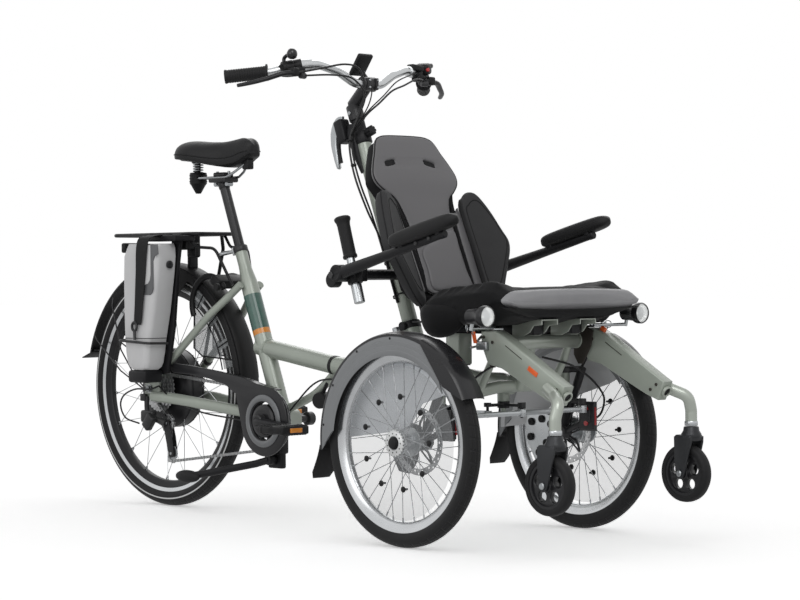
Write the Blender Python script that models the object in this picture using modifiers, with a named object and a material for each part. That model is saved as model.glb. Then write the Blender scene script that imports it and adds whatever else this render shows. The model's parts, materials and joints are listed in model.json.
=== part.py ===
"""Wheelchair bike: a two-wheeled steerable seat chassis in front of a pedal-driven rear wheel.

Metres, +Z up, +X forward, +Y to the rider's left. The ground is z = 0. Lengths along the bike
are written from the front axle, which the root empty carries.
"""
import bmesh
import bpy
from math import atan2, cos, hypot, pi, radians, sin, sqrt
from mathutils import Matrix, Vector

# Driving dimensions: clearances
GAP = 0.0003
RUNNING_GAP = 0.0005
SIDES = (("right", -1.0), ("left", 1.0))

# Driving dimensions: wheels
WHEELBASE = 1.252
TRACK = 0.610
WHEEL_FACETS = 26
PIN_FACETS = 12
REAR_WHEEL_RADIUS = 0.3265
FRONT_WHEEL_RADIUS = 0.2450
REAR_TYRE_WIDTH = 0.047
FRONT_TYRE_WIDTH = 0.042
RIM_DEPTH = 0.024
RIM_WIDTH = 0.030
SPOKE_RADIUS = 0.0011
AXLE_RADIUS = 0.0050
DROPOUT_Y = 0.0700
DROPOUT_THICKNESS = 0.006
MOTOR_RADIUS = 0.110
FRONT_HUB_RADIUS = 0.018
FRONT_FLANGE_RADIUS = 0.033
BRAKE_DISC_RADIUS = 0.080
STUB_RADIUS = 0.0060

# Driving dimensions: rear frame and drive
CRANK_X = -0.772
CRANK_Z = 0.255
CRANK_LENGTH = 0.170
CRANK_ANGLE = radians(-4.0)
SEAT_TUBE_ANGLE = radians(68.9)
SEAT_TUBE_LENGTH = 0.492
SEAT_TUBE_RADIUS = 0.0235
SEAT_COLLAR_RADIUS = 0.0165
SEAT_POST_RADIUS = 0.0136
SEAT_POST_SHOWN = 0.186
SEAT_POST_INSIDE = 0.200
MAIN_TUBE_RADIUS = 0.0240
BRACE_RADIUS = 0.0110
SHELL_RADIUS = 0.0300
SHELL_WIDTH = 0.072
SPINDLE_RADIUS = 0.0100
STAY_RADIUS = 0.0105
CHAIN_Y = -0.0505
CHAIN_WIDTH = 0.0075
CHAIN_HEIGHT = 0.0060
CHAINRING_PITCH = 0.0768
COG_PITCH = 0.0445
PULLEY_PITCH = 0.0220
GUARD_Y = -0.0685
GUARD_THICKNESS = 0.015
GUARD_RADIUS = 0.093
PEDAL_WIDTH = 0.090
PEDAL_LENGTH = 0.095
MAIN_TUBE_Z = 0.383
STAND_X = -0.800
STAND_Z = 0.150
STAND_PIN_RADIUS = 0.0045
STAND_FOOT = Vector((-1.045, -0.100, 0.098))

# Driving dimensions: carrier and battery
CARRIER_Z = 0.750
CARRIER_HALF_WIDTH = 0.070
CARRIER_REAR_X = -1.420
CARRIER_FRONT_X = -1.050
CARRIER_BAR_RADIUS = 0.0050
BATTERY_TOP_Z = 0.722
BATTERY_BOTTOM_Z = 0.382
BATTERY_INNER_Y = -0.0960
BATTERY_DEPTH = 0.070
DECK_X = -1.175
DECK_LENGTH = 0.045
DECK_THICKNESS = 0.004
MUDGUARD_CLEARANCE = 0.0185
MUDGUARD_HALF_WIDTH = 0.031

# Driving dimensions: saddle, placed from the top of its post
SADDLE_RAIL_Y = 0.022
SADDLE_RAIL_RADIUS = 0.0035
SPRING_BEHIND = 0.107
SPRING_SEAT_ABOVE = 0.0305
SPRING_TOP_ABOVE = 0.060
SPRING_TURNS = 3
SPRING_RADIUS = 0.0125
SPRING_WIRE = 0.0020

# Driving dimensions: steering
COLUMN_BASE_X = -0.285
COLUMN_BASE_Z = 0.500
COLUMN_TILT = radians(20.2)
COLUMN_LOWER_LENGTH = 0.430
COLUMN_LENGTH = 0.600
COLUMN_RADIUS = 0.0200
COLUMN_INNER_RADIUS = 0.0155
HEAD_TUBE_RADIUS = 0.0250
HEAD_TUBE_LENGTH = 0.085
BAR_AHEAD = 0.0512
BAR_ABOVE = 0.0559
BAR_RADIUS = 0.0110
GRIP_RADIUS = 0.0165
GRIP_LENGTH = 0.108
CABLE_RADIUS = 0.0025
CABLE_BUNDLE_RADIUS = 0.0038
DRAG_Y = -0.055
DRAG_ARM_T = 0.008
LEVER_WIDTH = 0.012
LEVER_PIN_RADIUS = 0.0030
GRIP_AXIS = Vector((-0.077, 0.074, -0.010)).normalized()
KINGPIN_X = 0.030
KINGPIN_INSET = 0.090
KINGPIN_RADIUS = 0.0080
STEER_ARM = 0.060
TIE_ROD_Z = 0.304
TIE_ROD_RADIUS = 0.0065
BEAM_Z = 0.362
BEAM_HEIGHT = 0.030
BEAM_DEPTH = 0.028
BEAM_X = 0.072

# Driving dimensions: front frame, castors and lamps
CROSS_TUBE_X = 0.130
CROSS_TUBE_Z = 0.475
CROSS_TUBE_RADIUS = 0.0180
ARM_Y = 0.172
ARM_WIDTH = 0.034
ARM_TOP_Z = 0.5055
ARM_TIP = Vector((0.392, 0, 0.359))
ELBOW_RADIUS = 0.0140
CASTOR_X = 0.416
CASTOR_Y = 0.236
CASTOR_TRAIL = 0.016
CASTOR_AXLE_Z = 0.163
CASTOR_TOP_Z = 0.2850
CASTOR_STEM_RADIUS = 0.0070
CASTOR_RADIUS = 0.069
CASTOR_WIDTH = 0.030
FENDER_RADIUS = 0.2525
FENDER_HALF_WIDTH = 0.0360
FENDER_SKIRT_RADIUS = 0.2030
FENDER_SHEET = 0.0030
LAMP_X = 0.2355
LAMP_Y = 0.267
LAMP_Z = 0.539
LAMP_RADIUS = 0.0255

# Driving dimensions: wheelchair seat
RAIL_Y = 0.066
RAIL_TOP_Z = 0.522
RAIL_FRONT_X = 0.238
CUSHION_BOTTOM_Z = 0.5225
CUSHION_HALF_WIDTH = 0.238
CUSHION_FRONT_X = 0.272
CUSHION_REAR_X = -0.105
BACK_TILT = radians(23.7)
BACK_FOOT_X = -0.147
BACK_FOOT_Z = 0.608
BACK_THICKNESS = 0.038
ARMREST_X = -0.285
ARMREST_Y = 0.257
ARMREST_Z = 0.636
ARMREST_LENGTH = 0.385
ARMREST_SLOPE = radians(14.0)
UPRIGHT_Y = 0.085
UPRIGHT_OUT = -0.0560
BACK_BAR_RADIUS = 0.0090
HANDLE_X = -0.258
HANDLE_Y = 0.220
HANDLE_TILT = radians(16.7)
HANDLE_RADIUS = 0.0105
HANDLE_GRIP_RADIUS = 0.0160

# Worked out from the dimensions above
CASTOR_AXLE_X = CASTOR_X - CASTOR_TRAIL
REAR_AXLE_X = -WHEELBASE
WHEEL_Y = TRACK / 2
KINGPIN_Y = WHEEL_Y - KINGPIN_INSET
FLAT = cos(pi / WHEEL_FACETS)
SEAT_TUBE = Vector((-cos(SEAT_TUBE_ANGLE), 0, sin(SEAT_TUBE_ANGLE)))
CRANK_CENTRE = Vector((CRANK_X, 0, CRANK_Z))
REAR_CENTRE = Vector((REAR_AXLE_X, 0, REAR_WHEEL_RADIUS))
COLUMN = Vector((-sin(COLUMN_TILT), 0, cos(COLUMN_TILT)))
COLUMN_BACK = Vector((-cos(COLUMN_TILT), 0, -sin(COLUMN_TILT)))
COLUMN_TURN = Matrix.Rotation(-COLUMN_TILT, 4, "Y")
COLUMN_BASE = Vector((COLUMN_BASE_X, 0, COLUMN_BASE_Z))
BAR_X = COLUMN_BASE.x + COLUMN.x * COLUMN_LENGTH + BAR_AHEAD
BAR_Z = COLUMN_BASE.z + COLUMN.z * COLUMN_LENGTH + BAR_ABOVE
GRIP_CORNER = Vector((BAR_X - 0.064, 0.2615, BAR_Z + 0.0223))
LEVER_ROOT = Vector((BAR_X - 0.011, 0.236, BAR_Z + 0.018))
LEVER_PIVOT = COLUMN_BASE + COLUMN * (COLUMN_LENGTH - 0.0352) + COLUMN_BACK * 0.0394 + Vector((0, -0.020, 0))
HANDLE_AXIS = Vector((-sin(HANDLE_TILT), 0, cos(HANDLE_TILT)))
COLLAR = CRANK_CENTRE + SEAT_TUBE * SEAT_TUBE_LENGTH
POST_TOP = COLLAR + SEAT_TUBE * SEAT_POST_SHOWN
BACK_UP = Vector((-sin(BACK_TILT), 0, cos(BACK_TILT)))
BACK_OUT = Vector((cos(BACK_TILT), 0, sin(BACK_TILT)))
BACK_FOOT = Vector((BACK_FOOT_X, 0, BACK_FOOT_Z))
SADDLE_RAIL_Z = POST_TOP.z + 0.0138
SADDLE_SPRING_TOP = POST_TOP.z + SPRING_TOP_ABOVE
SPRING_X = POST_TOP.x - SPRING_BEHIND
MUDGUARD_RADIUS = REAR_WHEEL_RADIUS + MUDGUARD_CLEARANCE
GUIDE_PULLEY = (REAR_AXLE_X + 0.052, 0.232)
TENSION_PULLEY = (REAR_AXLE_X + 0.072, 0.150)
MAIN_END_X = BEAM_X - BEAM_DEPTH / 2 - GAP
MAIN_ROUTE = [
    (-0.868, 0, 0.4475), (-0.760, 0, 0.432), (-0.570, 0, 0.403), (-0.380, 0, 0.386), (-0.100, 0, MAIN_TUBE_Z),
    (MAIN_END_X - 0.030, 0, MAIN_TUBE_Z - 0.012), (MAIN_END_X, 0, MAIN_TUBE_Z - 0.012)
]
FLAP_TAIL_X = REAR_AXLE_X - REAR_WHEEL_RADIUS - 0.042
FRONT_AXLE_X = -(FLAP_TAIL_X + CASTOR_AXLE_X + CASTOR_RADIUS) / 2


# Scene and finishing helpers
for leftover in list(bpy.data.objects):
    bpy.data.objects.remove(leftover, do_unlink=True)
PARTS = bpy.data.collections.new("wheelchair_bike")
bpy.context.scene.collection.children.link(PARTS)
EMPTY_AT = {}
LOOKS = {
    "sage_paint": ((0.255, 0.290, 0.255), 0.45, 0.3),
    "black_metal": ((0.020, 0.020, 0.022), 0.45, 0.4),
    "black_plastic": ((0.026, 0.026, 0.028), 0.60, 0.0),
    "grey_plastic": ((0.120, 0.122, 0.128), 0.55, 0.0),
    "battery_grey": ((0.380, 0.380, 0.385), 0.45, 0.2),
    "rubber": ((0.030, 0.030, 0.032), 0.85, 0.0),
    "alloy": ((0.600, 0.600, 0.610), 0.30, 1.0),
    "steel": ((0.450, 0.450, 0.460), 0.35, 1.0),
    "soft_black": ((0.022, 0.022, 0.024), 0.80, 0.0),
    "soft_grey": ((0.130, 0.130, 0.133), 0.75, 0.0),
    "lamp": ((0.800, 0.800, 0.800), 0.20, 0.0),
}


def material(look):
    """The Principled material of one finish, made once."""
    if look in bpy.data.materials:
        return bpy.data.materials[look]
    colour, roughness, metallic = LOOKS[look]
    made = bpy.data.materials.new(look)
    made.use_nodes = True
    shader = made.node_tree.nodes["Principled BSDF"]
    shader.inputs["Base Color"].default_value = (*colour, 1.0)
    shader.inputs["Roughness"].default_value = roughness
    shader.inputs["Metallic"].default_value = metallic
    return made


def empty(name, point, parent=None):
    """An empty that stands on a joint's axis and carries the pieces that move about it."""
    point = Vector(point)
    made = bpy.data.objects.new(name, None)
    PARTS.objects.link(made)
    made.parent = parent
    made.location = point - (EMPTY_AT[parent.name] if parent else Vector())
    EMPTY_AT[made.name] = point
    return made


ROOT = empty("front_axle_centre", (0, 0, 0))
ROOT.location = (FRONT_AXLE_X, 0, 0)


def is_one_body(bm):
    """Whether a shape is closed and hangs together."""
    if not all(edge.is_manifold for edge in bm.edges):
        return False
    bm.verts.ensure_lookup_table()
    reached = {bm.verts[0]}
    waiting = [bm.verts[0]]
    while waiting:
        for edge in waiting.pop().link_edges:
            for vert in edge.verts:
                if vert not in reached:
                    reached.add(vert)
                    waiting.append(vert)
    return len(reached) == len(bm.verts)


def join_flat_faces(mesh):
    """Joins the flat faces that the Booleans split, where the skin stays whole."""
    bm = bmesh.new()
    bm.from_mesh(mesh)
    bmesh.ops.dissolve_limit(bm, angle_limit=radians(0.05), verts=bm.verts, edges=bm.edges)
    bmesh.ops.triangulate(bm, faces=[f for f in bm.faces if len(f.verts) > 4])
    if is_one_body(bm):
        bm.to_mesh(mesh)
    bm.free()


def finish(piece, name, look, origin=(0, 0, 0), parent=ROOT):
    """Names a piece, sets its finish and moves its origin to the given point."""
    origin = Vector(origin)
    join_flat_faces(piece.data)
    piece.data.transform(Matrix.Translation(-origin))
    piece.name = name
    piece.data.name = name
    piece.location = origin - EMPTY_AT[parent.name]
    piece.parent = parent
    piece.data.materials.append(material(look))
    piece.data.shade_smooth()
    piece.data.set_sharp_from_angle(angle=radians(35))
    return piece


# Shape helpers: every one returns a closed mesh object in the bike's frame
def linked(data):
    """A new object of the collection that holds a mesh or a curve."""
    made = bpy.data.objects.new("piece", data)
    PARTS.objects.link(made)
    return made


def face_out(bm):
    """Turns every face of a closed shape outward."""
    bmesh.ops.recalc_face_normals(bm, faces=bm.faces)
    if bm.calc_volume(signed=True) < 0:
        bmesh.ops.reverse_faces(bm, faces=bm.faces)


def as_mesh(source):
    """Replaces a curve, or an object with modifiers, by its welded mesh in the bike's frame."""
    bpy.context.view_layer.update()
    graph = bpy.context.evaluated_depsgraph_get()
    mesh = bpy.data.meshes.new_from_object(source.evaluated_get(graph))
    mesh.transform(source.matrix_world)
    bm = bmesh.new()
    bm.from_mesh(mesh)
    bmesh.ops.remove_doubles(bm, verts=bm.verts, dist=0.00002)
    face_out(bm)
    bm.to_mesh(mesh)
    bm.free()
    mesh.materials.clear()
    bpy.data.objects.remove(source)
    return linked(mesh)


def from_bmesh(bm, place):
    """A mesh object from a bmesh that is moved into the bike's frame."""
    bm.transform(place)
    face_out(bm)
    mesh = bpy.data.meshes.new("piece")
    bm.to_mesh(mesh)
    bm.free()
    return linked(mesh)


def turn_to(direction):
    """The rotation that takes +Z to a direction."""
    return Vector(direction).to_track_quat("Z", "Y").to_matrix().to_4x4()


def block(size, centre, turn=Matrix(), bevel=0.0, segments=1):
    """A box, with its edges broken by a bevel where one is given."""
    bm = bmesh.new()
    bmesh.ops.create_cube(bm, size=1.0)
    bmesh.ops.scale(bm, vec=size, verts=bm.verts)
    if bevel:
        bmesh.ops.bevel(bm, geom=bm.edges, offset=bevel, segments=segments, profile=0.5, affect="EDGES")
    return from_bmesh(bm, Matrix.Translation(centre) @ turn)


def rod(start, end, radius, end_radius=None, sides=8):
    """A straight round bar, or a cone, between two points."""
    start = Vector(start)
    end = Vector(end)
    last = radius if end_radius is None else end_radius
    bm = bmesh.new()
    bmesh.ops.create_cone(
        bm, cap_ends=True, segments=sides, radius1=radius, radius2=last, depth=(end - start).length
    )
    return from_bmesh(bm, Matrix.Translation((start + end) / 2) @ turn_to(end - start))


def across(x, z, radius, y_from, y_to, sides=12, end_radius=None):
    """A round bar along the bike's Y axis."""
    return rod((x, y_from, z), (x, y_to, z), radius, end_radius, sides)


def ball(centre, radii, rings=5, sides=8):
    """An ellipsoid with its radii along X, Y and Z."""
    bm = bmesh.new()
    bmesh.ops.create_uvsphere(bm, u_segments=sides, v_segments=rings, radius=1.0)
    bmesh.ops.scale(bm, vec=radii, verts=bm.verts)
    return from_bmesh(bm, Matrix.Translation(centre))


def bent(points, radius, steps=2):
    """The corners of a route rounded by arcs of about the given radius."""
    points = [Vector(p) for p in points]
    route = [points[0]]
    for before, corner, after in zip(points, points[1:], points[2:]):
        back = before - corner
        ahead = after - corner
        half = back.angle(ahead) / 2
        reach = min(radius / max(0.01, abs(sin(half) / cos(half))), 0.45 * back.length, 0.45 * ahead.length)
        first = corner + back.normalized() * reach
        last = corner + ahead.normalized() * reach
        for i in range(steps + 1):
            t = i / steps
            route.append(first * (1 - t) ** 2 + corner * 2 * t * (1 - t) + last * t ** 2)
    route.append(points[-1])
    return route


def smooth(points, steps=5):
    """A smooth curve through the points, as a list of closer points."""
    points = [Vector(p) for p in points]
    padded = [points[0] * 2 - points[1], *points, points[-1] * 2 - points[-2]]
    route = []
    for a, b, c, d in zip(padded, padded[1:], padded[2:], padded[3:]):
        for i in range(steps):
            t = i / steps
            route.append(
                0.5 * (2 * b + (c - a) * t + (2 * a - 5 * b + 4 * c - d) * t ** 2
                       + (3 * b - a - 3 * c + d) * t ** 3)
            )
    route.append(points[-1])
    return route


def tube(points, radius, sides=8, loop=False):
    """A round bar along a route, with closed ends, or a closed ring."""
    curve = bpy.data.curves.new("piece", "CURVE")
    curve.dimensions = "3D"
    curve.bevel_depth = radius
    curve.bevel_resolution = (sides - 4) // 2
    curve.use_fill_caps = True
    spline = curve.splines.new("POLY")
    spline.points.add(len(points) - 1)
    for knot, point in zip(spline.points, points):
        knot.co = (*point, 1.0)
    spline.use_cyclic_u = loop
    return as_mesh(linked(curve))


UPRIGHT = Matrix.Rotation(pi / 2, 4, "X")


def plate(outline, thickness, place, holes=()):
    """A flat piece cut to an outline, centred on the plane of the placing matrix."""
    curve = bpy.data.curves.new("piece", "CURVE")
    curve.dimensions = "2D"
    curve.fill_mode = "BOTH"
    curve.extrude = thickness / 2
    for loop in (outline, *holes):
        spline = curve.splines.new("POLY")
        spline.points.add(len(loop) - 1)
        for knot, point in zip(spline.points, loop):
            knot.co = (point[0], point[1], 0.0, 1.0)
        spline.use_cyclic_u = True
    made = linked(curve)
    made.matrix_world = place
    return as_mesh(made)


def side_plate(outline, thickness, y, holes=()):
    """A flat piece in the XZ plane at a given Y."""
    return plate(outline, thickness, Matrix.Translation((0, y, 0)) @ UPRIGHT, holes)


def circle(x, z, radius, sides=24):
    """The outline of a disc."""
    return [(x + radius * cos(2 * pi * i / sides),
             z + radius * sin(2 * pi * i / sides)) for i in range(sides)]


def arc(x, z, radius, start, end, steps):
    """Points along an arc from one angle to another, in degrees."""
    angles = [radians(start + (end - start) * i / steps) for i in range(steps + 1)]
    return [(x + radius * cos(a), z + radius * sin(a)) for a in angles]


def turned(profile, steps, place, ring=True):
    """A profile of (radius, height) points turned round local Z, down its outer side first."""
    count = len(profile)
    edges = [(i, i + 1) for i in range(count - 1)] + ([(count - 1, 0)] if ring else [])
    mesh = bpy.data.meshes.new("piece")
    mesh.from_pydata([(r, 0, h) for r, h in profile], edges, [])
    made = linked(mesh)
    screw = made.modifiers.new("Turn", "SCREW")
    screw.steps = steps
    screw.render_steps = steps
    screw.use_merge_vertices = True
    screw.merge_threshold = 0.00001
    made.matrix_world = place
    return as_mesh(made)


def on_axle(x, y, z):
    """The placing matrix of a wheel: local Z lies along the bike's Y axis."""
    return Matrix.Translation((x, y, z)) @ Matrix.Rotation(-pi / 2, 4, "X")


def arched_sheet(profile, start, end, steps, thickness, place):
    """A sheet of (radius, height) profile swept round local Z between two angles, then thickened."""
    turn = -end
    mesh = bpy.data.meshes.new("piece")
    mesh.from_pydata(
        [(r * cos(turn), r * sin(turn), h) for r, h in profile],
        [(i, i + 1) for i in range(len(profile) - 1)], []
    )
    made = linked(mesh)
    screw = made.modifiers.new("Sweep", "SCREW")
    screw.angle = end - start
    screw.steps = steps
    screw.render_steps = steps
    solid = made.modifiers.new("Sheet", "SOLIDIFY")
    solid.thickness = thickness
    solid.offset = 0.0
    solid.use_even_offset = True
    made.matrix_world = place
    return as_mesh(made)


def loft(sections, place=Matrix()):
    """A closed skin over sections of equal point counts."""
    bm = bmesh.new()
    rings = [[bm.verts.new(p) for p in section] for section in sections]
    count = len(rings[0])
    for first, second in zip(rings, rings[1:]):
        for i in range(count):
            bm.faces.new((first[i], first[(i + 1) % count], second[(i + 1) % count], second[i]))
    bm.faces.new(rings[0])
    bm.faces.new(rings[-1])
    bmesh.ops.triangulate(bm, faces=[f for f in bm.faces if len(f.verts) > 4])
    return from_bmesh(bm, place)


def combined(base, others, operation):
    """One solid from a base and others by an exact Boolean."""
    for other in others:
        step = base.modifiers.new("Combine", "BOOLEAN")
        step.operation = operation
        step.solver = "EXACT"
        step.object = other
    result = as_mesh(base)
    for other in others:
        bpy.data.objects.remove(other)
    return result


def fused(base, *others):
    """The union of solids that cross each other."""
    return combined(base, others, "UNION")


def cut(base, *cutters):
    """A solid less its cutters."""
    return combined(base, cutters, "DIFFERENCE")


# Wheels
def wheel_ring(radius, width):
    """The tyre and the rim of one wheel as (radius, height) profiles, flats on the ground."""
    minor = width / 2
    centre = radius - minor
    bead = radians(132)
    steps = 7
    tyre = [
        (centre + minor * cos(bead - 2 * bead * i / steps), minor * sin(bead - 2 * bead * i / steps))
        for i in range(steps + 1)
    ]
    seat = centre + minor * cos(bead) - GAP
    half = RIM_WIDTH / 2
    well = seat - RIM_DEPTH
    rim = [
        (seat, half), (seat, -half), (well, -half + 0.008), (well, half - 0.008)
    ]
    return [(r / FLAT, h) for r, h in tyre], [(r / FLAT, h) for r, h in rim], well / FLAT


def spoke_set(x, z, flanges, hub_radius, rim_radius, count, twist):
    """Straight spokes from two flanges to the rim, every second one crossing its neighbour."""
    bm = bmesh.new()
    for i in range(count):
        y = flanges[i % 2]
        middle = (flanges[0] + flanges[1]) / 2
        lean = twist if i % 4 < 2 else -twist
        shift = 0.0006 if i % 4 < 2 else -0.0006
        hub_angle = 2 * pi * i / count
        rim_angle = hub_angle + lean
        start = Vector((x + hub_radius * cos(hub_angle), y + shift, z + hub_radius * sin(hub_angle)))
        end = Vector((
            x + rim_radius * cos(rim_angle), middle + (y - middle) * 0.15 + shift * 0.4,
            z + rim_radius * sin(rim_angle)
        ))
        place = Matrix.Translation((start + end) / 2) @ turn_to(end - start)
        bmesh.ops.create_cone(
            bm, cap_ends=True, segments=3, radius1=SPOKE_RADIUS, radius2=SPOKE_RADIUS,
            depth=(end - start).length, matrix=place
        )
    return from_bmesh(bm, Matrix())


def rear_wheel():
    """The rear tyre, and the motor wheel: rim, spokes and hub motor turning on the fixed axle."""
    x, _, z = REAR_CENTRE
    tyre, rim, well = wheel_ring(REAR_WHEEL_RADIUS, REAR_TYRE_WIDTH)
    place = on_axle(x, 0, z)
    hub = empty("rear_axle_line", REAR_CENTRE, ROOT)
    finish(turned(tyre, WHEEL_FACETS, place), "rear_tyre", "rubber", REAR_CENTRE, hub)
    flange = 0.027
    motor = turned([
        (0.030, 0.056), (0.092, 0.044), (MOTOR_RADIUS, 0.030), (MOTOR_RADIUS, -0.012), (0.080, -0.024),
        (AXLE_RADIUS + RUNNING_GAP, -0.0270), (AXLE_RADIUS + RUNNING_GAP, 0.056)
    ], 14, place)
    spokes = spoke_set(x, z, (flange, -0.008), MOTOR_RADIUS - 0.004, well + 0.003, 14, radians(14))
    wheel = fused(turned(rim, WHEEL_FACETS, place), spokes, motor)
    finish(wheel, "rear_wheel", "black_metal", REAR_CENTRE, hub)
    tooth = COG_PITCH - CHAIN_HEIGHT / 2 - GAP
    guide = CHAIN_WIDTH / 2 + RUNNING_GAP
    cassette = turned([
        (0.062, -0.0290), (0.050, CHAIN_Y + guide), (tooth, CHAIN_Y + guide),
        (tooth, CHAIN_Y - guide), (0.036, CHAIN_Y - guide), (0.024, -0.0580),
        (AXLE_RADIUS + RUNNING_GAP, -0.0580), (AXLE_RADIUS + RUNNING_GAP, -0.0290)
    ], 14, place)
    finish(cassette, "cassette", "steel", REAR_CENTRE, hub)


def front_wheel(label, side, knuckle):
    """One front wheel: its tyre, and its rim, spokes, hub and brake disc on the stub axle."""
    y = side * WHEEL_Y
    centre = (0, y, FRONT_WHEEL_RADIUS)
    tyre, rim, well = wheel_ring(FRONT_WHEEL_RADIUS, FRONT_TYRE_WIDTH)
    place = on_axle(*centre)
    hub_line = empty(f"front_axle_line_{label}", centre, knuckle)
    finish(turned(tyre, WHEEL_FACETS, place), f"front_tyre_{label}", "rubber", centre, hub_line)
    out = side
    bore = STUB_RADIUS + RUNNING_GAP
    profile = [
        (bore, -0.050 * out), (BRAKE_DISC_RADIUS, -0.050 * out), (BRAKE_DISC_RADIUS, -0.0475 * out),
        (0.024, -0.0475 * out), (0.024, -0.0255 * out), (FRONT_FLANGE_RADIUS, -0.0255 * out),
        (FRONT_FLANGE_RADIUS, -0.0215 * out), (FRONT_HUB_RADIUS, -0.019 * out),
        (FRONT_HUB_RADIUS, 0.019 * out), (FRONT_FLANGE_RADIUS, 0.0215 * out),
        (FRONT_FLANGE_RADIUS, 0.0255 * out), (0.0145, 0.0255 * out), (0.0145, 0.036 * out),
        (bore, 0.036 * out)
    ]
    hub = turned(profile, 12, place)
    spokes = spoke_set(
        0, FRONT_WHEEL_RADIUS, (y + 0.0235, y - 0.0235), FRONT_FLANGE_RADIUS - 0.003, well + 0.003,
        10, radians(38)
    )
    wheel = fused(turned(rim, WHEEL_FACETS, place), spokes, hub)
    finish(wheel, f"front_wheel_{label}", "alloy", centre, hub_line)


# Front wheel carriers, steered about the kingpins
def knuckle(label, side):
    """One wheel carrier: kingpin, slanted strut, stub axle, bush plate, brake caliper and steering arm."""
    y = side * KINGPIN_Y
    joint = empty(f"kingpin_line_{label}", (KINGPIN_X, y, BEAM_Z), ROOT)
    axle_z = FRONT_WHEEL_RADIUS
    top = BEAM_Z + 0.030
    bottom = BEAM_Z - 0.030
    hub_y = side * (WHEEL_Y - 0.069)
    root_y = side * (WHEEL_Y - 0.065)
    caliper_y = side * (WHEEL_Y - 0.0595)
    pin = rod((KINGPIN_X, y, bottom - 0.010), (KINGPIN_X, y, top + 0.008), KINGPIN_RADIUS, sides=PIN_FACETS)
    head = rod((KINGPIN_X, y, top), (KINGPIN_X, y, top + 0.012), 0.018, sides=8)
    head_link = rod((KINGPIN_X, y, top + 0.0085), (0.070, hub_y, top + 0.0085), 0.0080, sides=6)
    strut = rod((0.072, hub_y, top + 0.012), (0.004, root_y, axle_z + 0.010), 0.0105, sides=8)
    foot = rod((KINGPIN_X, y, bottom - 0.014), (KINGPIN_X, y, bottom), 0.016, sides=8)
    foot_link = rod((KINGPIN_X, y, bottom - 0.007), (0.006, hub_y, axle_z + 0.012), 0.0090, sides=6)
    boss = across(0, axle_z, 0.021, side * (WHEEL_Y - 0.080), side * (WHEEL_Y - 0.0515), 10)
    stub = across(0, axle_z, STUB_RADIUS, root_y, side * (WHEEL_Y + 0.034))
    arm_tip = (KINGPIN_X + STEER_ARM, y, TIE_ROD_Z + 0.018)
    arm = rod((KINGPIN_X, y, bottom - 0.008), arm_tip, 0.0070, sides=6)
    arm_eye = rod((arm_tip[0], y, TIE_ROD_Z + 0.0100), (arm_tip[0], y, TIE_ROD_Z + 0.026), 0.0100, sides=8)
    arm_pin = rod((arm_tip[0], y, TIE_ROD_Z - 0.012), (arm_tip[0], y, TIE_ROD_Z + 0.015), 0.0035, sides=8)
    bushes = side_plate(
        [(-0.012, 0.278), (-0.060, 0.292), (-0.112, 0.284), (-0.118, 0.224), (-0.085, 0.170),
         (-0.052, 0.166), (-0.014, 0.232)], 0.006, hub_y
    )
    caliper = block((0.048, 0.010, 0.072), (0.082, caliper_y, 0.285))
    caliper_foot = rod((0.064, caliper_y, 0.268), (0.008, root_y, axle_z), 0.0080, sides=6)
    stay = rod((0.060, hub_y, top), (0.075, side * (WHEEL_Y - FENDER_HALF_WIDTH - 0.0037), 0.448), 0.0035,
               sides=4)
    piece = fused(
        boss, pin, head, head_link, strut, foot, foot_link, stub, arm, arm_eye, arm_pin, bushes,
        caliper, caliper_foot, stay
    )
    finish(piece, f"knuckle_{label}", "black_metal", (KINGPIN_X, y, BEAM_Z), joint)
    return joint


def fender(label, side, joint):
    """One front mudguard: a rounded hood with deep side skirts and a rubber flap at its rear end."""
    y = side * WHEEL_Y
    place = on_axle(0, y, FRONT_WHEEL_RADIUS)
    half = FENDER_HALF_WIDTH
    crown = FENDER_RADIUS + 0.005
    shoulder = [(FENDER_SKIRT_RADIUS, half), (FENDER_RADIUS, half - 0.003), (crown, half - 0.020)]
    hood = arched_sheet(
        [(r, -h) for r, h in shoulder] + shoulder[::-1], radians(22), radians(186), 12, FENDER_SHEET, place
    )
    sector = arc(0, FRONT_WHEEL_RADIUS, FENDER_RADIUS - 0.012, 10, 47, 4) + arc(0, FRONT_WHEEL_RADIUS, 0.18,
                                                                                47, 10, 4)
    trim = side_plate(sector, 0.1, y)
    hood = cut(hood, trim)
    tail = radians(186)
    flap_top = Vector((0, y, FRONT_WHEEL_RADIUS)) + Vector((cos(tail), 0,
                                                            sin(tail))) * (FENDER_RADIUS + 0.004)
    flap = block((0.004, 0.052, 0.088), flap_top + Vector((-0.012, 0, -0.028)),
                 Matrix.Rotation(radians(25), 4, "Y"))
    finish(fused(hood, flap), f"fender_{label}", "grey_plastic", (KINGPIN_X, side * KINGPIN_Y, BEAM_Z), joint)


def tie_rod():
    """The straight rod that joins the steering arms of both wheel carriers and the centre arm."""
    x = KINGPIN_X + STEER_ARM
    eye = 0.0090
    bar = rod((x, -KINGPIN_Y, TIE_ROD_Z), (x, KINGPIN_Y, TIE_ROD_Z), TIE_ROD_RADIUS, sides=8)
    ends = [
        rod((x, y, TIE_ROD_Z - eye), (x, y, TIE_ROD_Z + eye), 0.0115, sides=10)
        for y in (-KINGPIN_Y, 0, KINGPIN_Y)
    ]
    piece = fused(bar, *ends)
    holes = [
        rod((x, y, TIE_ROD_Z - 0.030), (x, y, TIE_ROD_Z + 0.030), 0.0035 + RUNNING_GAP, sides=8)
        for y in (-KINGPIN_Y, 0, KINGPIN_Y)
    ]
    joint = empty("tie_rod_line", (x, 0, TIE_ROD_Z), CENTRE_ARM_LINE)
    finish(cut(piece, *holes), "tie_rod", "alloy", (x, 0, TIE_ROD_Z), joint)


CENTRE_ARM_LINE = empty("centre_arm_line", (KINGPIN_X, 0, TIE_ROD_Z), ROOT)


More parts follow.
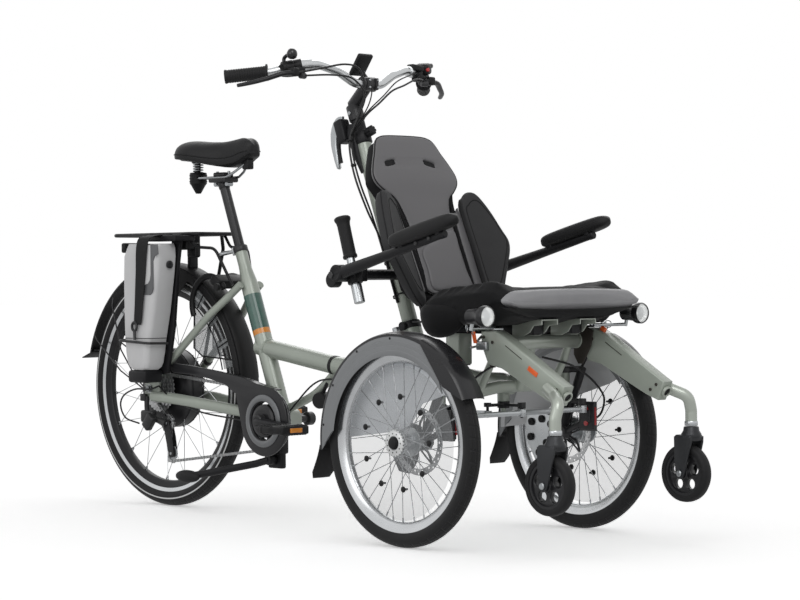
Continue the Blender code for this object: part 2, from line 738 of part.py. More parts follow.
def centre_arm():
    """The bell crank under the main tube: its side lever takes the drag link, its front one the tie rod."""
    x = KINGPIN_X
    z = TIE_ROD_Z + 0.018
    hub = rod((x, 0, z - 0.008), (x, 0, z + 0.008), 0.0150, sides=10)
    front = block((STEER_ARM, 0.018, 0.007), (x + STEER_ARM / 2, 0, z))
    front_eye = rod((x + STEER_ARM, 0, TIE_ROD_Z + 0.0100), (x + STEER_ARM, 0, z + 0.007), 0.0100, sides=8)
    front_pin = rod((x + STEER_ARM, 0, TIE_ROD_Z - 0.012), (x + STEER_ARM, 0, z), 0.0035, sides=8)
    lever = block((0.016, abs(DRAG_Y), 0.007), (x, DRAG_Y / 2, z))
    lever_eye = rod((x, DRAG_Y, z - 0.0035), (x, DRAG_Y, z + 0.0065), 0.0090, sides=8)
    lever_pin = rod((x, DRAG_Y, z - 0.0295), (x, DRAG_Y, z + 0.003), 0.0035, sides=8)
    piece = fused(hub, front, front_eye, front_pin, lever, lever_eye, lever_pin)
    bore = rod((x, 0, z - 0.02), (x, 0, z + 0.02), 0.0060 + RUNNING_GAP)
    finish(cut(piece, bore), "centre_arm", "steel", (x, 0, TIE_ROD_Z), CENTRE_ARM_LINE)


# Rear frame
def seat_tube_point(height):
    """The point of the seat tube's axis at a height above the ground."""
    return CRANK_CENTRE + SEAT_TUBE * ((height - CRANK_Z) / SEAT_TUBE.z)


def main_frame():
    """The welded main frame: seat tube, crank shell, main tube, brace, head tube and stand lug."""
    base = seat_tube_point(CRANK_Z)
    turn = turn_to(SEAT_TUBE)
    flare = 0.372
    seat = turned([
        (0.0, SEAT_TUBE_LENGTH), (SEAT_COLLAR_RADIUS, SEAT_TUBE_LENGTH),
        (SEAT_COLLAR_RADIUS, flare + 0.055), (SEAT_TUBE_RADIUS, flare), (SEAT_TUBE_RADIUS, 0.0), (0.0, 0.0)
    ], 12, Matrix.Translation(base) @ turn, ring=False)
    collar_end = SEAT_TUBE_LENGTH - 0.004
    collar = rod(base + SEAT_TUBE * (collar_end - 0.020), base + SEAT_TUBE * collar_end,
                 SEAT_COLLAR_RADIUS + 0.0035, sides=12)
    shell = across(CRANK_X, CRANK_Z, SHELL_RADIUS, -SHELL_WIDTH / 2, SHELL_WIDTH / 2, 16)
    main = tube(bent(MAIN_ROUTE, 0.12, 1), MAIN_TUBE_RADIUS, 12)
    brace = rod((CRANK_X + 0.012, 0, CRANK_Z + 0.028), (-0.560, 0, 0.392), BRACE_RADIUS, sides=8)
    head_low = COLUMN_BASE - COLUMN * (HEAD_TUBE_LENGTH + 0.045)
    head = rod(head_low, COLUMN_BASE - COLUMN * GAP, HEAD_TUBE_RADIUS, sides=12)
    lug = block((0.060, 0.030, 0.080), (STAND_X, 0.0, STAND_Z + 0.0545))
    ears = block((0.050, 0.014, 0.050), (STAND_X, -0.002, STAND_Z + 0.002))
    crank_post = rod((KINGPIN_X, 0, TIE_ROD_Z - 0.002), (KINGPIN_X, 0, MAIN_TUBE_Z), 0.0060)
    crank_seat = rod((KINGPIN_X, 0, TIE_ROD_Z + 0.0263), (KINGPIN_X, 0, MAIN_TUBE_Z + 0.004), 0.0150, sides=8)
    solid = fused(seat, collar, shell, main, brace, head, lug, ears, crank_post, crank_seat)
    post_bore = rod(
        base + SEAT_TUBE * (SEAT_TUBE_LENGTH - SEAT_POST_INSIDE - 0.090), COLLAR + SEAT_TUBE * 0.02,
        SEAT_POST_RADIUS + GAP, sides=20
    )
    spindle_bore = across(CRANK_X, CRANK_Z, SPINDLE_RADIUS + RUNNING_GAP, -0.06, 0.06, 12)
    column_bore = rod(
        COLUMN_BASE - COLUMN * (HEAD_TUBE_LENGTH + 0.0005), COLUMN_BASE + COLUMN * 0.02,
        COLUMN_INNER_RADIUS + RUNNING_GAP, sides=20
    )
    stand_bore = across(STAND_X, STAND_Z, STAND_PIN_RADIUS + RUNNING_GAP, -0.03, 0.03, 8)
    solid = cut(solid, post_bore, spindle_bore, column_bore, stand_bore)
    finish(solid, "main_frame", "sage_paint", CRANK_CENTRE)


def seat_stay_route(side):
    """The axis of one seat stay, from the seat tube's side down to the dropout."""
    top = seat_tube_point(0.612) + Vector((0.004, side * (SEAT_TUBE_RADIUS + STAY_RADIUS + GAP), 0))
    return bent([
        top, top + Vector((-0.040, side * 0.003, -0.028)), (-1.010, side * 0.058, 0.530),
        (REAR_AXLE_X + 0.020, side * (DROPOUT_Y + 0.002), REAR_WHEEL_RADIUS + 0.024)
    ], 0.06, 1)


def rear_stay(label, side):
    """One side of the rear triangle: seat stay, box chain stay and dropout plate."""
    x, _, z = REAR_CENTRE
    y = side * DROPOUT_Y
    seat_stay = tube(seat_stay_route(side), STAY_RADIUS, 8)
    chain_stay = tube(bent([
        (CRANK_X, side * 0.0215, CRANK_Z), (-0.900, side * 0.034, 0.274),
        (-1.130, side * 0.066, 0.300), (x + 0.012, y + side * 0.002, z - 0.020)
    ], 0.08, 1), 0.0125, 8)
    dropout = side_plate(
        [(x - 0.024, z - 0.010), (x - 0.012, z - 0.026), (x + 0.030, z - 0.034), (x + 0.044, z - 0.014),
         (x + 0.040, z + 0.034), (x + 0.020, z + 0.046), (x - 0.016, z + 0.022)], DROPOUT_THICKNESS, y
    )
    solid = fused(dropout, seat_stay, chain_stay)
    bore = across(x, z, AXLE_RADIUS + GAP, -0.2, 0.2)
    shell = across(CRANK_X, CRANK_Z, SHELL_RADIUS + GAP, -0.06, 0.06, 16)
    seat = rod(CRANK_CENTRE - SEAT_TUBE * 0.05, COLLAR, SEAT_TUBE_RADIUS + GAP, sides=12)
    finish(cut(solid, bore, shell, seat), f"rear_stay_{label}", "sage_paint", (x, y, z))


def rear_axle():
    """The fixed axle of the motor wheel with its nuts outside the dropouts."""
    x, _, z = REAR_CENTRE
    face = DROPOUT_Y + DROPOUT_THICKNESS / 2 + GAP
    bar = across(x, z, AXLE_RADIUS, -face - 0.014, face + 0.014)
    nuts = [across(x, z, 0.0100, s * face, s * (face + 0.009), 6) for s in (-1, 1)]
    finish(fused(bar, *nuts), "rear_axle", "steel", REAR_CENTRE)


# Drive
def belt(circles, offset):
    """The outline of a band round circles of (x, z, radius, turning side), moved out by an offset."""
    outline = []
    spans = []
    for (x1, z1, r1, s1), (x2, z2, r2, s2) in zip(circles, circles[1:] + circles[:1]):
        r1, r2 = r1 + s1 * offset, r2 + s2 * offset
        span = hypot(x2 - x1, z2 - z1)
        side = s2 * r2 - s1 * r1
        along = sqrt(span * span - side * side)
        heading = atan2(z2 - z1, x2 - x1) - atan2(side, along)
        spans.append(heading)
    for i, (x, z, r, s) in enumerate(circles):
        r = r + s * offset
        first, last = spans[i - 1], spans[i]
        turn = (last - first) % (2 * pi) if s > 0 else -((first - last) % (2 * pi))
        steps = max(2, round(abs(turn) / radians(24)))
        reach = r / cos(turn / steps / 2)
        for k in range(-1, steps + 1):
            heading = first + turn * min(max(k + 0.5, 0), steps) / steps
            away = reach if 0 <= k < steps else r
            outline.append((x - s * away * cos(heading + pi / 2), z - s * away * sin(heading + pi / 2)))
    return outline


def chain():
    """The chain as a closed band round the chainring, one cog and the two derailleur pulleys."""
    circles = [
        (CRANK_X, CRANK_Z, CHAINRING_PITCH, 1), (REAR_AXLE_X, REAR_WHEEL_RADIUS, COG_PITCH, 1),
        (*GUIDE_PULLEY, PULLEY_PITCH, -1), (*TENSION_PULLEY, PULLEY_PITCH, 1)
    ]
    half = CHAIN_HEIGHT / 2
    piece = side_plate(belt(circles, half), CHAIN_WIDTH, CHAIN_Y, [belt(circles, -half)])
    finish(piece, "chain", "steel", REAR_CENTRE)


def derailleur():
    """The rear derailleur: mounting knuckle, body, cage plates and two pulleys inside the chain's bends."""
    x = REAR_AXLE_X
    pulley = PULLEY_PITCH - CHAIN_HEIGHT / 2 - GAP
    edge = CHAIN_WIDTH / 2
    wheels = [across(*p, pulley, CHAIN_Y + edge + 0.0055, CHAIN_Y - edge - 0.0055, 10)
              for p in (GUIDE_PULLEY, TENSION_PULLEY)]
    (gx, gz), (tx, tz) = GUIDE_PULLEY, TENSION_PULLEY
    outline = [(gx - 0.012, gz + 0.010), (gx + 0.012, gz + 0.012), (tx + 0.013, tz - 0.006),
               (tx, tz - 0.016), (tx - 0.013, tz - 0.004)]
    plates = [side_plate(outline, 0.002, CHAIN_Y + s * (edge + 0.003)) for s in (-1, 1)]
    body = block((0.052, 0.020, 0.034), (x - 0.004, CHAIN_Y - 0.024, 0.250))
    hanger = rod((x - 0.008, CHAIN_Y - 0.0245, 0.252), (x - 0.010, CHAIN_Y - 0.0245, 0.305), 0.0070, sides=6)
    link = rod((x, CHAIN_Y - 0.020, 0.247), (gx, CHAIN_Y - 0.009, gz), 0.0090, sides=6)
    hook = block((0.016, 0.014, 0.018), (x - 0.018, CHAIN_Y - 0.030, 0.302))
    dropout = side_plate(
        [(x - 0.06, REAR_WHEEL_RADIUS - 0.0095), (x - 0.011, REAR_WHEEL_RADIUS - 0.0265),
         (x + 0.08, REAR_WHEEL_RADIUS - 0.045), (x + 0.08, 0.42), (x - 0.06, 0.42)],
        DROPOUT_THICKNESS + 0.0006, -DROPOUT_Y
    )
    solid = fused(body, *wheels, *plates, hanger, link, hook)
    finish(cut(solid, dropout), "derailleur", "black_metal", (x, -DROPOUT_Y, 0.300))


def chain_guard():
    """The guard on the chain's outer side: an arm over the top run and a round end at the crank."""
    nose = arc(CRANK_X, CRANK_Z, GUARD_RADIUS, 205, 423, 14)
    arm = [(-0.860, 0.368), (-0.980, 0.384), (-1.090, 0.395), (-1.1543, 0.399), (-1.1623, 0.388),
           (-1.1543, 0.371), (-1.000, 0.352), (-0.875, 0.305)]
    y = GUARD_Y - GUARD_THICKNESS / 2 + 0.003
    face = side_plate(nose + arm, GUARD_THICKNESS - 0.006, GUARD_Y, [circle(CRANK_X, CRANK_Z, 0.050, 16)])
    ring = turned([(0.069, y + 0.004), (0.069, y), (0.060, y - 0.004), (0.052, y - 0.004),
                   (0.052, y + 0.004)][::-1],
                  16, on_axle(CRANK_X, 0, CRANK_Z))
    top = [(-0.706, 0.3405), (-0.860, 0.369), (-0.980, 0.385), (-1.090, 0.396), (-1.139, 0.398)]
    lip = side_plate(top + [(px, pz - 0.004) for px, pz in reversed(top)], 0.028, GUARD_Y + 0.012)
    finish(fused(face, ring, lip), "chain_guard", "grey_plastic", (CRANK_X, GUARD_Y, CRANK_Z))


def crank_tip(side):
    """The point of a crank's pedal axle in the XZ plane; the right crank points forward."""
    turn = CRANK_ANGLE if side < 0 else CRANK_ANGLE + pi
    return CRANK_X + CRANK_LENGTH * cos(turn), CRANK_Z + CRANK_LENGTH * sin(turn)


def crankset():
    """Spindle, chainring with its spider disc, both crank arms and the pedal axles, turning as one."""
    joint = empty("crank_line", CRANK_CENTRE, ROOT)
    spindle = across(CRANK_X, CRANK_Z, SPINDLE_RADIUS, -0.094, 0.094, 12)
    ring_radius = CHAINRING_PITCH - CHAIN_HEIGHT / 2 - GAP
    ring = across(CRANK_X, CRANK_Z, ring_radius, CHAIN_Y + 0.002, CHAIN_Y - 0.002, 18)
    disc = across(CRANK_X, CRANK_Z, 0.044, CHAIN_Y, -0.0790, 12)
    arms = []
    for label, side in SIDES:
        px, pz = crank_tip(side)
        root_y = side * 0.086
        tip_y = side * 0.096
        arm = rod((CRANK_X, root_y, CRANK_Z), (px, tip_y, pz), 0.0125, 0.0070, 8)
        boss = across(CRANK_X, CRANK_Z, 0.018, side * 0.0765, side * 0.0970, 10)
        eye = across(px, pz, 0.0125, side * 0.089, side * 0.103, 8)
        axle = across(px, pz, 0.0050, side * 0.096, side * (0.1075 + PEDAL_WIDTH * 0.75), 8)
        arms += [arm, boss, eye, axle]
    finish(fused(ring, disc, spindle, *arms), "crankset", "black_metal", CRANK_CENTRE, joint)
    for label, side in SIDES:
        pedal(label, side, joint)


def pedal(label, side, joint):
    """One platform pedal that turns freely on its axle."""
    px, pz = crank_tip(side)
    line = empty(f"pedal_line_{label}", (px, side * 0.15, pz), joint)
    inner = side * 0.1040
    outer = inner + side * PEDAL_WIDTH
    middle = (inner + outer) / 2
    barrel = across(px, pz, 0.0115, inner, outer, 10)
    treads = [block((0.020, PEDAL_WIDTH, 0.024), (px + s * (PEDAL_LENGTH / 2 - 0.010), middle, pz))
              for s in (-1, 1)]
    ends = [block((PEDAL_LENGTH - 0.024, 0.008, 0.018), (px, y, pz))
            for y in (inner + side * 0.0045, middle, outer - side * 0.0045)]
    bore = across(px, pz, 0.0050 + RUNNING_GAP, inner - side * 0.01, inner + side * (PEDAL_WIDTH - 0.012), 8)
    finish(cut(fused(barrel, *treads, *ends), bore), f"pedal_{label}", "black_plastic", (px, middle, pz),
           line)


# Rear stand
def kickstand():
    """The sprung prop stand, folded back beside the rear wheel."""
    joint = empty("kickstand_line", (STAND_X, -0.022, STAND_Z), ROOT)
    eye = across(STAND_X, STAND_Z, 0.0140, -0.0095, -0.036)
    pin = across(STAND_X, STAND_Z, STAND_PIN_RADIUS, 0.008, -0.030, 8)
    leg = tube(bent([
        (STAND_X, -0.028, STAND_Z), (-0.850, -0.034, 0.137), (-1.000, -0.086, 0.106), STAND_FOOT
    ], 0.04, 1), 0.0085, 8)
    foot = ball(STAND_FOOT + Vector((-0.010, 0, -0.002)), (0.040, 0.016, 0.013))
    finish(fused(eye, pin, leg, foot), "kickstand", "black_metal", (STAND_X, -0.022, STAND_Z), joint)


# Rear mudguard, carrier and battery
def rear_mudguard():
    """The rear mudguard with its tail flap, both dress guards and the stay wires to the dropouts."""
    x, _, z = REAR_CENTRE
    half = MUDGUARD_HALF_WIDTH
    radius = MUDGUARD_RADIUS
    hood = arched_sheet(
        [(radius - 0.018, -half), (radius - 0.002, -half + 0.008), (radius - 0.002, half - 0.008),
         (radius - 0.018, half)],
        radians(4), radians(165), 13, 0.0025, on_axle(x, 0, z)
    )
    panel = arc(x, z, radius - 0.007, 8, 64, 6) + [
        (x + 0.146, z + 0.2735), (x + 0.146, z + 0.1135), (x + 0.182, z + 0.0915), (x + 0.322, z + 0.0835)
    ]
    panels = [side_plate(panel, 0.0020, s * (half - 0.0004)) for s in (-1, 1)]
    tail = Vector((x + radius * cos(radians(165)), 0, z + radius * sin(radians(165))))
    flap = block((0.048, 0.054, 0.003), tail + Vector((-0.014, 0, -0.002)),
                 Matrix.Rotation(radians(-20), 4, "Y"))
    wires = [tube(bent([
        (x - radius * 0.6406, s * (half - 0.0015), z + radius * 0.7232),
        (x - radius * 0.6319, s * (half + 0.003), z + radius * 0.6536),
        (x - 0.163, s * 0.047, z + 0.1035), (x - 0.058, s * 0.0740, z + 0.0255),
        (x - 0.0150, s * (DROPOUT_Y + DROPOUT_THICKNESS / 2 + 0.0022 + GAP), z)
    ], 0.03, 1), 0.0020, 4) for s in (-1, 1)]
    finish(fused(hood, *panels, flap, *wires), "rear_mudguard", "black_plastic", REAR_CENTRE)


def carrier():
    """The luggage carrier: two rails with flat cross plates, legs, front struts and the battery shoe."""
    z = CARRIER_Z
    half = CARRIER_HALF_WIDTH
    bar = CARRIER_BAR_RADIUS
    corners = [(CARRIER_FRONT_X, half), (CARRIER_REAR_X, half), (CARRIER_REAR_X, -half),
               (CARRIER_FRONT_X, -half)]
    route = bent([(cx, cy, z) for cx, cy in corners[-1:] + corners + corners[:1]], 0.03, 2)[1:-1]
    rail = tube(route, bar, 6, loop=True)
    decks = [block((DECK_LENGTH, 2 * half, DECK_THICKNESS), (x, 0, z + bar - DECK_THICKNESS / 2 + 0.0010))
             for x in (CARRIER_REAR_X + 0.060, DECK_X, CARRIER_FRONT_X - 0.030)]
    struts = []
    for s in (-1, 1):
        foot = seat_tube_point(0.612) + Vector((-0.020, s * (SEAT_TUBE_RADIUS + STAY_RADIUS + 0.0015),
                                                -0.014))
        foot = foot + Vector((-0.574, 0, 0.819)) * (STAY_RADIUS + 0.0040 + 0.0008)
        struts.append(tube(bent([(-1.095, s * (half - 0.002), z - 0.002), (-1.060, s * 0.060, z - 0.036),
                                 (-0.985, s * 0.057, z - 0.040), foot], 0.02, 1), 0.0040, 4))
    hanger = block((0.030, 0.012, 0.050), (-1.140, 0, z - 0.020))
    hook = block((0.012, 0.030, 0.057), (-1.150, 0, z - 0.0643))
    leg_y = BATTERY_INNER_Y + 0.0070
    leg = side_plate([(-1.122, z), (-1.084, z), (-1.147, 0.372), (-1.200, 0.364)], 0.0110, leg_y)
    leg_top = block((0.034, 0.030, 0.008), (-1.105, leg_y + 0.011, z - 0.004))
    shoe_top = BATTERY_BOTTOM_Z - GAP
    shoe_y = BATTERY_INNER_Y - BATTERY_DEPTH / 2 + 0.006
    shoe = block((0.118, BATTERY_DEPTH + 0.012, 0.014), (-1.206, shoe_y, shoe_top - 0.007))
    face = DROPOUT_Y + DROPOUT_THICKNESS / 2 + GAP
    tab = block((0.012, 0.020, 0.030), (-1.2575, -face - 0.010, 0.358))
    left_leg = tube(bent([(-1.110, half, z), (-1.118, half + 0.012, z - 0.040), (-1.215, 0.0905, 0.400),
                          (-1.252, face + 0.0052, 0.348)], 0.03, 1), 0.0050, 4)
    solid = fused(rail, *decks, *struts, hanger, hook, leg, leg_top, shoe, tab, left_leg)
    finish(solid, "carrier", "black_metal", (DECK_X, 0, z))


def battery():
    """The battery pack: a tapering box that stands in the carrier's shoe beside the rear wheel."""
    inner = BATTERY_INNER_Y - GAP
    outer = BATTERY_INNER_Y - BATTERY_DEPTH
    levels = [
        (BATTERY_BOTTOM_Z, -1.243, -1.165, 0.010), (BATTERY_BOTTOM_Z + 0.018, -1.258, -1.152, 0.002),
        (0.460, -1.262, -1.142, 0.0), (0.540, -1.264, -1.122, 0.0), (0.640, -1.265, -1.104, 0.0),
        (0.700, -1.263, -1.098, 0.0), (BATTERY_TOP_Z, -1.250, -1.106, 0.006)
    ]
    corner = 0.016
    sections = []
    for z, rear, front, pinch in levels:
        y1, y2 = outer + pinch, inner
        sections.append([
            (rear + corner, y1, z), (front - corner, y1, z), (front - 0.004, y1 + 0.006, z),
            (front, y1 + corner, z),
            (front, y2 - 0.004, z), (front - 0.004, y2, z), (rear + 0.004, y2, z), (rear, y2 - 0.004, z),
            (rear, y1 + corner, z), (rear + 0.004, y1 + 0.006, z)
        ])
    finish(loft(sections), "battery", "battery_grey", (-1.200, BATTERY_INNER_Y, BATTERY_BOTTOM_Z))


# Saddle
def seat_post():
    """The sliding seat post with its two-bolt head that holds the saddle rails."""
    line = empty("seat_post_line", COLLAR, ROOT)
    low = COLLAR - SEAT_TUBE * SEAT_POST_INSIDE
    bar = rod(low, POST_TOP, SEAT_POST_RADIUS, sides=12)
    head = block((0.070, 0.050, 0.016), POST_TOP + Vector((0.0, 0, 0.002)))
    cap = block((0.046, 2 * (SADDLE_RAIL_Y - SADDLE_RAIL_RADIUS - GAP), 0.030),
                POST_TOP + Vector((0.0, 0, 0.014)))
    bolts = [rod(POST_TOP + Vector((x, 0, -0.012)), POST_TOP + Vector((x, 0, 0.006)), 0.0080, sides=8)
             for x in (-0.024, 0.024)]
    finish(fused(bar, head, cap, *bolts), "seat_post", "black_metal", COLLAR, line)
    rails(line)
    saddle(line)


def spring_points(x, low, high):
    """The axis of the coil spring: a short straight end, a helix of eight points a turn, a straight end."""
    count = SPRING_TURNS * 8
    straight = 2 * SPRING_WIRE
    start = low + straight
    rise = (high - straight - start) / count
    helix = [Vector((x + SPRING_RADIUS * cos(2 * pi * i / 8), SPRING_RADIUS * sin(2 * pi * i / 8),
                     start + rise * i))
             for i in range(count + 1)]
    return [Vector((helix[0].x, helix[0].y, low))] + helix + [Vector((helix[-1].x, helix[-1].y, high))]


def curl_gap(points):
    """The least clear distance between two neighbouring curls, measured between their points."""
    return min((points[i] - points[j]).length - 2 * SPRING_WIRE
               for i in range(1, len(points) - 1) for j in range(i + 5, len(points) - 1))


def rails(line):
    """The saddle's undercarriage: two rails, nose block, spring housing and the coil spring round its post."""
    x = POST_TOP.x
    z = SADDLE_RAIL_Z
    under = SADDLE_SPRING_TOP - GAP
    sides = [tube(bent([
        (x + 0.100, s * 0.0070, under - 0.012), (x + 0.066, s * 0.0140, z + 0.016),
        (x + 0.038, s * SADDLE_RAIL_Y, z), (x - 0.044, s * SADDLE_RAIL_Y, z), (SPRING_X + 0.010, s * 0.012, z)
    ], 0.02, 1), SADDLE_RAIL_RADIUS, 4) for s in (-1, 1)]
    nose = block((0.026, 0.022, 0.030), (x + 0.103, 0, under - 0.015))
    seat = POST_TOP.z + SPRING_SEAT_ABOVE
    housing = turned([(0.0, seat), (0.0205, seat), (0.0235, seat - 0.008), (0.0235, seat - 0.024),
                      (0.0165, seat - 0.030), (0.0100, seat - 0.046), (0.0040, seat - 0.056),
                      (0.0, seat - 0.0575)],
                     12, Matrix.Translation((SPRING_X, 0, 0)), ring=False)
    post = rod((SPRING_X, 0, seat - 0.004), (SPRING_X, 0, under), 0.0070, sides=8)
    coil_line = spring_points(SPRING_X, seat - 0.001, under)
    print("least gap between spring curls, mm:", round(curl_gap(coil_line) * 1000, 2))
    coil = tube(coil_line, SPRING_WIRE, 6)
    finish(fused(housing, *sides, nose, post, coil), "saddle_rails", "black_metal", (SPRING_X, 0, z), line)


def saddle(line):
    """The sprung saddle's padded top: a wide rear, a dished middle and a raised round nose."""
    stations = [
        (-0.122, 0.045, 0.0925, 0.0705), (-0.112, 0.078, 0.1075, 0.0635), (-0.084, 0.096, 0.1155, 0.0605),
        (-0.044, 0.094, 0.1145, 0.0565), (-0.004, 0.074, 0.1105, 0.0485), (0.036, 0.050, 0.1105, 0.0425),
        (0.076, 0.037, 0.1155, 0.0465), (0.111, 0.031, 0.1195, 0.0585), (0.136, 0.026, 0.1135, 0.0665),
        (0.150, 0.014, 0.0985, 0.0785)
    ]
    sections = []
    for ahead, half, top_above, low_above in stations:
        x = POST_TOP.x + ahead
        top = POST_TOP.z + top_above
        low = POST_TOP.z + low_above
        floor = max(low, SADDLE_SPRING_TOP)
        tall = top - low
        right = [(1.0, low + 0.30 * tall), (0.96, low + 0.62 * tall), (0.78, low + 0.88 * tall),
                 (0.42, low + 0.98 * tall)]
        ring = [(0.0, floor), (0.60, floor), (0.93, low)] + right + [(0.0, top)]
        ring += [(-u, z) for u, z in reversed(right)] + [(-0.93, low), (-0.60, floor)]
        sections.append([(x, u * half, z) for u, z in ring])
    finish(loft(sections), "saddle", "soft_black", (SPRING_X, 0, SADDLE_SPRING_TOP), line)


def seat_clamp_lever():
    """The quick-release lever at the back of the seat collar."""
    axis = COLLAR - SEAT_TUBE * 0.014 + Vector((-SEAT_COLLAR_RADIUS - 0.0118, 0, 0))
    line = empty("seat_clamp_line", axis, ROOT)
    pivot = rod(axis - SEAT_TUBE * 0.010, axis + SEAT_TUBE * 0.010, 0.0060, sides=8)
    lever = rod(axis, axis + Vector((-0.036, -0.0108, -0.0054)), 0.0045, 0.0065, 6)
    tip = ball(axis + Vector((-0.038, -0.0114, -0.0057)), (0.010, 0.007, 0.005), 4, 6)
    finish(fused(pivot, lever, tip), "seat_clamp_lever", "black_metal", axis, line)


# Front chassis
def front_frame():
    """The welded front chassis: upper cross tube, centre post, gull-wing axle beam and kingpin sleeves."""
    inner = ARM_Y - ARM_WIDTH / 2 - GAP
    cross = across(CROSS_TUBE_X, CROSS_TUBE_Z, CROSS_TUBE_RADIUS, -inner, inner, 12)
    post = rod((CROSS_TUBE_X - 0.004, 0, CROSS_TUBE_Z), (BEAM_X + 0.010, 0, BEAM_Z), 0.0125, sides=8)
    low, high = BEAM_Z - BEAM_HEIGHT / 2, BEAM_Z + BEAM_HEIGHT / 2
    dip = 0.010
    wing_end = KINGPIN_Y - 0.030
    outline = [(-wing_end, low - dip), (-0.03, low + 0.006), (0.03, low + 0.006), (wing_end, low - dip),
               (wing_end, high - dip), (0.03, high + 0.006), (-0.03, high + 0.006), (-wing_end, high - dip)]
    facing = Matrix.Translation((BEAM_X, 0, 0)) @ Matrix.Rotation(pi / 2, 4, "Z") @ UPRIGHT
    solid = [cross, post, plate(outline, BEAM_DEPTH, facing)]
    room = 0.030 - GAP
    bores = []
    for s in (-1, 1):
        y = s * KINGPIN_Y
        solid.append(rod((BEAM_X - 0.002, s * (wing_end - 0.009), BEAM_Z - 0.007), (KINGPIN_X, y, BEAM_Z),
                         0.0135, sides=8))
        solid.append(rod((KINGPIN_X, y, BEAM_Z - room), (KINGPIN_X, y, BEAM_Z + room), 0.0142))
        bores.append(rod((KINGPIN_X, y, BEAM_Z - 0.05), (KINGPIN_X, y, BEAM_Z + 0.05),
                         KINGPIN_RADIUS + RUNNING_GAP,
                         sides=PIN_FACETS))
        solid.append(rod((CROSS_TUBE_X, s * 0.125, CROSS_TUBE_Z), (BEAM_X, s * 0.125, BEAM_Z), 0.0095,
                         sides=6))
    finish(cut(fused(*solid), *bores), "front_frame", "sage_paint", (BEAM_X, 0, BEAM_Z))


def castor_arm(label, side):
    """One castor arm: a tapering box beam down and forward, with the bent tube that carries the castor."""
    y = side * ARM_Y
    beam = side_plate(
        [(0.138, 0.470), (0.138, ARM_TOP_Z), (0.190, ARM_TOP_Z), (0.402, 0.381), (0.380, 0.337),
         (0.345, 0.350),
         (0.205, 0.418), (0.160, 0.424)], ARM_WIDTH, y
    )
    down = Vector((0.860, 0, -0.510))
    socket = rod(ARM_TIP + Vector((0, y, 0)) - down * 0.035, ARM_TIP + Vector((0, y, 0)) + down * 0.05,
                 0.0100, sides=8)
    elbow = tube(bent([
        (0.318, side * 0.196, 0.394), (0.375, side * 0.2030, 0.360), (0.420, side * 0.2230, 0.344),
        (CASTOR_X, side * CASTOR_Y, 0.312), (CASTOR_X, side * CASTOR_Y, CASTOR_TOP_Z)
    ], 0.045, 2), ELBOW_RADIUS, 8)
    bore = rod((CASTOR_X, side * CASTOR_Y, CASTOR_TOP_Z - 0.01),
               (CASTOR_X, side * CASTOR_Y, CASTOR_TOP_Z + 0.030),
               CASTOR_STEM_RADIUS + RUNNING_GAP, sides=PIN_FACETS)
    plate_y = side * (ARM_Y + ARM_WIDTH / 2 + 0.004)
    latch = block((0.034, 0.012, 0.020), (0.150, plate_y, 0.470))
    ring = rod((0.142, plate_y - side * 0.006, 0.492), (0.150, plate_y + side * 0.016, 0.482), 0.0035,
               sides=4)
    finish(cut(fused(beam, elbow, latch, ring), bore, socket), f"castor_arm_{label}", "sage_paint",
           (0.160, y, ARM_TOP_Z))


def castor(label, side):
    """One castor: a fork that swivels freely below the bent tube, and its wheel."""
    y = side * CASTOR_Y
    line = empty(f"castor_line_{label}", (CASTOR_X, y, CASTOR_TOP_Z), ROOT)
    axle_x, axle_z = CASTOR_AXLE_X, CASTOR_AXLE_Z
    stem = rod((CASTOR_X, y, 0.250), (CASTOR_X, y, CASTOR_TOP_Z + 0.024), CASTOR_STEM_RADIUS,
               sides=PIN_FACETS)
    collar = rod((CASTOR_X, y, 0.2700), (CASTOR_X, y, CASTOR_TOP_Z - GAP), 0.0125, sides=10)
    crown = rod((CASTOR_X, y, 0.2480), (CASTOR_X, y, 0.2735), 0.0240, 0.0180, 10)
    outer = CASTOR_WIDTH / 2 + 0.0035
    bridge = block((0.052, 2 * outer + 0.012, 0.016), (CASTOR_X - 0.008, y, 0.2460))
    leg = [(CASTOR_X - 0.034, 0.250), (CASTOR_X + 0.018, 0.250), (CASTOR_X + 0.012, 0.215),
           (axle_x + 0.014, axle_z + 0.002), (axle_x + 0.006, axle_z - 0.012),
           (axle_x - 0.008, axle_z - 0.011),
           (axle_x - 0.014, axle_z + 0.004)]
    legs = [side_plate(leg, 0.0060, y + s * (outer + 0.0030)) for s in (-1, 1)]
    axle = across(axle_x, axle_z, 0.0040, y - outer - 0.010, y + outer + 0.010, 8)
    finish(fused(bridge, crown, collar, stem, *legs, axle), f"castor_fork_{label}", "black_metal",
           (CASTOR_X, y, CASTOR_TOP_Z), line)
    axle_line = empty(f"castor_axle_line_{label}", (axle_x, y, axle_z), line)
    half = CASTOR_WIDTH / 2
    bore = 0.0040 + RUNNING_GAP
    tread = [
        (CASTOR_RADIUS - 0.003, half - 0.003), (CASTOR_RADIUS, 0.0), (CASTOR_RADIUS - 0.003, -half + 0.003),
        (0.042, -half + 0.002), (0.036, -0.006), (0.015, -half - 0.0005), (bore, -half - 0.0005),
        (bore, half + 0.0005), (0.015, half + 0.0005), (0.036, 0.006), (0.042, half - 0.002)
    ]
    wheel = turned(tread, 12, on_axle(axle_x, y, axle_z))
    finish(wheel, f"castor_wheel_{label}", "rubber", (axle_x, y, axle_z), axle_line)


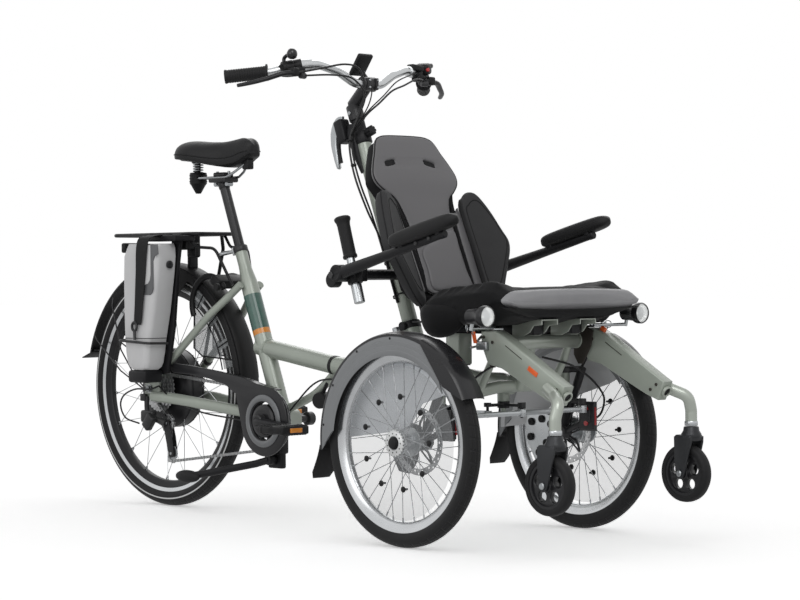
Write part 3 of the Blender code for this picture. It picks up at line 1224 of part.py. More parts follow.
def headlight(label, side):
    """One headlight: lens, reflector housing and the bar that stands on the castor arm."""
    y = side * LAMP_Y
    profile = [
        (0.0, 0.0720), (0.0150, 0.0690), (LAMP_RADIUS, 0.0590), (LAMP_RADIUS, 0.0500), (0.0190, 0.0420),
        (0.0160, 0.0), (0.0, 0.0)
    ]
    place = Matrix.Translation((LAMP_X - 0.072, y, LAMP_Z)) @ Matrix.Rotation(pi / 2, 4, "Y")
    body = turned(profile, 12, place, ring=False)
    foot = block((0.034, 0.030, 0.005), (0.166, side * ARM_Y, ARM_TOP_Z + GAP + 0.0025))
    bar = rod((0.172, side * (ARM_Y + 0.004), ARM_TOP_Z + 0.0050), (0.186, y, ARM_TOP_Z + 0.0060), 0.0040,
              sides=6)
    post = rod((0.186, y, ARM_TOP_Z + 0.0020), (0.190, y, LAMP_Z - 0.010), 0.0045, sides=6)
    finish(fused(body, foot, bar, post), f"headlight_{label}", "lamp", (0.166, side * ARM_Y, ARM_TOP_Z))


# Wheelchair seat
def on_back(y, up, out=0.0):
    """A point of the backrest's plane, up its slope and out of its face."""
    return BACK_FOOT + BACK_UP * up + BACK_OUT * out + Vector((0, y, 0))


def back_place(out):
    """The placing matrix of a flat piece parallel to the backrest, its outline in (y, up)."""
    columns = (Vector((0, 1, 0)), BACK_UP, BACK_OUT)
    turn = Matrix([[c[i] for c in columns] for i in range(3)]).to_4x4()
    return Matrix.Translation(BACK_FOOT + BACK_OUT * out) @ turn


def pad(outline, thickness, out, edge=0.006, segments=1):
    """An upholstered panel on the backrest's plane with rounded edges, its face at the given height."""
    bm = bmesh.new()
    low, high = ([bm.verts.new((y, up, level)) for y, up in outline] for level in (-thickness / 2,
                                                                                   thickness / 2))
    rims = []
    for ring in (low, high):
        rims += bm.faces.new(ring).edges[:]
    for i in range(len(low)):
        bm.faces.new((low[i - 1], low[i], high[i], high[i - 1]))
    bmesh.ops.recalc_face_normals(bm, faces=bm.faces)
    bmesh.ops.bevel(bm, geom=rims, offset=edge, segments=segments, profile=0.5, affect="EDGES",
                    clamp_overlap=True)
    return from_bmesh(bm, back_place(out - thickness / 2))


def mirrored_outline(half):
    """A closed outline from its right half, read upward from the foot."""
    return half + [(-y, up) for y, up in reversed(half)]


def seat_frame():
    """The seat's tube frame: slotted rails, uprights, cross bars and the bar of the armrests and handles."""
    z = RAIL_TOP_Z
    low = CROSS_TUBE_Z + CROSS_TUBE_RADIUS + GAP
    solid = []
    for s in (-1, 1):
        rail = [(-0.022, z), (-0.022, z - 0.008), (-0.013, z - 0.012), (-0.013, low), (0.013, low),
                (0.013, z - 0.012), (0.022, z - 0.008), (0.022, z), (0.007, z), (0.007, z - 0.006),
                (-0.007, z - 0.006), (-0.007, z)]
        facing = Matrix.Translation((0, s * RAIL_Y, 0)) @ Matrix.Rotation(pi / 2, 4, "Z") @ UPRIGHT
        length = RAIL_FRONT_X + 0.170
        solid.append(plate(rail, length, Matrix.Translation((RAIL_FRONT_X - length / 2, 0, 0)) @ facing))
        solid.append(rod(on_back(s * UPRIGHT_Y, -0.100, UPRIGHT_OUT),
                         on_back(s * UPRIGHT_Y, 0.350, UPRIGHT_OUT), 0.0110, sides=6))
        solid.append(rod(on_back(s * UPRIGHT_Y, 0.052, UPRIGHT_OUT), (ARMREST_X, s * UPRIGHT_Y, ARMREST_Z),
                         0.0100, sides=6))
        clamp = Vector((HANDLE_X, s * HANDLE_Y, ARMREST_Z))
        solid.append(block((0.036, 0.034, 0.034), clamp + Vector((-0.004, 0, 0))))
        solid.append(rod(on_back(s * UPRIGHT_Y, -0.100, UPRIGHT_OUT), (-0.160, s * RAIL_Y, z - 0.010),
                         0.0110, sides=6))
    bar_out = -(BACK_THICKNESS + GAP + BACK_BAR_RADIUS)
    solid.append(rod(on_back(-0.200, 0.110, bar_out), on_back(0.200, 0.110, bar_out), BACK_BAR_RADIUS,
                     sides=6))
    solid.append(rod(on_back(-0.100, 0.330, bar_out), on_back(0.100, 0.330, bar_out), BACK_BAR_RADIUS,
                     sides=6))
    end = ARMREST_Y - 0.0155
    solid.append(across(ARMREST_X, ARMREST_Z, 0.0130, -end, end, 8))
    solid.append(across(ARMREST_X, ARMREST_Z, 0.0060, -ARMREST_Y - 0.010, ARMREST_Y + 0.010, 12))
    solid.append(across(-0.150, z - 0.014, 0.0110, -0.085, 0.085, 12))
    solid.append(block((0.040, 0.040, 0.095), (-0.120, 0, z - 0.014 - 0.0475)))
    solid.append(block((0.060, 0.110, 0.010), (-0.130, 0, z - 0.016)))
    handles = [rod(Vector((HANDLE_X, s * HANDLE_Y, ARMREST_Z)) - HANDLE_AXIS * 0.05,
                   Vector((HANDLE_X, s * HANDLE_Y, ARMREST_Z)) + HANDLE_AXIS * 0.05,
                   HANDLE_RADIUS + RUNNING_GAP)
               for s in (-1, 1)]
    tube_cut = tube(bent(MAIN_ROUTE, 0.12, 1), MAIN_TUBE_RADIUS + GAP, 12)
    finish(cut(fused(*solid), *handles, tube_cut), "seat_frame", "black_metal", (ARMREST_X, 0, ARMREST_Z))


def seat_cushion():
    """The seat cushion: crowned top, drawn-in sides and a raised bolster along each flank."""
    stations = [
        (CUSHION_REAR_X, 0.205, 0.556, 0.545), (CUSHION_REAR_X + 0.015, 0.222, 0.566, 0.554),
        (-0.040, 0.234, 0.574, 0.566), (0.020, 0.238, 0.582, 0.584), (0.080, 0.238, 0.588, 0.603),
        (0.150, 0.238, 0.592, 0.615), (0.205, 0.238, 0.595, 0.612), (0.240, 0.236, 0.595, 0.600),
        (0.262, 0.230, 0.590, 0.586), (CUSHION_FRONT_X, 0.218, 0.576, 0.570)
    ]
    sections = []
    for i, (x, half, crown, flank) in enumerate(stations):
        base = CUSHION_BOTTOM_Z + (0.012 if i in (0, len(stations) - 1) else 0.0)
        tuck = base + 0.35 * (flank - base)
        side = [(0.86, base), (0.97, base + 0.008), (1.0, tuck), (0.985, flank - 0.010), (0.93, flank),
                (0.85, flank - 0.003), (0.74, (flank + crown) / 2 - 0.004), (0.45, crown - 0.003)]
        ring = [(0.0, base)] + side + [(0.0, crown)] + [(-u, z) for u, z in reversed(side)]
        scale = half / CUSHION_HALF_WIDTH
        sections.append([(x, u * CUSHION_HALF_WIDTH * scale, z) for u, z in ring])
    finish(loft(sections), "seat_cushion", "soft_grey", (0.080, 0, CUSHION_BOTTOM_Z))


def backrest():
    """The backrest: a shouldered front panel with a narrow waist and two side strips on one shell."""
    front = mirrored_outline([
        (0.075, -0.018), (0.075, 0.150), (0.081, 0.200), (0.093, 0.236), (0.116, 0.255), (0.137, 0.277),
        (0.142, 0.300), (0.131, 0.330), (0.114, 0.362), (0.101, 0.390), (0.086, 0.403), (0.050, 0.409)
    ])
    shell = mirrored_outline([
        (0.116, -0.018), (0.116, 0.215), (0.128, 0.262), (0.140, 0.285), (0.136, 0.305), (0.124, 0.335),
        (0.108, 0.365), (0.094, 0.390), (0.080, 0.400), (0.050, 0.405)
    ])
    strips = [pad([(s * 0.084, -0.014), (s * 0.114, -0.014), (s * 0.114, 0.190), (s * 0.100, 0.218),
                   (s * 0.089, 0.196)],
                  0.030, -0.003, 0.004) for s in (-1, 1)]
    panel = pad(front, 0.034, 0.0, 0.007, 2)
    back = pad(shell, 0.016, -BACK_THICKNESS + 0.016, 0.004)
    finish(fused(back, panel, *strips), "backrest", "soft_grey", BACK_FOOT)


def wing(label, side):
    """One side bolster of the backrest."""
    outline = [(0.122, -0.045), (0.122, 0.212), (0.133, 0.235), (0.154, 0.2465), (0.176, 0.242),
               (0.194, 0.219),
               (0.214, 0.180), (0.231, 0.135), (0.243, 0.102), (0.238, 0.078), (0.216, 0.052),
               (0.165, -0.020)]
    piece = pad([(side * y, up) for y, up in outline], BACK_THICKNESS, 0.0, 0.010)
    finish(piece, f"back_wing_{label}", "soft_black", on_back(side * 0.180, 0.100))


def armrest(label, side):
    """One armrest: a tapering tube with a padded rest, hinged at its rear end so that it folds up."""
    y = side * ARMREST_Y
    pivot = Vector((ARMREST_X, y, ARMREST_Z))
    line = empty(f"armrest_line_{label}", pivot, ROOT)
    ahead = Vector((cos(ARMREST_SLOPE), 0, sin(ARMREST_SLOPE)))
    above = Vector((-sin(ARMREST_SLOPE), 0, cos(ARMREST_SLOPE)))
    hub = across(ARMREST_X, ARMREST_Z, 0.0210, y - 0.0145, y + 0.0145, 12)
    arm = rod(pivot, pivot + ahead * ARMREST_LENGTH, 0.0140, 0.0085, 10)
    turn = Matrix.Rotation(-ARMREST_SLOPE, 4, "Y")
    rest = block((0.232, 0.048, 0.024),
                 pivot + ahead * 0.318 + above * 0.0215 + Vector((0, side * 0.006, 0)), turn,
                 bevel=0.009, segments=2)
    bore = across(ARMREST_X, ARMREST_Z, 0.0060 + RUNNING_GAP, y - 0.05, y + 0.05, 8)
    finish(cut(fused(hub, arm, rest), bore), f"armrest_{label}", "black_plastic", pivot, line)


def push_handle(label, side):
    """One push handle: a tube with a rubber grip that slides in its clamp."""
    middle = Vector((HANDLE_X, side * HANDLE_Y, ARMREST_Z))
    line = empty(f"push_handle_line_{label}", middle, ROOT)
    bar = rod(middle - HANDLE_AXIS * 0.069, middle + HANDLE_AXIS * 0.120, HANDLE_RADIUS)
    grip = rod(middle + HANDLE_AXIS * 0.043, middle + HANDLE_AXIS * 0.136, HANDLE_GRIP_RADIUS, sides=12)
    end = rod(middle + HANDLE_AXIS * 0.1335, middle + HANDLE_AXIS * 0.147, 0.0200, 0.0165, 12)
    finish(fused(bar, grip, end), f"push_handle_{label}", "rubber", middle, line)


# Steering column and handlebar
STEER_LINE = empty("steering_line", COLUMN_BASE, ROOT)


def on_column(along, back=0.0, y=0.0):
    """A point given along the column's axis, behind it and sideways."""
    return COLUMN_BASE + COLUMN * along + COLUMN_BACK * back + Vector((0, y, 0))


def steering_column():
    """The steering column: lower and upper tubes, clamps, brake lever bracket and the drag link's arm."""
    lower = rod(on_column(GAP), on_column(COLUMN_LOWER_LENGTH), COLUMN_RADIUS, sides=12)
    upper = rod(on_column(-HEAD_TUBE_LENGTH), on_column(COLUMN_LENGTH), COLUMN_INNER_RADIUS, sides=16)
    foot = rod(on_column(2 * GAP), on_column(0.018), COLUMN_RADIUS + 0.0045, sides=12)
    clamp = rod(on_column(COLUMN_LOWER_LENGTH - 0.020), on_column(COLUMN_LOWER_LENGTH + 0.010),
                COLUMN_RADIUS + 0.0035, sides=12)
    knob = rod(on_column(COLUMN_LENGTH - 0.080, -0.010), on_column(COLUMN_LENGTH - 0.080, -0.044), 0.0120,
               sides=8)
    bracket = block((0.030, 0.030, 0.050), on_column(COLUMN_LENGTH - 0.070, 0.018), COLUMN_TURN)
    cheeks = block((0.034, 0.030, 0.062), on_column(COLUMN_LENGTH - 0.051, 0.0395, LEVER_PIVOT.y),
                   COLUMN_TURN)
    arm_out = on_column(DRAG_ARM_T, 0, DRAG_Y)
    arm = block((0.0165, abs(DRAG_Y), 0.0065), on_column(DRAG_ARM_T, 0, DRAG_Y / 2), COLUMN_TURN)
    eye = rod(arm_out - COLUMN * 0.0035, arm_out + COLUMN * 0.0055, 0.0090)
    pin = rod(arm_out - COLUMN * 0.020, arm_out + COLUMN * 0.0012, 0.0035, sides=8)
    solid = fused(upper, lower, foot, clamp, knob, bracket, cheeks, arm, eye, pin)
    slot = block((0.068, LEVER_WIDTH + 2 * RUNNING_GAP, 0.080), LEVER_PIVOT + Vector((-0.0145, 0, -0.010)))
    reach = 0.012
    lever_pin = across(LEVER_PIVOT.x, LEVER_PIVOT.z, LEVER_PIN_RADIUS, LEVER_PIVOT.y - reach,
                       LEVER_PIVOT.y + reach, 8)
    finish(fused(cut(solid, slot), lever_pin), "steering_column", "sage_paint", COLUMN_BASE, STEER_LINE)


def parking_lever():
    """The curved parking brake lever behind the column."""
    line = empty("parking_lever_line", LEVER_PIVOT, STEER_LINE)
    px, y, pz = LEVER_PIVOT
    outline = [(px + 0.006, pz + 0.024), (px - 0.018, pz + 0.020), (px - 0.036, pz - 0.006),
               (px - 0.039, pz - 0.034),
               (px - 0.033, pz - 0.066), (px - 0.016, pz - 0.109), (px - 0.006, pz - 0.106),
               (px - 0.015, pz - 0.066),
               (px - 0.016, pz - 0.030), (px - 0.006, pz - 0.008), (px + 0.006, pz + 0.004)]
    blade = side_plate(outline, LEVER_WIDTH, y)
    blade = cut(blade, across(px, pz, LEVER_PIN_RADIUS + RUNNING_GAP, y - 0.02, y + 0.02, 8))
    finish(blade, "parking_lever", "alloy", LEVER_PIVOT, line)


def drag_link():
    """The rod from the column's arm to the centre arm under the main tube."""
    start = on_column(DRAG_ARM_T, 0, DRAG_Y) - COLUMN * 0.012
    end = Vector((KINGPIN_X, DRAG_Y, TIE_ROD_Z + 0.0005))
    line = empty("drag_link_line", start, STEER_LINE)
    bar = tube(bent([start, start + Vector((0.030, 0, -0.050)), end + Vector((-0.060, 0, -0.001)), end],
                    0.05, 1), 0.0060, 6)
    front_eye = rod(end - Vector((0, 0, 0.0045)), end + Vector((0, 0, 0.0045)), 0.0105, sides=10)
    rear_eye = rod(start - COLUMN * 0.0075, start + COLUMN * 0.0080, 0.0095, sides=10)
    bores = [rod(end - Vector((0, 0, 0.02)), end + Vector((0, 0, 0.02)), 0.0035 + 0.0018, sides=8),
             rod(start - COLUMN * 0.03, start + COLUMN * 0.03, 0.0035 + RUNNING_GAP, sides=8)]
    finish(cut(fused(bar, front_eye, rear_eye), *bores), "drag_link", "steel", start, line)


def mirrored(point, side):
    """A point of the left side, or its mirror image on the right."""
    return Vector((point[0], side * point[1], point[2]))


def bar_route(side):
    """The handlebar's axis from near its middle to one end."""
    return [mirrored(p, side) for p in (
        (BAR_X, 0.045, BAR_Z), (BAR_X - 0.006, 0.095, BAR_Z + 0.028),
        (BAR_X - 0.020, 0.151, BAR_Z + 0.044), (BAR_X - 0.044, 0.215, BAR_Z + 0.038), GRIP_CORNER,
        GRIP_CORNER + GRIP_AXIS * (0.014 + GRIP_LENGTH - 0.004)
    )]


def handlebar():
    """The handlebar with its sleeves, brake lever brackets and the left switch housing."""
    halves = bar_route(-1)[::-1] + bar_route(1)
    solid = [tube(bent(halves, 0.05, 1), BAR_RADIUS, 8)]
    for side in (-1, 1):
        near = mirrored((BAR_X - 0.026, 0.168, BAR_Z + 0.0435), side)
        far = mirrored((BAR_X - 0.038, 0.199, BAR_Z + 0.0402), side)
        solid.append(rod(near, far, 0.0140, sides=8))
        solid.append(block((0.046, 0.020, 0.024), mirrored(LEVER_ROOT, side) + Vector((-0.015, 0, 0.002))))
        solid.append(rod(mirrored((BAR_X - 0.037, 0.222, BAR_Z + 0.0355), side),
                         mirrored((BAR_X - 0.047, 0.243, BAR_Z + 0.0305), side), 0.0165, sides=8))
    solid.append(block((0.040, 0.036, 0.034), (BAR_X - 0.037, 0.232, BAR_Z + 0.053)))
    slots = [rod(mirrored(LEVER_ROOT, s) + Vector((0, 0, -0.0058)),
                 mirrored(LEVER_ROOT, s) + Vector((0, 0, 0.0058)), 0.0150)
             for s in (-1, 1)]
    pins = [rod(mirrored(LEVER_ROOT, s) + Vector((0, 0, -0.008)),
                mirrored(LEVER_ROOT, s) + Vector((0, 0, 0.012)), 0.0020, sides=6)
            for s in (-1, 1)]
    finish(fused(cut(fused(*solid), *slots), *pins), "handlebar", "alloy", (BAR_X, 0, BAR_Z), STEER_LINE)


def brake_lever(label, side):
    """One brake lever: a curved blade in front of the grip, pulled toward it."""
    root = mirrored(LEVER_ROOT, side)
    line = empty(f"brake_lever_line_{label}", root, STEER_LINE)
    eye = rod(root - Vector((0, 0, 0.0052)), root + Vector((0, 0, 0.0052)), 0.0085, sides=8)
    end = mirrored((BAR_X - 0.095, 0.351, BAR_Z - 0.014), side)
    blade = tube(bent([root, mirrored((BAR_X - 0.019, 0.266, BAR_Z + 0.0155), side),
                       mirrored((BAR_X - 0.059, 0.322, BAR_Z - 0.005), side), end], 0.03, 1), 0.0050, 4)
    tip = ball(end, (0.0075, 0.0075, 0.0065), 4, 6)
    bore = rod(root - Vector((0, 0, 0.02)), root + Vector((0, 0, 0.02)), 0.0020 + RUNNING_GAP, sides=6)
    finish(cut(fused(blade, eye, tip), bore), f"brake_lever_{label}", "black_metal", root, line)


def grip(label, side):
    """One rubber grip pushed over the end of the bar."""
    start = mirrored(GRIP_CORNER + GRIP_AXIS * 0.014, side)
    axis = mirrored(GRIP_AXIS, side)
    bore = (BAR_RADIUS + GAP) / cos(pi / 10)
    length = GRIP_LENGTH
    profile = [
        (0.0, length), (GRIP_RADIUS - 0.004, length), (GRIP_RADIUS + 0.001, length - 0.008),
        (GRIP_RADIUS - 0.001, 0.5 * length),
        (GRIP_RADIUS, 0.0), (bore, 0.0),
        (bore, length - 0.003), (0.0, length - 0.003)
    ]
    finish(turned(profile, 10, Matrix.Translation(start) @ turn_to(axis), ring=False), f"grip_{label}",
           "rubber", start, STEER_LINE)


def stem():
    """The stem: a ring clamp on the column's top, a short body and the clamp of the handlebar."""
    ring = rod(on_column(COLUMN_LENGTH - 0.036), on_column(COLUMN_LENGTH + 0.004), 0.0205, sides=12)
    body = rod(on_column(COLUMN_LENGTH - 0.006), (BAR_X - 0.006, 0, BAR_Z - 0.006), 0.0165, sides=8)
    clamp = across(BAR_X, BAR_Z, 0.0185, -0.022, 0.022, 12)
    bolt = across(on_column(COLUMN_LENGTH - 0.016).x - 0.024, on_column(COLUMN_LENGTH - 0.016).z, 0.0060,
                  -0.018, 0.018, 8)
    bores = [
        rod(on_column(COLUMN_LENGTH - 0.06), on_column(COLUMN_LENGTH + GAP), COLUMN_INNER_RADIUS + GAP,
            sides=16),
        across(BAR_X, BAR_Z, BAR_RADIUS + GAP, -0.04, 0.04, 8)
    ]
    finish(cut(fused(ring, body, clamp, bolt), *bores), "stem", "black_metal", on_column(COLUMN_LENGTH),
           STEER_LINE)


def display():
    """The bar display on its bracket above the stem."""
    turn = Matrix.Rotation(radians(37), 4, "Y")
    slab = block((0.012, 0.048, 0.064), (BAR_X - 0.024, 0, BAR_Z + 0.051), turn, bevel=0.003)
    bracket = rod((BAR_X - 0.010, 0, BAR_Z + 0.006), (BAR_X - 0.022, 0, BAR_Z + 0.046), 0.0070, sides=8)
    clear = across(BAR_X, BAR_Z, 0.0185 + GAP, -0.05, 0.05, 12)
    finish(cut(fused(slab, bracket), clear), "display", "black_plastic", (BAR_X, 0, BAR_Z), STEER_LINE)


def handlebar_cables():
    """The brake and gear cables from the lever brackets to the column, and their bundle down its side."""
    side = -(COLUMN_RADIUS + CABLE_BUNDLE_RADIUS - 0.0004)
    bundle = tube(smooth([
        on_column(0.535, -0.006, -0.034), on_column(0.490, 0.002, -0.050), on_column(0.410, 0.004, -0.056),
        on_column(0.320, 0.004, -0.044), on_column(0.230, 0.002, side - 0.002), on_column(0.070, 0, side)
    ], 2), CABLE_BUNDLE_RADIUS, 4)
    joint = on_column(0.520, -0.004, -0.040)
    right = tube(smooth([
        (-0.452, -0.214, 1.140), (-0.432, -0.168, 1.150), (-0.416, -0.100, 1.163), (-0.416, -0.050, 1.152),
        (-0.414, -0.034, 1.100), (-0.432, -0.036, 1.050), joint
    ], 2), CABLE_RADIUS, 4)
    gear = tube(smooth([
        (-0.446, -0.212, 1.131), (-0.424, -0.138, 1.135), (-0.406, -0.085, 1.128), (-0.404, -0.044, 1.090),
        (-0.424, -0.044, 1.040), joint
    ], 2), CABLE_RADIUS, 4)
    left = tube(smooth([
        (-0.452, 0.214, 1.138), (-0.426, 0.160, 1.139), (-0.412, 0.100, 1.119), (-0.404, 0.050, 1.102),
        (-0.406, 0.008, 1.070), (-0.424, -0.020, 1.040), joint
    ], 2), CABLE_RADIUS, 4)
    finish(fused(bundle, right, gear, left), "handlebar_cables", "rubber", on_column(0.450), STEER_LINE)


# Assembly
rear_wheel()
for part_label, part_side in SIDES:
    steer = knuckle(part_label, part_side)
    front_wheel(part_label, part_side, steer)
    fender(part_label, part_side, steer)
    rear_stay(part_label, part_side)
    castor_arm(part_label, part_side)
    castor(part_label, part_side)
    headlight(part_label, part_side)
    wing(part_label, part_side)
    armrest(part_label, part_side)
    push_handle(part_label, part_side)
    brake_lever(part_label, part_side)
    grip(part_label, part_side)
tie_rod()
centre_arm()
main_frame()
rear_axle()
chain()
derailleur()
chain_guard()
crankset()
kickstand()
rear_mudguard()
carrier()
battery()
seat_post()
seat_clamp_lever()
front_frame()
seat_frame()
seat_cushion()
backrest()
steering_column()
parking_lever()
drag_link()
handlebar()
stem()
display()
handlebar_cables()
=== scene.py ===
"""The dressed wheelchair bike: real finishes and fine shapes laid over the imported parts.

Metres, +Z up, +X forward, +Y to the rider's left. Shapes are drawn from the front axle's place,
and `piece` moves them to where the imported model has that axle.
"""
import json
import math

import bmesh
import bpy
from mathutils import Matrix, Vector


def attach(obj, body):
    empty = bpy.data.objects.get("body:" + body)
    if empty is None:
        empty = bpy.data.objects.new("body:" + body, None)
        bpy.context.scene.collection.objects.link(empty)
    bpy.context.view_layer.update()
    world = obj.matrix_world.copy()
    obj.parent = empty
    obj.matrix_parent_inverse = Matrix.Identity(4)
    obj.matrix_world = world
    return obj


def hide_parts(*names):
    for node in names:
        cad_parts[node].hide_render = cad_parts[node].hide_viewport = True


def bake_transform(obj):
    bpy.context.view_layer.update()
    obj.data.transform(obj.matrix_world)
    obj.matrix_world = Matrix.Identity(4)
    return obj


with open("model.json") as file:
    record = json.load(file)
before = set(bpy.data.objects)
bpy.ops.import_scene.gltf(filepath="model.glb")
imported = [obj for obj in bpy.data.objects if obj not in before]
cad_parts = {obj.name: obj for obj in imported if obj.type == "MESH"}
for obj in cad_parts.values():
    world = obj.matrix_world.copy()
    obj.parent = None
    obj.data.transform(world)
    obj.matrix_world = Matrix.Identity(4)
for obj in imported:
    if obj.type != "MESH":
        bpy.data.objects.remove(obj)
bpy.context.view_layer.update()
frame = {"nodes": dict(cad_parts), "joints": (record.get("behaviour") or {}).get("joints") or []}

# Camera
# The photograph is taken low beside the right front wheel with a long lens, so that the near
# and far wheels are almost the same size.
front_axle_x = next(j["pos_m"][0] for j in frame["joints"] if j["name"] == "front_wheel_spin_right")
lens_place = Vector((front_axle_x + 4.17515, -4.30167, 0.63738))
lens_azimuth = math.radians(46.308)
lens_dip = math.radians(0.6)
lens_roll = math.radians(-0.404)
looking = Vector((-math.sin(lens_azimuth) * math.cos(lens_dip), math.cos(lens_azimuth) * math.cos(lens_dip),
                  -math.sin(lens_dip)))
camera_data = bpy.data.cameras.new("camera")
camera_data.sensor_width = 36.0
camera_data.lens = 111.82
camera_data.clip_end = 200.0
camera = bpy.data.objects.new("camera", camera_data)
bpy.context.scene.collection.objects.link(camera)
facing = looking.to_track_quat("-Z", "Y").to_matrix().to_4x4() @ Matrix.Rotation(lens_roll, 4, "Z")
camera.matrix_world = Matrix.Translation(lens_place) @ facing
bpy.context.scene.camera = camera

# Studio
# A white sweep under large soft lamps. The lamps skip the floor, which the sky lights, so it shows
# white to the camera and keeps the soft shadow that the wheels stand in.


def put(tree, kind, inputs=None, **settings):
    """One shader node: an input given as a socket is linked, and any other is set."""
    node = tree.nodes.new(kind)
    for key, value in settings.items():
        setattr(node, key, value)
    for key, value in (inputs or {}).items():
        if isinstance(value, bpy.types.NodeSocket):
            tree.links.new(value, node.inputs[key])
        else:
            node.inputs[key].default_value = value
    return node


sweep_material = bpy.data.materials.new("studio_floor")
sweep_material.use_nodes = True
sweep_tree = sweep_material.node_tree
sweep_tree.nodes.clear()
paper = put(sweep_tree, "ShaderNodeBsdfDiffuse", {"Color": (0.9, 0.9, 0.9, 1.0)})
bounce = put(sweep_tree, "ShaderNodeEmission", {"Color": (1.0, 1.0, 1.0, 1.0), "Strength": 0.36})
lit_paper = put(sweep_tree, "ShaderNodeAddShader", {0: paper.outputs[0], 1: bounce.outputs[0]})
shaded_paper = put(sweep_tree, "ShaderNodeBsdfDiffuse", {"Color": (2.15, 2.15, 2.15, 1.0)})
glow = put(sweep_tree, "ShaderNodeEmission", {"Color": (1.0, 1.0, 1.0, 1.0), "Strength": 0.31})
seen_paper = put(sweep_tree, "ShaderNodeAddShader", {0: shaded_paper.outputs[0], 1: glow.outputs[0]})
seen = put(sweep_tree, "ShaderNodeLightPath").outputs["Is Camera Ray"]
sweep_mix = put(sweep_tree, "ShaderNodeMixShader",
                {0: seen, 1: lit_paper.outputs[0], 2: seen_paper.outputs[0]})
put(sweep_tree, "ShaderNodeOutputMaterial", {"Surface": sweep_mix.outputs[0]})
floor_mesh = bpy.data.meshes.new("studio_floor")
floor_half = 40.0
floor_mesh.from_pydata([(-floor_half, -floor_half, 0), (floor_half, -floor_half, 0),
                        (floor_half, floor_half, 0), (-floor_half, floor_half, 0)], [], [(0, 1, 2, 3)])
floor_mesh.materials.append(sweep_material)
floor = bpy.data.objects.new("studio_floor", floor_mesh)
bpy.context.scene.collection.objects.link(floor)

world = bpy.data.worlds.new("studio")
world.use_nodes = True
bpy.context.scene.world = world
sky = world.node_tree
sky.nodes.clear()
path = put(sky, "ShaderNodeLightPath")
mirrored_too = put(sky, "ShaderNodeMath", {0: path.outputs["Is Camera Ray"],
                       1: path.outputs["Is Glossy Ray"]}, operation="MAXIMUM")
through_too = put(sky, "ShaderNodeMath", {0: mirrored_too.outputs[0], 1: path.outputs["Is Transmission Ray"]},
                  operation="MAXIMUM")
sky_level = put(sky, "ShaderNodeMapRange", {"Value": through_too.outputs[0], "To Min": 0.34, "To Max": 1.0})
sky_light = put(sky, "ShaderNodeBackground", {"Color": (1.0, 1.0, 1.0, 1.0),
                    "Strength": sky_level.outputs[0]})
put(sky, "ShaderNodeOutputWorld", {"Surface": sky_light.outputs[0]})

lamps_skip = bpy.data.collections.new("lamps_skip")
lamps_skip.objects.link(floor)
lamps_skip.collection_objects[0].light_linking.link_state = "EXCLUDE"
for lamp_name, lamp_at, lamp_watts, lamp_size in (
        ("key", (3.2, -2.2, 3.8), 80.0, 2.6), ("fill", (0.5, -4.6, 2.2), 40.0, 3.2),
        ("back", (-2.2, 3.0, 3.6), 50.0, 3.0)):
    lamp_data = bpy.data.lights.new("lamp_" + lamp_name, "AREA")
    lamp_data.energy = lamp_watts
    lamp_data.size = lamp_size
    lamp = bpy.data.objects.new("lamp_" + lamp_name, lamp_data)
    bpy.context.scene.collection.objects.link(lamp)
    lamp.light_linking.receiver_collection = lamps_skip
    lamp.location = lamp_at
    lamp.rotation_euler = (Vector((0.0, 0.0, 0.5)) - Vector(lamp_at)).to_track_quat("-Z", "Y").to_euler()
bpy.context.scene.view_settings.view_transform = "Standard"

# Main frame
# Butted aluminium tubes welded into one low frame and painted a satin sage: seat tube, dropped
# main tube, a brace between them, crank shell, head tube and the lug of the stand.


def ink(code):
    """A colour written as on a paint card, in the shader's linear values."""
    parts = [int(code[i:i + 2], 16) / 255 for i in (0, 2, 4)]
    return [p / 12.92 if p <= 0.04045 else ((p + 0.055) / 1.055) ** 2.4 for p in parts]


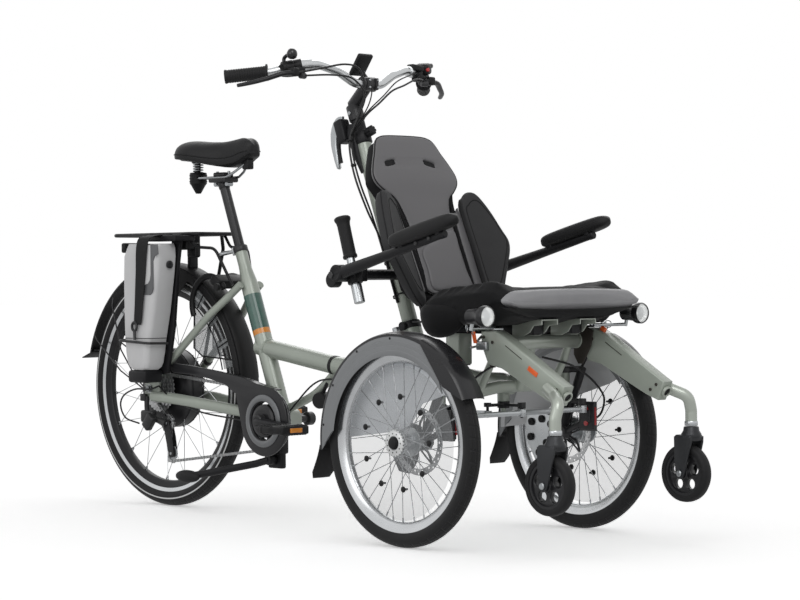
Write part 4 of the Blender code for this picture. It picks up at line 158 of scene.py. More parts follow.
def finish(name, code, rough, slot, metal=0.0, coat=0.0, sheen=0.0, drift=0.07, patch=9.0, grain=0.12,
           pitch=1400.0, hide=False, stretch=(1.0, 1.0, 1.0), depth=0.0003, wear=0.0):
    """A surface finish: the colour drifts, the gloss is uneven and a fine grain breaks the highlight."""
    made = bpy.data.materials.new(name)
    made.use_nodes = True
    made["slot"] = slot
    tree = made.node_tree
    shader = tree.nodes["Principled BSDF"]
    colour = ink(code)
    place = put(tree, "ShaderNodeTexCoord").outputs["Object"]
    if stretch != (1.0, 1.0, 1.0):
        place = put(tree, "ShaderNodeMapping", {"Vector": place, "Scale": stretch}).outputs[0]
    clouds = put(tree, "ShaderNodeTexNoise", {"Vector": place, "Scale": patch, "Detail": 5.0,
                     "Roughness": 0.62})
    tint = put(tree, "ShaderNodeValToRGB", {"Fac": clouds.outputs["Fac"]})
    low, high = tint.color_ramp.elements
    low.position = 0.34
    high.position = 0.66
    low.color = (*[c * (1 - drift) for c in colour], 1.0)
    high.color = (*[min(1.0, c * (1 + drift) + 0.0006) for c in colour], 1.0)
    shown = tint.outputs[0]
    if wear:
        rubbed = put(tree, "ShaderNodeNewGeometry").outputs["Pointiness"]
        edge = put(tree, "ShaderNodeMapRange",
                   {"Value": rubbed, "From Min": 0.52, "From Max": 0.6, "To Max": wear})
        shown = put(tree, "ShaderNodeMixRGB", {"Fac": edge.outputs[0], "Color1": shown,
                        "Color2": (0.42, 0.42, 0.42, 1)}).outputs[0]
    gloss = put(tree, "ShaderNodeMapRange", {"Value": clouds.outputs["Fac"], "From Min": 0.3,
                    "From Max": 0.7, "To Min": rough * 0.86, "To Max": min(1.0, rough * 1.14)})
    if hide:
        grit = put(tree, "ShaderNodeTexVoronoi", {"Vector": place, "Scale": pitch},
                   feature="SMOOTH_F1").outputs["Distance"]
    else:
        grit = put(tree, "ShaderNodeTexNoise", {"Vector": place, "Scale": pitch,
                       "Detail": 3.0}).outputs["Fac"]
    bump = put(tree, "ShaderNodeBump", {"Height": grit, "Strength": grain, "Distance": depth})
    tree.links.new(shown, shader.inputs["Base Color"])
    tree.links.new(gloss.outputs[0], shader.inputs["Roughness"])
    tree.links.new(bump.outputs[0], shader.inputs["Normal"])
    shader.inputs["Metallic"].default_value = metal
    shader.inputs["Coat Weight"].default_value = coat
    shader.inputs["Coat Roughness"].default_value = 0.12
    shader.inputs["Sheen Weight"].default_value = sheen
    shader.inputs["Specular IOR Level"].default_value = 0.2 if max(colour) < 0.06 else 0.5
    return made


def rounded(points, radius, steps=6):
    """A route with its corners rounded by arcs of about the given radius."""
    points = [Vector(p) for p in points]
    route = [points[0]]
    for before, corner, after in zip(points, points[1:], points[2:]):
        back = before - corner
        ahead = after - corner
        half = back.angle(ahead) / 2
        reach = min(radius / max(0.01, abs(math.tan(half))), 0.47 * back.length, 0.47 * ahead.length)
        first = corner + back.normalized() * reach
        last = corner + ahead.normalized() * reach
        for i in range(steps + 1):
            t = i / steps
            route.append(first * (1 - t) ** 2 + corner * 2 * t * (1 - t) + last * t ** 2)
    return route + [points[-1]]


def eased(points, steps=8):
    """A smooth curve through given points."""
    points = [Vector(p) for p in points]
    padded = [points[0] * 2 - points[1], *points, points[-1] * 2 - points[-2]]
    route = []
    for a, b, c, d in zip(padded, padded[1:], padded[2:], padded[3:]):
        for i in range(steps):
            t = i / steps
            route.append(0.5 * (2 * b + (c - a) * t + (2 * a - 5 * b + 4 * c - d) * t ** 2
                                + (3 * b - a - 3 * c + d) * t ** 3))
    return route + [points[-1]]


def add_tube(shape, points, radius, sides=20, tall=1.0):
    """A round tube along a route with closed ends; a list of radii swells or tapers it."""
    points = [Vector(p) for p in points]
    radii = radius if isinstance(radius, (list, tuple)) else [radius] * len(points)
    across = (points[1] - points[0]).cross(Vector((0, 0, 1)))
    if across.length < 1e-6:
        across = Vector((0, 1, 0))
    across.normalize()
    rings = []
    for i, point in enumerate(points):
        along = (points[min(i + 1, len(points) - 1)] - points[max(i - 1, 0)]).normalized()
        across = (across - along * across.dot(along)).normalized()
        up = along.cross(across) * tall
        rings.append([
            shape.verts.new(point + (across * math.cos(2 * math.pi * k / sides)
                                     + up * math.sin(2 * math.pi * k / sides)) * radii[i])
            for k in range(sides)
        ])
    for first, second in zip(rings, rings[1:]):
        for k in range(sides):
            shape.faces.new((first[k - 1], first[k], second[k], second[k - 1]))
    shape.faces.new(rings[0])
    shape.faces.new(rings[-1][::-1])
    return shape


def turn_to(direction):
    """The rotation that takes +Z to a direction."""
    return Vector(direction).to_track_quat("Z", "Y").to_matrix().to_4x4()


def add_turned(shape, profile, place, steps=48, ring=False, start=0.0, sweep=2 * math.pi):
    """A profile of (radius, height) points turned round local Z, with a UV map round and along it."""
    uv = shape.loops.layers.uv.verify()
    whole = abs(sweep) > 6.28
    columns = []
    for i in range(steps if whole else steps + 1):
        a = start + sweep * i / steps
        columns.append([shape.verts.new(place @ Vector((r * math.cos(a), r * math.sin(a), h))) for r,
                        h in profile])
    runs = [0.0]
    loop = profile + profile[:1] if ring else profile
    for (r1, h1), (r2, h2) in zip(loop, loop[1:]):
        runs.append(runs[-1] + math.hypot(r2 - r1, h2 - h1))
    count = len(profile)
    for i in range(steps):
        left, right = columns[i], columns[(i + 1) % len(columns)]
        for k in range(count if ring else count - 1):
            m = (k + 1) % count
            corners = [(left[k], i, k), (right[k], i + 1, k), (right[m], i + 1, k + 1), (left[m], i, k + 1)]
            if profile[k][0] < 1e-9:
                corners.pop(1)
            elif profile[m][0] < 1e-9:
                corners.pop(2)
            if profile[k][0] < 1e-9 and profile[m][0] < 1e-9:
                continue
            face = shape.faces.new([c[0] for c in corners])
            for spot, (_, turn, along) in zip(face.loops, corners):
                spot[uv].uv = (turn / steps, runs[along])
    if not whole and ring:
        shape.faces.new(columns[0])
        shape.faces.new(columns[-1][::-1])
    return shape


def add_rod(shape, start, end, radius, end_radius=None, sides=24, edge=0.0006):
    """A straight round bar with broken edges at both ends."""
    start, end = Vector(start), Vector(end)
    last = radius if end_radius is None else end_radius
    length = (end - start).length
    edge = min(edge, radius * 0.4, last * 0.4, length * 0.4)
    profile = [(0.0, 0.0), (radius - edge, 0.0), (radius, edge), (last, length - edge),
               (last - edge, length), (0.0, length)]
    return add_turned(shape, profile, Matrix.Translation(start) @ turn_to(end - start), sides)


def add_box(shape, size, centre, turn=Matrix(), edge=0.0015, segments=3):
    """A block with rounded edges."""
    block = bmesh.new()
    bmesh.ops.create_cube(block, size=1.0)
    bmesh.ops.scale(block, vec=size, verts=block.verts)
    bmesh.ops.bevel(block, geom=block.edges, offset=min(edge, 0.45 * min(size)), segments=segments,
                    profile=0.5, affect="EDGES")
    return merge_in(shape, block, Matrix.Translation(centre) @ turn)


def merge_in(shape, other, place=Matrix()):
    """Adds another shape to this one."""
    other.transform(place)
    spare = bpy.data.meshes.new("spare")
    other.to_mesh(spare)
    other.free()
    shape.from_mesh(spare)
    bpy.data.meshes.remove(spare)
    return shape


def add_plate(shape, outline, thickness, place, edge=0.0008, holes=()):
    """A flat piece cut to an outline in local XY, with rounded edges and any holes."""
    curve = bpy.data.curves.new("spare", "CURVE")
    curve.dimensions = "2D"
    curve.fill_mode = "BOTH"
    curve.extrude = thickness / 2 - edge
    curve.bevel_depth = edge
    curve.bevel_resolution = 2
    curve.offset = -edge
    for loop in (outline, *holes):
        spline = curve.splines.new("POLY")
        spline.points.add(len(loop) - 1)
        for knot, (x, y) in zip(spline.points, loop):
            knot.co = (x, y, 0.0, 1.0)
        spline.use_cyclic_u = True
    holder = bpy.data.objects.new("spare", curve)
    bpy.context.scene.collection.objects.link(holder)
    bpy.context.view_layer.update()
    flat = bpy.data.meshes.new_from_object(holder.evaluated_get(bpy.context.evaluated_depsgraph_get()))
    flat.transform(place)
    flat.materials.clear()
    shape.from_mesh(flat)
    bpy.data.objects.remove(holder)
    bpy.data.meshes.remove(flat)
    return shape


def side_place(y):
    """The placing matrix of a plate that stands in the bike's XZ plane at a given Y."""
    return Matrix.Translation((0, y, 0)) @ Matrix.Rotation(math.pi / 2, 4, "X")


def on_axle(x, y, z):
    """The placing matrix of a wheel: local Z lies along the bike's Y axis."""
    return Matrix.Translation((x, y, z)) @ Matrix.Rotation(-math.pi / 2, 4, "X")


def arc(x, z, radius, start, end, steps):
    """Points along an arc from one angle to another, in degrees."""
    angles = [math.radians(start + (end - start) * i / steps) for i in range(steps + 1)]
    return [(x + radius * math.cos(a), z + radius * math.sin(a)) for a in angles]


def piece(name, shape, coat, body, stands_for=(), sharp=40, soften=0, weld=0.00001):
    """A shape drawn from the front axle becomes a finished piece, and rides on a body if one is given."""
    bmesh.ops.remove_doubles(shape, verts=shape.verts, dist=weld)
    bmesh.ops.recalc_face_normals(shape, faces=shape.faces)
    shape.transform(Matrix.Translation((front_axle_x, 0, 0)))
    mesh = bpy.data.meshes.new(name)
    shape.to_mesh(mesh)
    shape.free()
    mesh.shade_smooth()
    mesh.set_sharp_from_angle(angle=math.radians(sharp))
    mesh.materials.append(coat)
    made = bpy.data.objects.new(name, mesh)
    bpy.context.scene.collection.objects.link(made)
    if soften:
        rounder = made.modifiers.new("soften", "SUBSURF")
        rounder.levels = soften
        rounder.render_levels = soften
    if body:
        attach(made, body)
    if stands_for:
        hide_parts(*stands_for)
    return made


crank_centre = Vector((-0.772, 0, 0.255))
seat_angle = math.radians(68.9)
seat_line = Vector((-math.cos(seat_angle), 0, math.sin(seat_angle)))
seat_tube_length = 0.492
seat_tube_radius = 0.0235
collar_radius = 0.0165
column_tilt = math.radians(20.2)
column_base = Vector((-0.285, 0, 0.5))
column_line = Vector((-math.sin(column_tilt), 0, math.cos(column_tilt)))
main_tube_radius = 0.0238
main_tube_z = 0.383
main_tube_end = 0.0575
kingpin_x = 0.03
tie_rod_z = 0.304
stand_x = -0.8
stand_z = 0.15
sage = finish("sage_paint_coat", "9ca399", 0.36, "sage_paint", metal=0.15, coat=0.35, drift=0.05, patch=5.0,
              grain=0.1, pitch=700.0)

seat_place = Matrix.Translation(crank_centre) @ turn_to(seat_line)
frame_tubes = bmesh.new()
add_turned(frame_tubes, [(0.0, 0.0), (seat_tube_radius, 0.0), (seat_tube_radius, 0.366), (0.0231, 0.378),
                         (0.0218, 0.392), (0.0196, 0.408), (0.018, 0.42), (0.017, 0.43),
                         (collar_radius, 0.44), (collar_radius, seat_tube_length - 0.001),
                         (collar_radius - 0.001, seat_tube_length), (0.0142, seat_tube_length),
                         (0.0142, seat_tube_length - 0.004), (0.0, seat_tube_length - 0.004)], seat_place,
           40)
main_route = rounded([
    (-0.868, 0, 0.4475), (-0.76, 0, 0.432), (-0.57, 0, 0.403), (-0.38, 0, 0.386), (-0.1, 0, main_tube_z),
    (main_tube_end - 0.03, 0, main_tube_z - 0.012), (main_tube_end, 0, main_tube_z - 0.012)
], 0.12)
add_tube(frame_tubes, main_route, main_tube_radius, 36)
brace_low = crank_centre + Vector((0.012, 0, 0.028))
brace_high = Vector((-0.56, 0, 0.392))
add_tube(frame_tubes, eased([brace_low, (brace_low + brace_high) / 2 + Vector((0.012, 0, -0.01)),
                             brace_high]), 0.0112, 24)
add_rod(frame_tubes, crank_centre + Vector((0, -0.036, 0)), crank_centre + Vector((0, 0.036, 0)), 0.03,
        sides=44)
add_rod(frame_tubes, column_base - column_line * 0.13, column_base - column_line * 0.0006, 0.025, sides=40,
        edge=0.0012)
add_rod(frame_tubes, (kingpin_x, 0, tie_rod_z - 0.002), (kingpin_x, 0, main_tube_z), 0.006)
add_rod(frame_tubes, (kingpin_x, 0, tie_rod_z + 0.0263), (kingpin_x, 0, main_tube_z + 0.004), 0.015)
piece("main_frame_tubes", frame_tubes, sage, "frame", ("main_frame",))


def add_weld(shape, centre, axis, radius, bead=0.0022, beads=34):
    """A rippled weld seam round a joint, lying in the plane square to an axis."""
    place = Matrix.Translation(centre) @ turn_to(axis)
    steps = beads * 2
    points = [place @ Vector((radius * math.cos(2 * math.pi * i / steps),
                              radius * math.sin(2 * math.pi * i / steps), 0)) for i in range(steps + 1)]
    return add_tube(shape, points, [bead * (1.0 + 0.22 * (i % 2)) for i in range(steps + 1)], 8)


welds = bmesh.new()
add_weld(welds, brace_low + (brace_high - brace_low).normalized() * 0.012, brace_high - brace_low, 0.0112)
add_weld(welds, brace_high - (brace_high - brace_low).normalized() * 0.022, brace_high - brace_low, 0.0112)
add_weld(welds, Vector((-0.832, 0, 0.4425)), Vector((1, 0, -0.14)), main_tube_radius, beads=60)
add_weld(welds, crank_centre + seat_line * 0.03, seat_line, seat_tube_radius, beads=60)
add_weld(welds, column_base - column_line * 0.102, column_line, 0.025, beads=60)
piece("frame_welds", welds, sage, "frame", sharp=70)

# Seat tube bands
# Two plain transfer bands under the lacquer of the seat tube: a tall dark green one and a thin
# orange one below it. They stay bare of any lettering.
green_film = finish("green_transfer", "35594f", 0.3, "sage_paint", coat=0.4, drift=0.16, patch=60.0,
                    grain=0.04)
orange_film = finish("orange_transfer", "d8892f", 0.32, "sage_paint", coat=0.4, drift=0.05)
for band_name, band_coat, band_low, band_high in (
        ("green_band", green_film, 0.2535, 0.351), ("orange_band", orange_film, 0.239, 0.253)):
    band = bmesh.new()
    skin = seat_tube_radius + 0.00035
    add_turned(band, [(skin - 0.0004, band_low), (skin, band_low), (skin, band_high),
                      (skin - 0.0004, band_high)], seat_place, 48, ring=True)
    piece(band_name, band, band_coat, "frame")

# Rear stays
# Each side of the rear triangle is a round seat stay and a deep oval chain stay welded to a
# flat dropout. A black clamp band holds the gear cable on the right seat stay.
rear_axle = Vector((-1.252, 0, 0.3265))
dropout_y = 0.07
stay_radius = 0.0105
black_metal = finish("black_metal_coat", "1f1f21", 0.38, "black_metal", metal=0.2, coat=0.1, drift=0.1,
                     wear=0.1)
stay_top = crank_centre + seat_line * ((0.612 - 0.255) / seat_line.z)
for label, side in (("right", -1.0), ("left", 1.0)):
    stay = bmesh.new()
    top = stay_top + Vector((0.004, side * (seat_tube_radius + stay_radius + 0.0003), 0))
    seat_stay = rounded([
        top, top + Vector((-0.04, side * 0.003, -0.028)), (-1.01, side * 0.058, 0.53),
        (rear_axle.x + 0.02, side * (dropout_y + 0.002), rear_axle.z + 0.024)
    ], 0.06)
    add_tube(stay, seat_stay, stay_radius, 24)
    chain_stay = rounded([
        (-0.795, side * 0.024, 0.258), (-0.9, side * 0.034, 0.274), (-1.13, side * 0.066, 0.3),
        (rear_axle.x + 0.012, side * (dropout_y + 0.002), rear_axle.z - 0.02)
    ], 0.08)
    add_tube(stay, chain_stay, 0.0118, 24, tall=1.28)
    add_plate(stay, [
        (rear_axle.x - 0.024, rear_axle.z - 0.01), (rear_axle.x - 0.012, rear_axle.z - 0.026),
        (rear_axle.x + 0.03, rear_axle.z - 0.034), (rear_axle.x + 0.044, rear_axle.z - 0.014),
        (rear_axle.x + 0.04, rear_axle.z + 0.034), (rear_axle.x + 0.02, rear_axle.z + 0.046),
        (rear_axle.x - 0.016, rear_axle.z + 0.022)
    ], 0.006, side_place(side * dropout_y), edge=0.0012)
    piece(f"rear_stay_tubes_{label}", stay, sage, "frame", (f"rear_stay_{label}",))
    clamp = bmesh.new()
    middle = seat_stay[-2] + (seat_stay[-1] - seat_stay[-2]) * 0.72
    run = (seat_stay[-1] - seat_stay[-2]).normalized()
    add_rod(clamp, middle - run * 0.006, middle + run * 0.006, stay_radius + 0.0022)
    add_rod(clamp, Vector((-0.872, side * 0.0306, 0.2697)), Vector((-0.896, side * 0.0338, 0.2734)), 0.0162,
            sides=28)
    piece(f"stay_bands_{label}", clamp, black_metal, "frame")

# Rear wheel
# A 26 inch wheel: black tyre with a thin reflex line, black box rim with a machined silver wall,
# 36 crossed spokes and a big black hub motor. It turns on a through axle in the dropouts.


def tyre_coat(name, blocks, tread_from, tread_to):
    """Rubber whose UV map (turns, metres across) cuts tread blocks and shoulder sipes."""
    made = finish(name, "1c1c1d", 0.62, "tyre_rubber", drift=0.12, patch=30.0, grain=0.25, pitch=900.0,
                  sheen=0.08)
    tree = made.node_tree
    shader = tree.nodes["Principled BSDF"]
    grain_normal = shader.inputs["Normal"].links[0].from_node
    where = put(tree, "ShaderNodeSeparateXYZ", {0: put(tree, "ShaderNodeUVMap").outputs[0]})
    slant = put(tree, "ShaderNodeMath", {0: where.outputs[1], 1: 14.0}, operation="MULTIPLY")
    around = put(tree, "ShaderNodeMath", {0: where.outputs[0], 1: float(blocks)}, operation="MULTIPLY")
    rows = put(tree, "ShaderNodeMath", {0: around.outputs[0], 1: slant.outputs[0]}, operation="ADD")
    saw = put(tree, "ShaderNodeMath", {0: rows.outputs[0], 1: 1.0}, operation="PINGPONG")
    cut = put(tree, "ShaderNodeMapRange", {"Value": saw.outputs[0], "From Min": 0.12, "From Max": 0.24})
    grooves = put(tree, "ShaderNodeMath", {0: where.outputs[1], 1: 0.0042}, operation="PINGPONG")
    ribs = put(tree, "ShaderNodeMapRange", {"Value": grooves.outputs[0], "From Min": 0.0004,
                   "From Max": 0.001})
    low = put(tree, "ShaderNodeMapRange", {"Value": where.outputs[1], "From Min": tread_from,
                  "From Max": tread_from + 0.001})
    high = put(tree, "ShaderNodeMapRange", {"Value": where.outputs[1], "From Min": tread_to,
                   "From Max": tread_to - 0.001})
    on_tread = put(tree, "ShaderNodeMath", {0: low.outputs[0], 1: high.outputs[0]}, operation="MULTIPLY")
    pattern = put(tree, "ShaderNodeMath", {0: cut.outputs[0], 1: ribs.outputs[0]}, operation="MINIMUM")
    raised = put(tree, "ShaderNodeMath", {0: pattern.outputs[0], 1: on_tread.outputs[0]},
                 operation="MULTIPLY")
    relief = put(tree, "ShaderNodeBump", {"Height": raised.outputs[0], "Strength": 0.9, "Distance": 0.0012,
                                         "Normal": grain_normal.outputs[0]})
    tree.links.new(relief.outputs[0], shader.inputs["Normal"])
    return made


def tyre_profile(radius, width, thick=0.0035, bead=132):
    """A tyre's closed section: the round outside, both beads and the inside."""
    minor = width / 2
    centre = radius - minor
    outside = [math.radians(bead - 2 * bead * i / 26) for i in range(27)]
    section = [(centre + minor * math.cos(a), minor * math.sin(a)) for a in outside]
    section += [(centre + (minor - thick) * math.cos(a), (minor - thick) * math.sin(a))
                for a in outside[::-1]]
    return section


def hub_tree():
    """Geometry nodes that set an item out round a hub a number of times."""
    tree = bpy.data.node_groups.new("round_a_hub", "GeometryNodeTree")
    for label, kind in (("Item", "NodeSocketObject"), ("Count", "NodeSocketInt"),
                        ("Centre", "NodeSocketVector"), ("Finish", "NodeSocketMaterial")):
        tree.interface.new_socket(label, in_out="INPUT", socket_type=kind)
    tree.interface.new_socket("Set out", in_out="OUTPUT", socket_type="NodeSocketGeometry")
    given = put(tree, "NodeGroupInput")
    item = put(tree, "GeometryNodeObjectInfo", {"Object": given.outputs["Item"]})
    spots = put(tree, "GeometryNodePoints", {"Count": given.outputs["Count"]})
    set_out = put(tree, "GeometryNodeInstanceOnPoints",
                  {"Points": spots.outputs[0], "Instance": item.outputs["Geometry"]})
    turn = put(tree, "ShaderNodeMath", {0: 2 * math.pi, 1: given.outputs["Count"]}, operation="DIVIDE")
    angle = put(tree, "ShaderNodeMath", {0: put(tree, "GeometryNodeInputIndex").outputs[0],
                    1: turn.outputs[0]}, operation="MULTIPLY")
    about = put(tree, "ShaderNodeCombineXYZ", {"Y": angle.outputs[0]})
    turned = put(tree, "GeometryNodeRotateInstances",
                 {"Instances": set_out.outputs[0], "Rotation": about.outputs[0], "Local Space": False})
    moved = put(tree, "GeometryNodeTransform", {"Geometry": turned.outputs[0],
                    "Translation": given.outputs["Centre"]})
    solid = put(tree, "GeometryNodeRealizeInstances", {"Geometry": moved.outputs[0]})
    coated = put(tree, "GeometryNodeSetMaterial",
                 {"Geometry": solid.outputs[0], "Material": given.outputs["Finish"]})
    put(tree, "NodeGroupOutput", {0: coated.outputs[0]})
    return tree


def from_nodes(name, tree, values, coat, body, start=None, stands_for=()):
    """Runs a geometry nodes tree once and keeps its mesh as a finished piece."""
    made = bpy.data.objects.new(name, start or bpy.data.meshes.new(name))
    bpy.context.scene.collection.objects.link(made)
    nodes = made.modifiers.new("nodes", "NODES")
    nodes.node_group = tree
    for socket in tree.interface.items_tree:
        if socket.in_out == "INPUT" and socket.name in values:
            nodes[socket.identifier] = values[socket.name]
    bpy.context.view_layer.update()
    mesh = bpy.data.meshes.new_from_object(made.evaluated_get(bpy.context.evaluated_depsgraph_get()))
    made.modifiers.clear()
    made.data = mesh
    mesh.name = name
    mesh.shade_smooth()
    mesh.set_sharp_from_angle(angle=math.radians(35))
    if not mesh.materials:
        mesh.materials.append(coat)
    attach(made, body)
    if stands_for:
        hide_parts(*stands_for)
    return made


def spare_item(name, shape):
    """An unlinked object that geometry nodes repeat."""
    bmesh.ops.recalc_face_normals(shape, faces=shape.faces)
    mesh = bpy.data.meshes.new(name)
    shape.to_mesh(mesh)
    shape.free()
    return bpy.data.objects.new(name, mesh)


round_a_hub = hub_tree()


def round_hub(name, shape, count, centre, coat, body, stands_for=()):
    """A shape repeated round a wheel's axle and kept as one piece."""
    place = Vector(centre) + Vector((front_axle_x, 0, 0))
    return from_nodes(name, round_a_hub, {"Item": spare_item(name + "_item", shape), "Count": count,
                          "Centre": place, "Finish": coat}, coat, body, stands_for=stands_for)


def spokes(name, centre, hub_radius, hub_high, hub_low, rim_radius, lean, coat, body):
    """Thirty-six crossed spokes: nine groups of a leading and a trailing pair, with their nipples."""
    group = bmesh.new()
    for turn, reach, y in ((0, lean, hub_high), (10, -lean, hub_high), (20, lean, hub_low),
                           (30, -lean, hub_low)):
        root = math.radians(turn)
        tip = math.radians(turn + reach)
        start = Vector((hub_radius * math.cos(root), y, hub_radius * math.sin(root)))
        end = Vector((rim_radius * math.cos(tip), math.copysign(0.003, y - (hub_high + hub_low) / 2),
                      rim_radius * math.sin(tip)))
        add_tube(group, [start, end], 0.001, 6)
        run = (end - start).normalized()
        add_tube(group, [end - run * 0.013, end + run * 0.004], 0.0019, 8)
    return round_hub(name, group, 9, centre, coat, body)


rear_radius = 0.3265
rear_width = 0.047
rear_place = on_axle(*rear_axle)
rear_rubber = tyre_coat("rear_tyre_rubber", 150, 0.03, 0.078)
reflex = finish("reflex_line", "d3d4d4", 0.45, "tyre_rubber", drift=0.04, patch=80.0)
silver = finish("machined_silver", "c4c6c8", 0.22, "alloy", metal=0.95, drift=0.04, patch=14.0, grain=0.1,
                pitch=500.0, stretch=(1, 8, 1))
spoke_steel = finish("spoke_steel", "a9abad", 0.24, "steel", metal=1.0, drift=0.05)
black_plastic = finish("black_plastic_coat", "19191a", 0.46, "black_plastic", drift=0.12, patch=16.0,
                       grain=0.3, pitch=1100.0)
steel = finish("zinc_steel", "9ea1a3", 0.3, "steel", metal=0.95, drift=0.07, patch=40.0, grain=0.1)
alloy = finish("satin_alloy", "b4b7b9", 0.28, "alloy", metal=0.92, drift=0.05, patch=20.0, grain=0.08)

rear_tyre = bmesh.new()
add_turned(rear_tyre, tyre_profile(rear_radius, rear_width), rear_place, 160, ring=True)
piece("rear_tyre_rubber", rear_tyre, rear_rubber, "rear_wheel", ("rear_tyre",), sharp=60)
line = bmesh.new()
for side in (-1, 1):
    add_turned(line, [(0.3042, side * 0.02352), (0.3042, side * 0.0238), (0.3078, side * 0.0234),
                      (0.3078, side * 0.023)], rear_place, 160, ring=True)
piece("rear_reflex_line", line, reflex, "rear_wheel", sharp=60)
rim = bmesh.new()
add_turned(rim, [(0.283, 0.0136), (0.277, 0.0135), (0.2765, 0.0128), (0.263, 0.0105), (0.258, 0.007),
                 (0.2562, 0.0), (0.258, -0.007), (0.263, -0.0105), (0.2765, -0.0128), (0.277, -0.0135),
                 (0.283, -0.0136), (0.28, -0.011), (0.274, -0.006), (0.2735, 0.0), (0.274, 0.006),
                 (0.28, 0.011)], rear_place, 144, ring=True)
piece("rear_rim", rim, black_metal, "rear_wheel", sharp=30)
walls = bmesh.new()
for side in (-1, 1):
    add_turned(walls, [(0.2772, side * 0.0137), (0.2772, side * 0.0152), (0.2895, side * 0.018),
                       (0.2905, side * 0.017), (0.2895, side * 0.015), (0.284, side * 0.0137)], rear_place,
               160, ring=True)
piece("rear_rim_walls", walls, silver, "rear_wheel", sharp=30)
spokes("rear_spokes", rear_axle, 0.104, 0.025, -0.006, 0.259, 26, spoke_steel, "rear_wheel")
motor = bmesh.new()
add_turned(motor, [(0.0, 0.056), (0.029, 0.056), (0.031, 0.055), (0.033, 0.0545), (0.06, 0.0505),
                   (0.064, 0.047), (0.089, 0.043), (0.0925, 0.042), (0.106, 0.0345), (0.1095, 0.03),
                   (0.1095, 0.0285), (0.108, 0.027), (0.108, 0.024), (0.11, 0.0225), (0.11, -0.004),
                   (0.108, -0.0055), (0.108, -0.0085), (0.11, -0.01), (0.109, -0.0125), (0.1, -0.018),
                   (0.082, -0.0238), (0.078, -0.0242), (0.04, -0.0268), (0.0, -0.0268)], rear_place, 96)
piece("motor_case", motor, black_metal, "rear_wheel", ("rear_wheel",), sharp=32)
fins = bmesh.new()
add_box(fins, (0.02, 0.005, 0.0016), (0.048, 0.0535, 0.0), edge=0.0006)
add_box(fins, (0.012, 0.0035, 0.0024), (0.0985, 0.039, 0.0), edge=0.0008)
round_hub("motor_fins", fins, 24, rear_axle, black_metal, "rear_wheel")
screws = bmesh.new()
add_rod(screws, (0.0, 0.0, 0.084), (0.0, 0.0485, 0.084), 0.0042, sides=6)
round_hub("motor_screws", screws, 8, rear_axle, steel, "rear_wheel")
stub = bmesh.new()
add_rod(stub, rear_axle + Vector((0, -0.0825, 0)), rear_axle + Vector((0, 0.0825, 0)), 0.005)
for side in (-1, 1):
    add_turned(stub, [(0.0, 0.0), (0.0092, 0.0), (0.0098, 0.0008), (0.0098, 0.0072), (0.008, 0.0088),
                      (0.0, 0.0088)], Matrix.Translation(rear_axle
                   + Vector((0, side * 0.0733, 0))) @ turn_to((0, side, 0)), 6)
    add_turned(stub, [(0.006, 0.0), (0.012, 0.0), (0.012, 0.0014), (0.006, 0.0014)],
               Matrix.Translation(rear_axle + Vector((0, side * 0.0732, 0))) @ turn_to((0, side, 0)), 32,
               ring=True)
piece("rear_axle_and_nuts", stub, steel, "frame", ("rear_axle",))

# Front wheels
# Two 20 inch wheels on stub axles. Each has a wide polished rim, a clear spoke guard clipped to
# the spokes with black buttons, a black capped hub in a drilled ring, and a brake disc inside.


def clear_coat(name, code, alpha, rough, slot):
    """A thin clear or smoky plastic: a little haze that drifts, with the rest seen through."""
    made = finish(name, code, rough, slot, drift=0.06, patch=7.0, grain=0.05)
    made.node_tree.nodes["Principled BSDF"].inputs["Alpha"].default_value = alpha
    return made


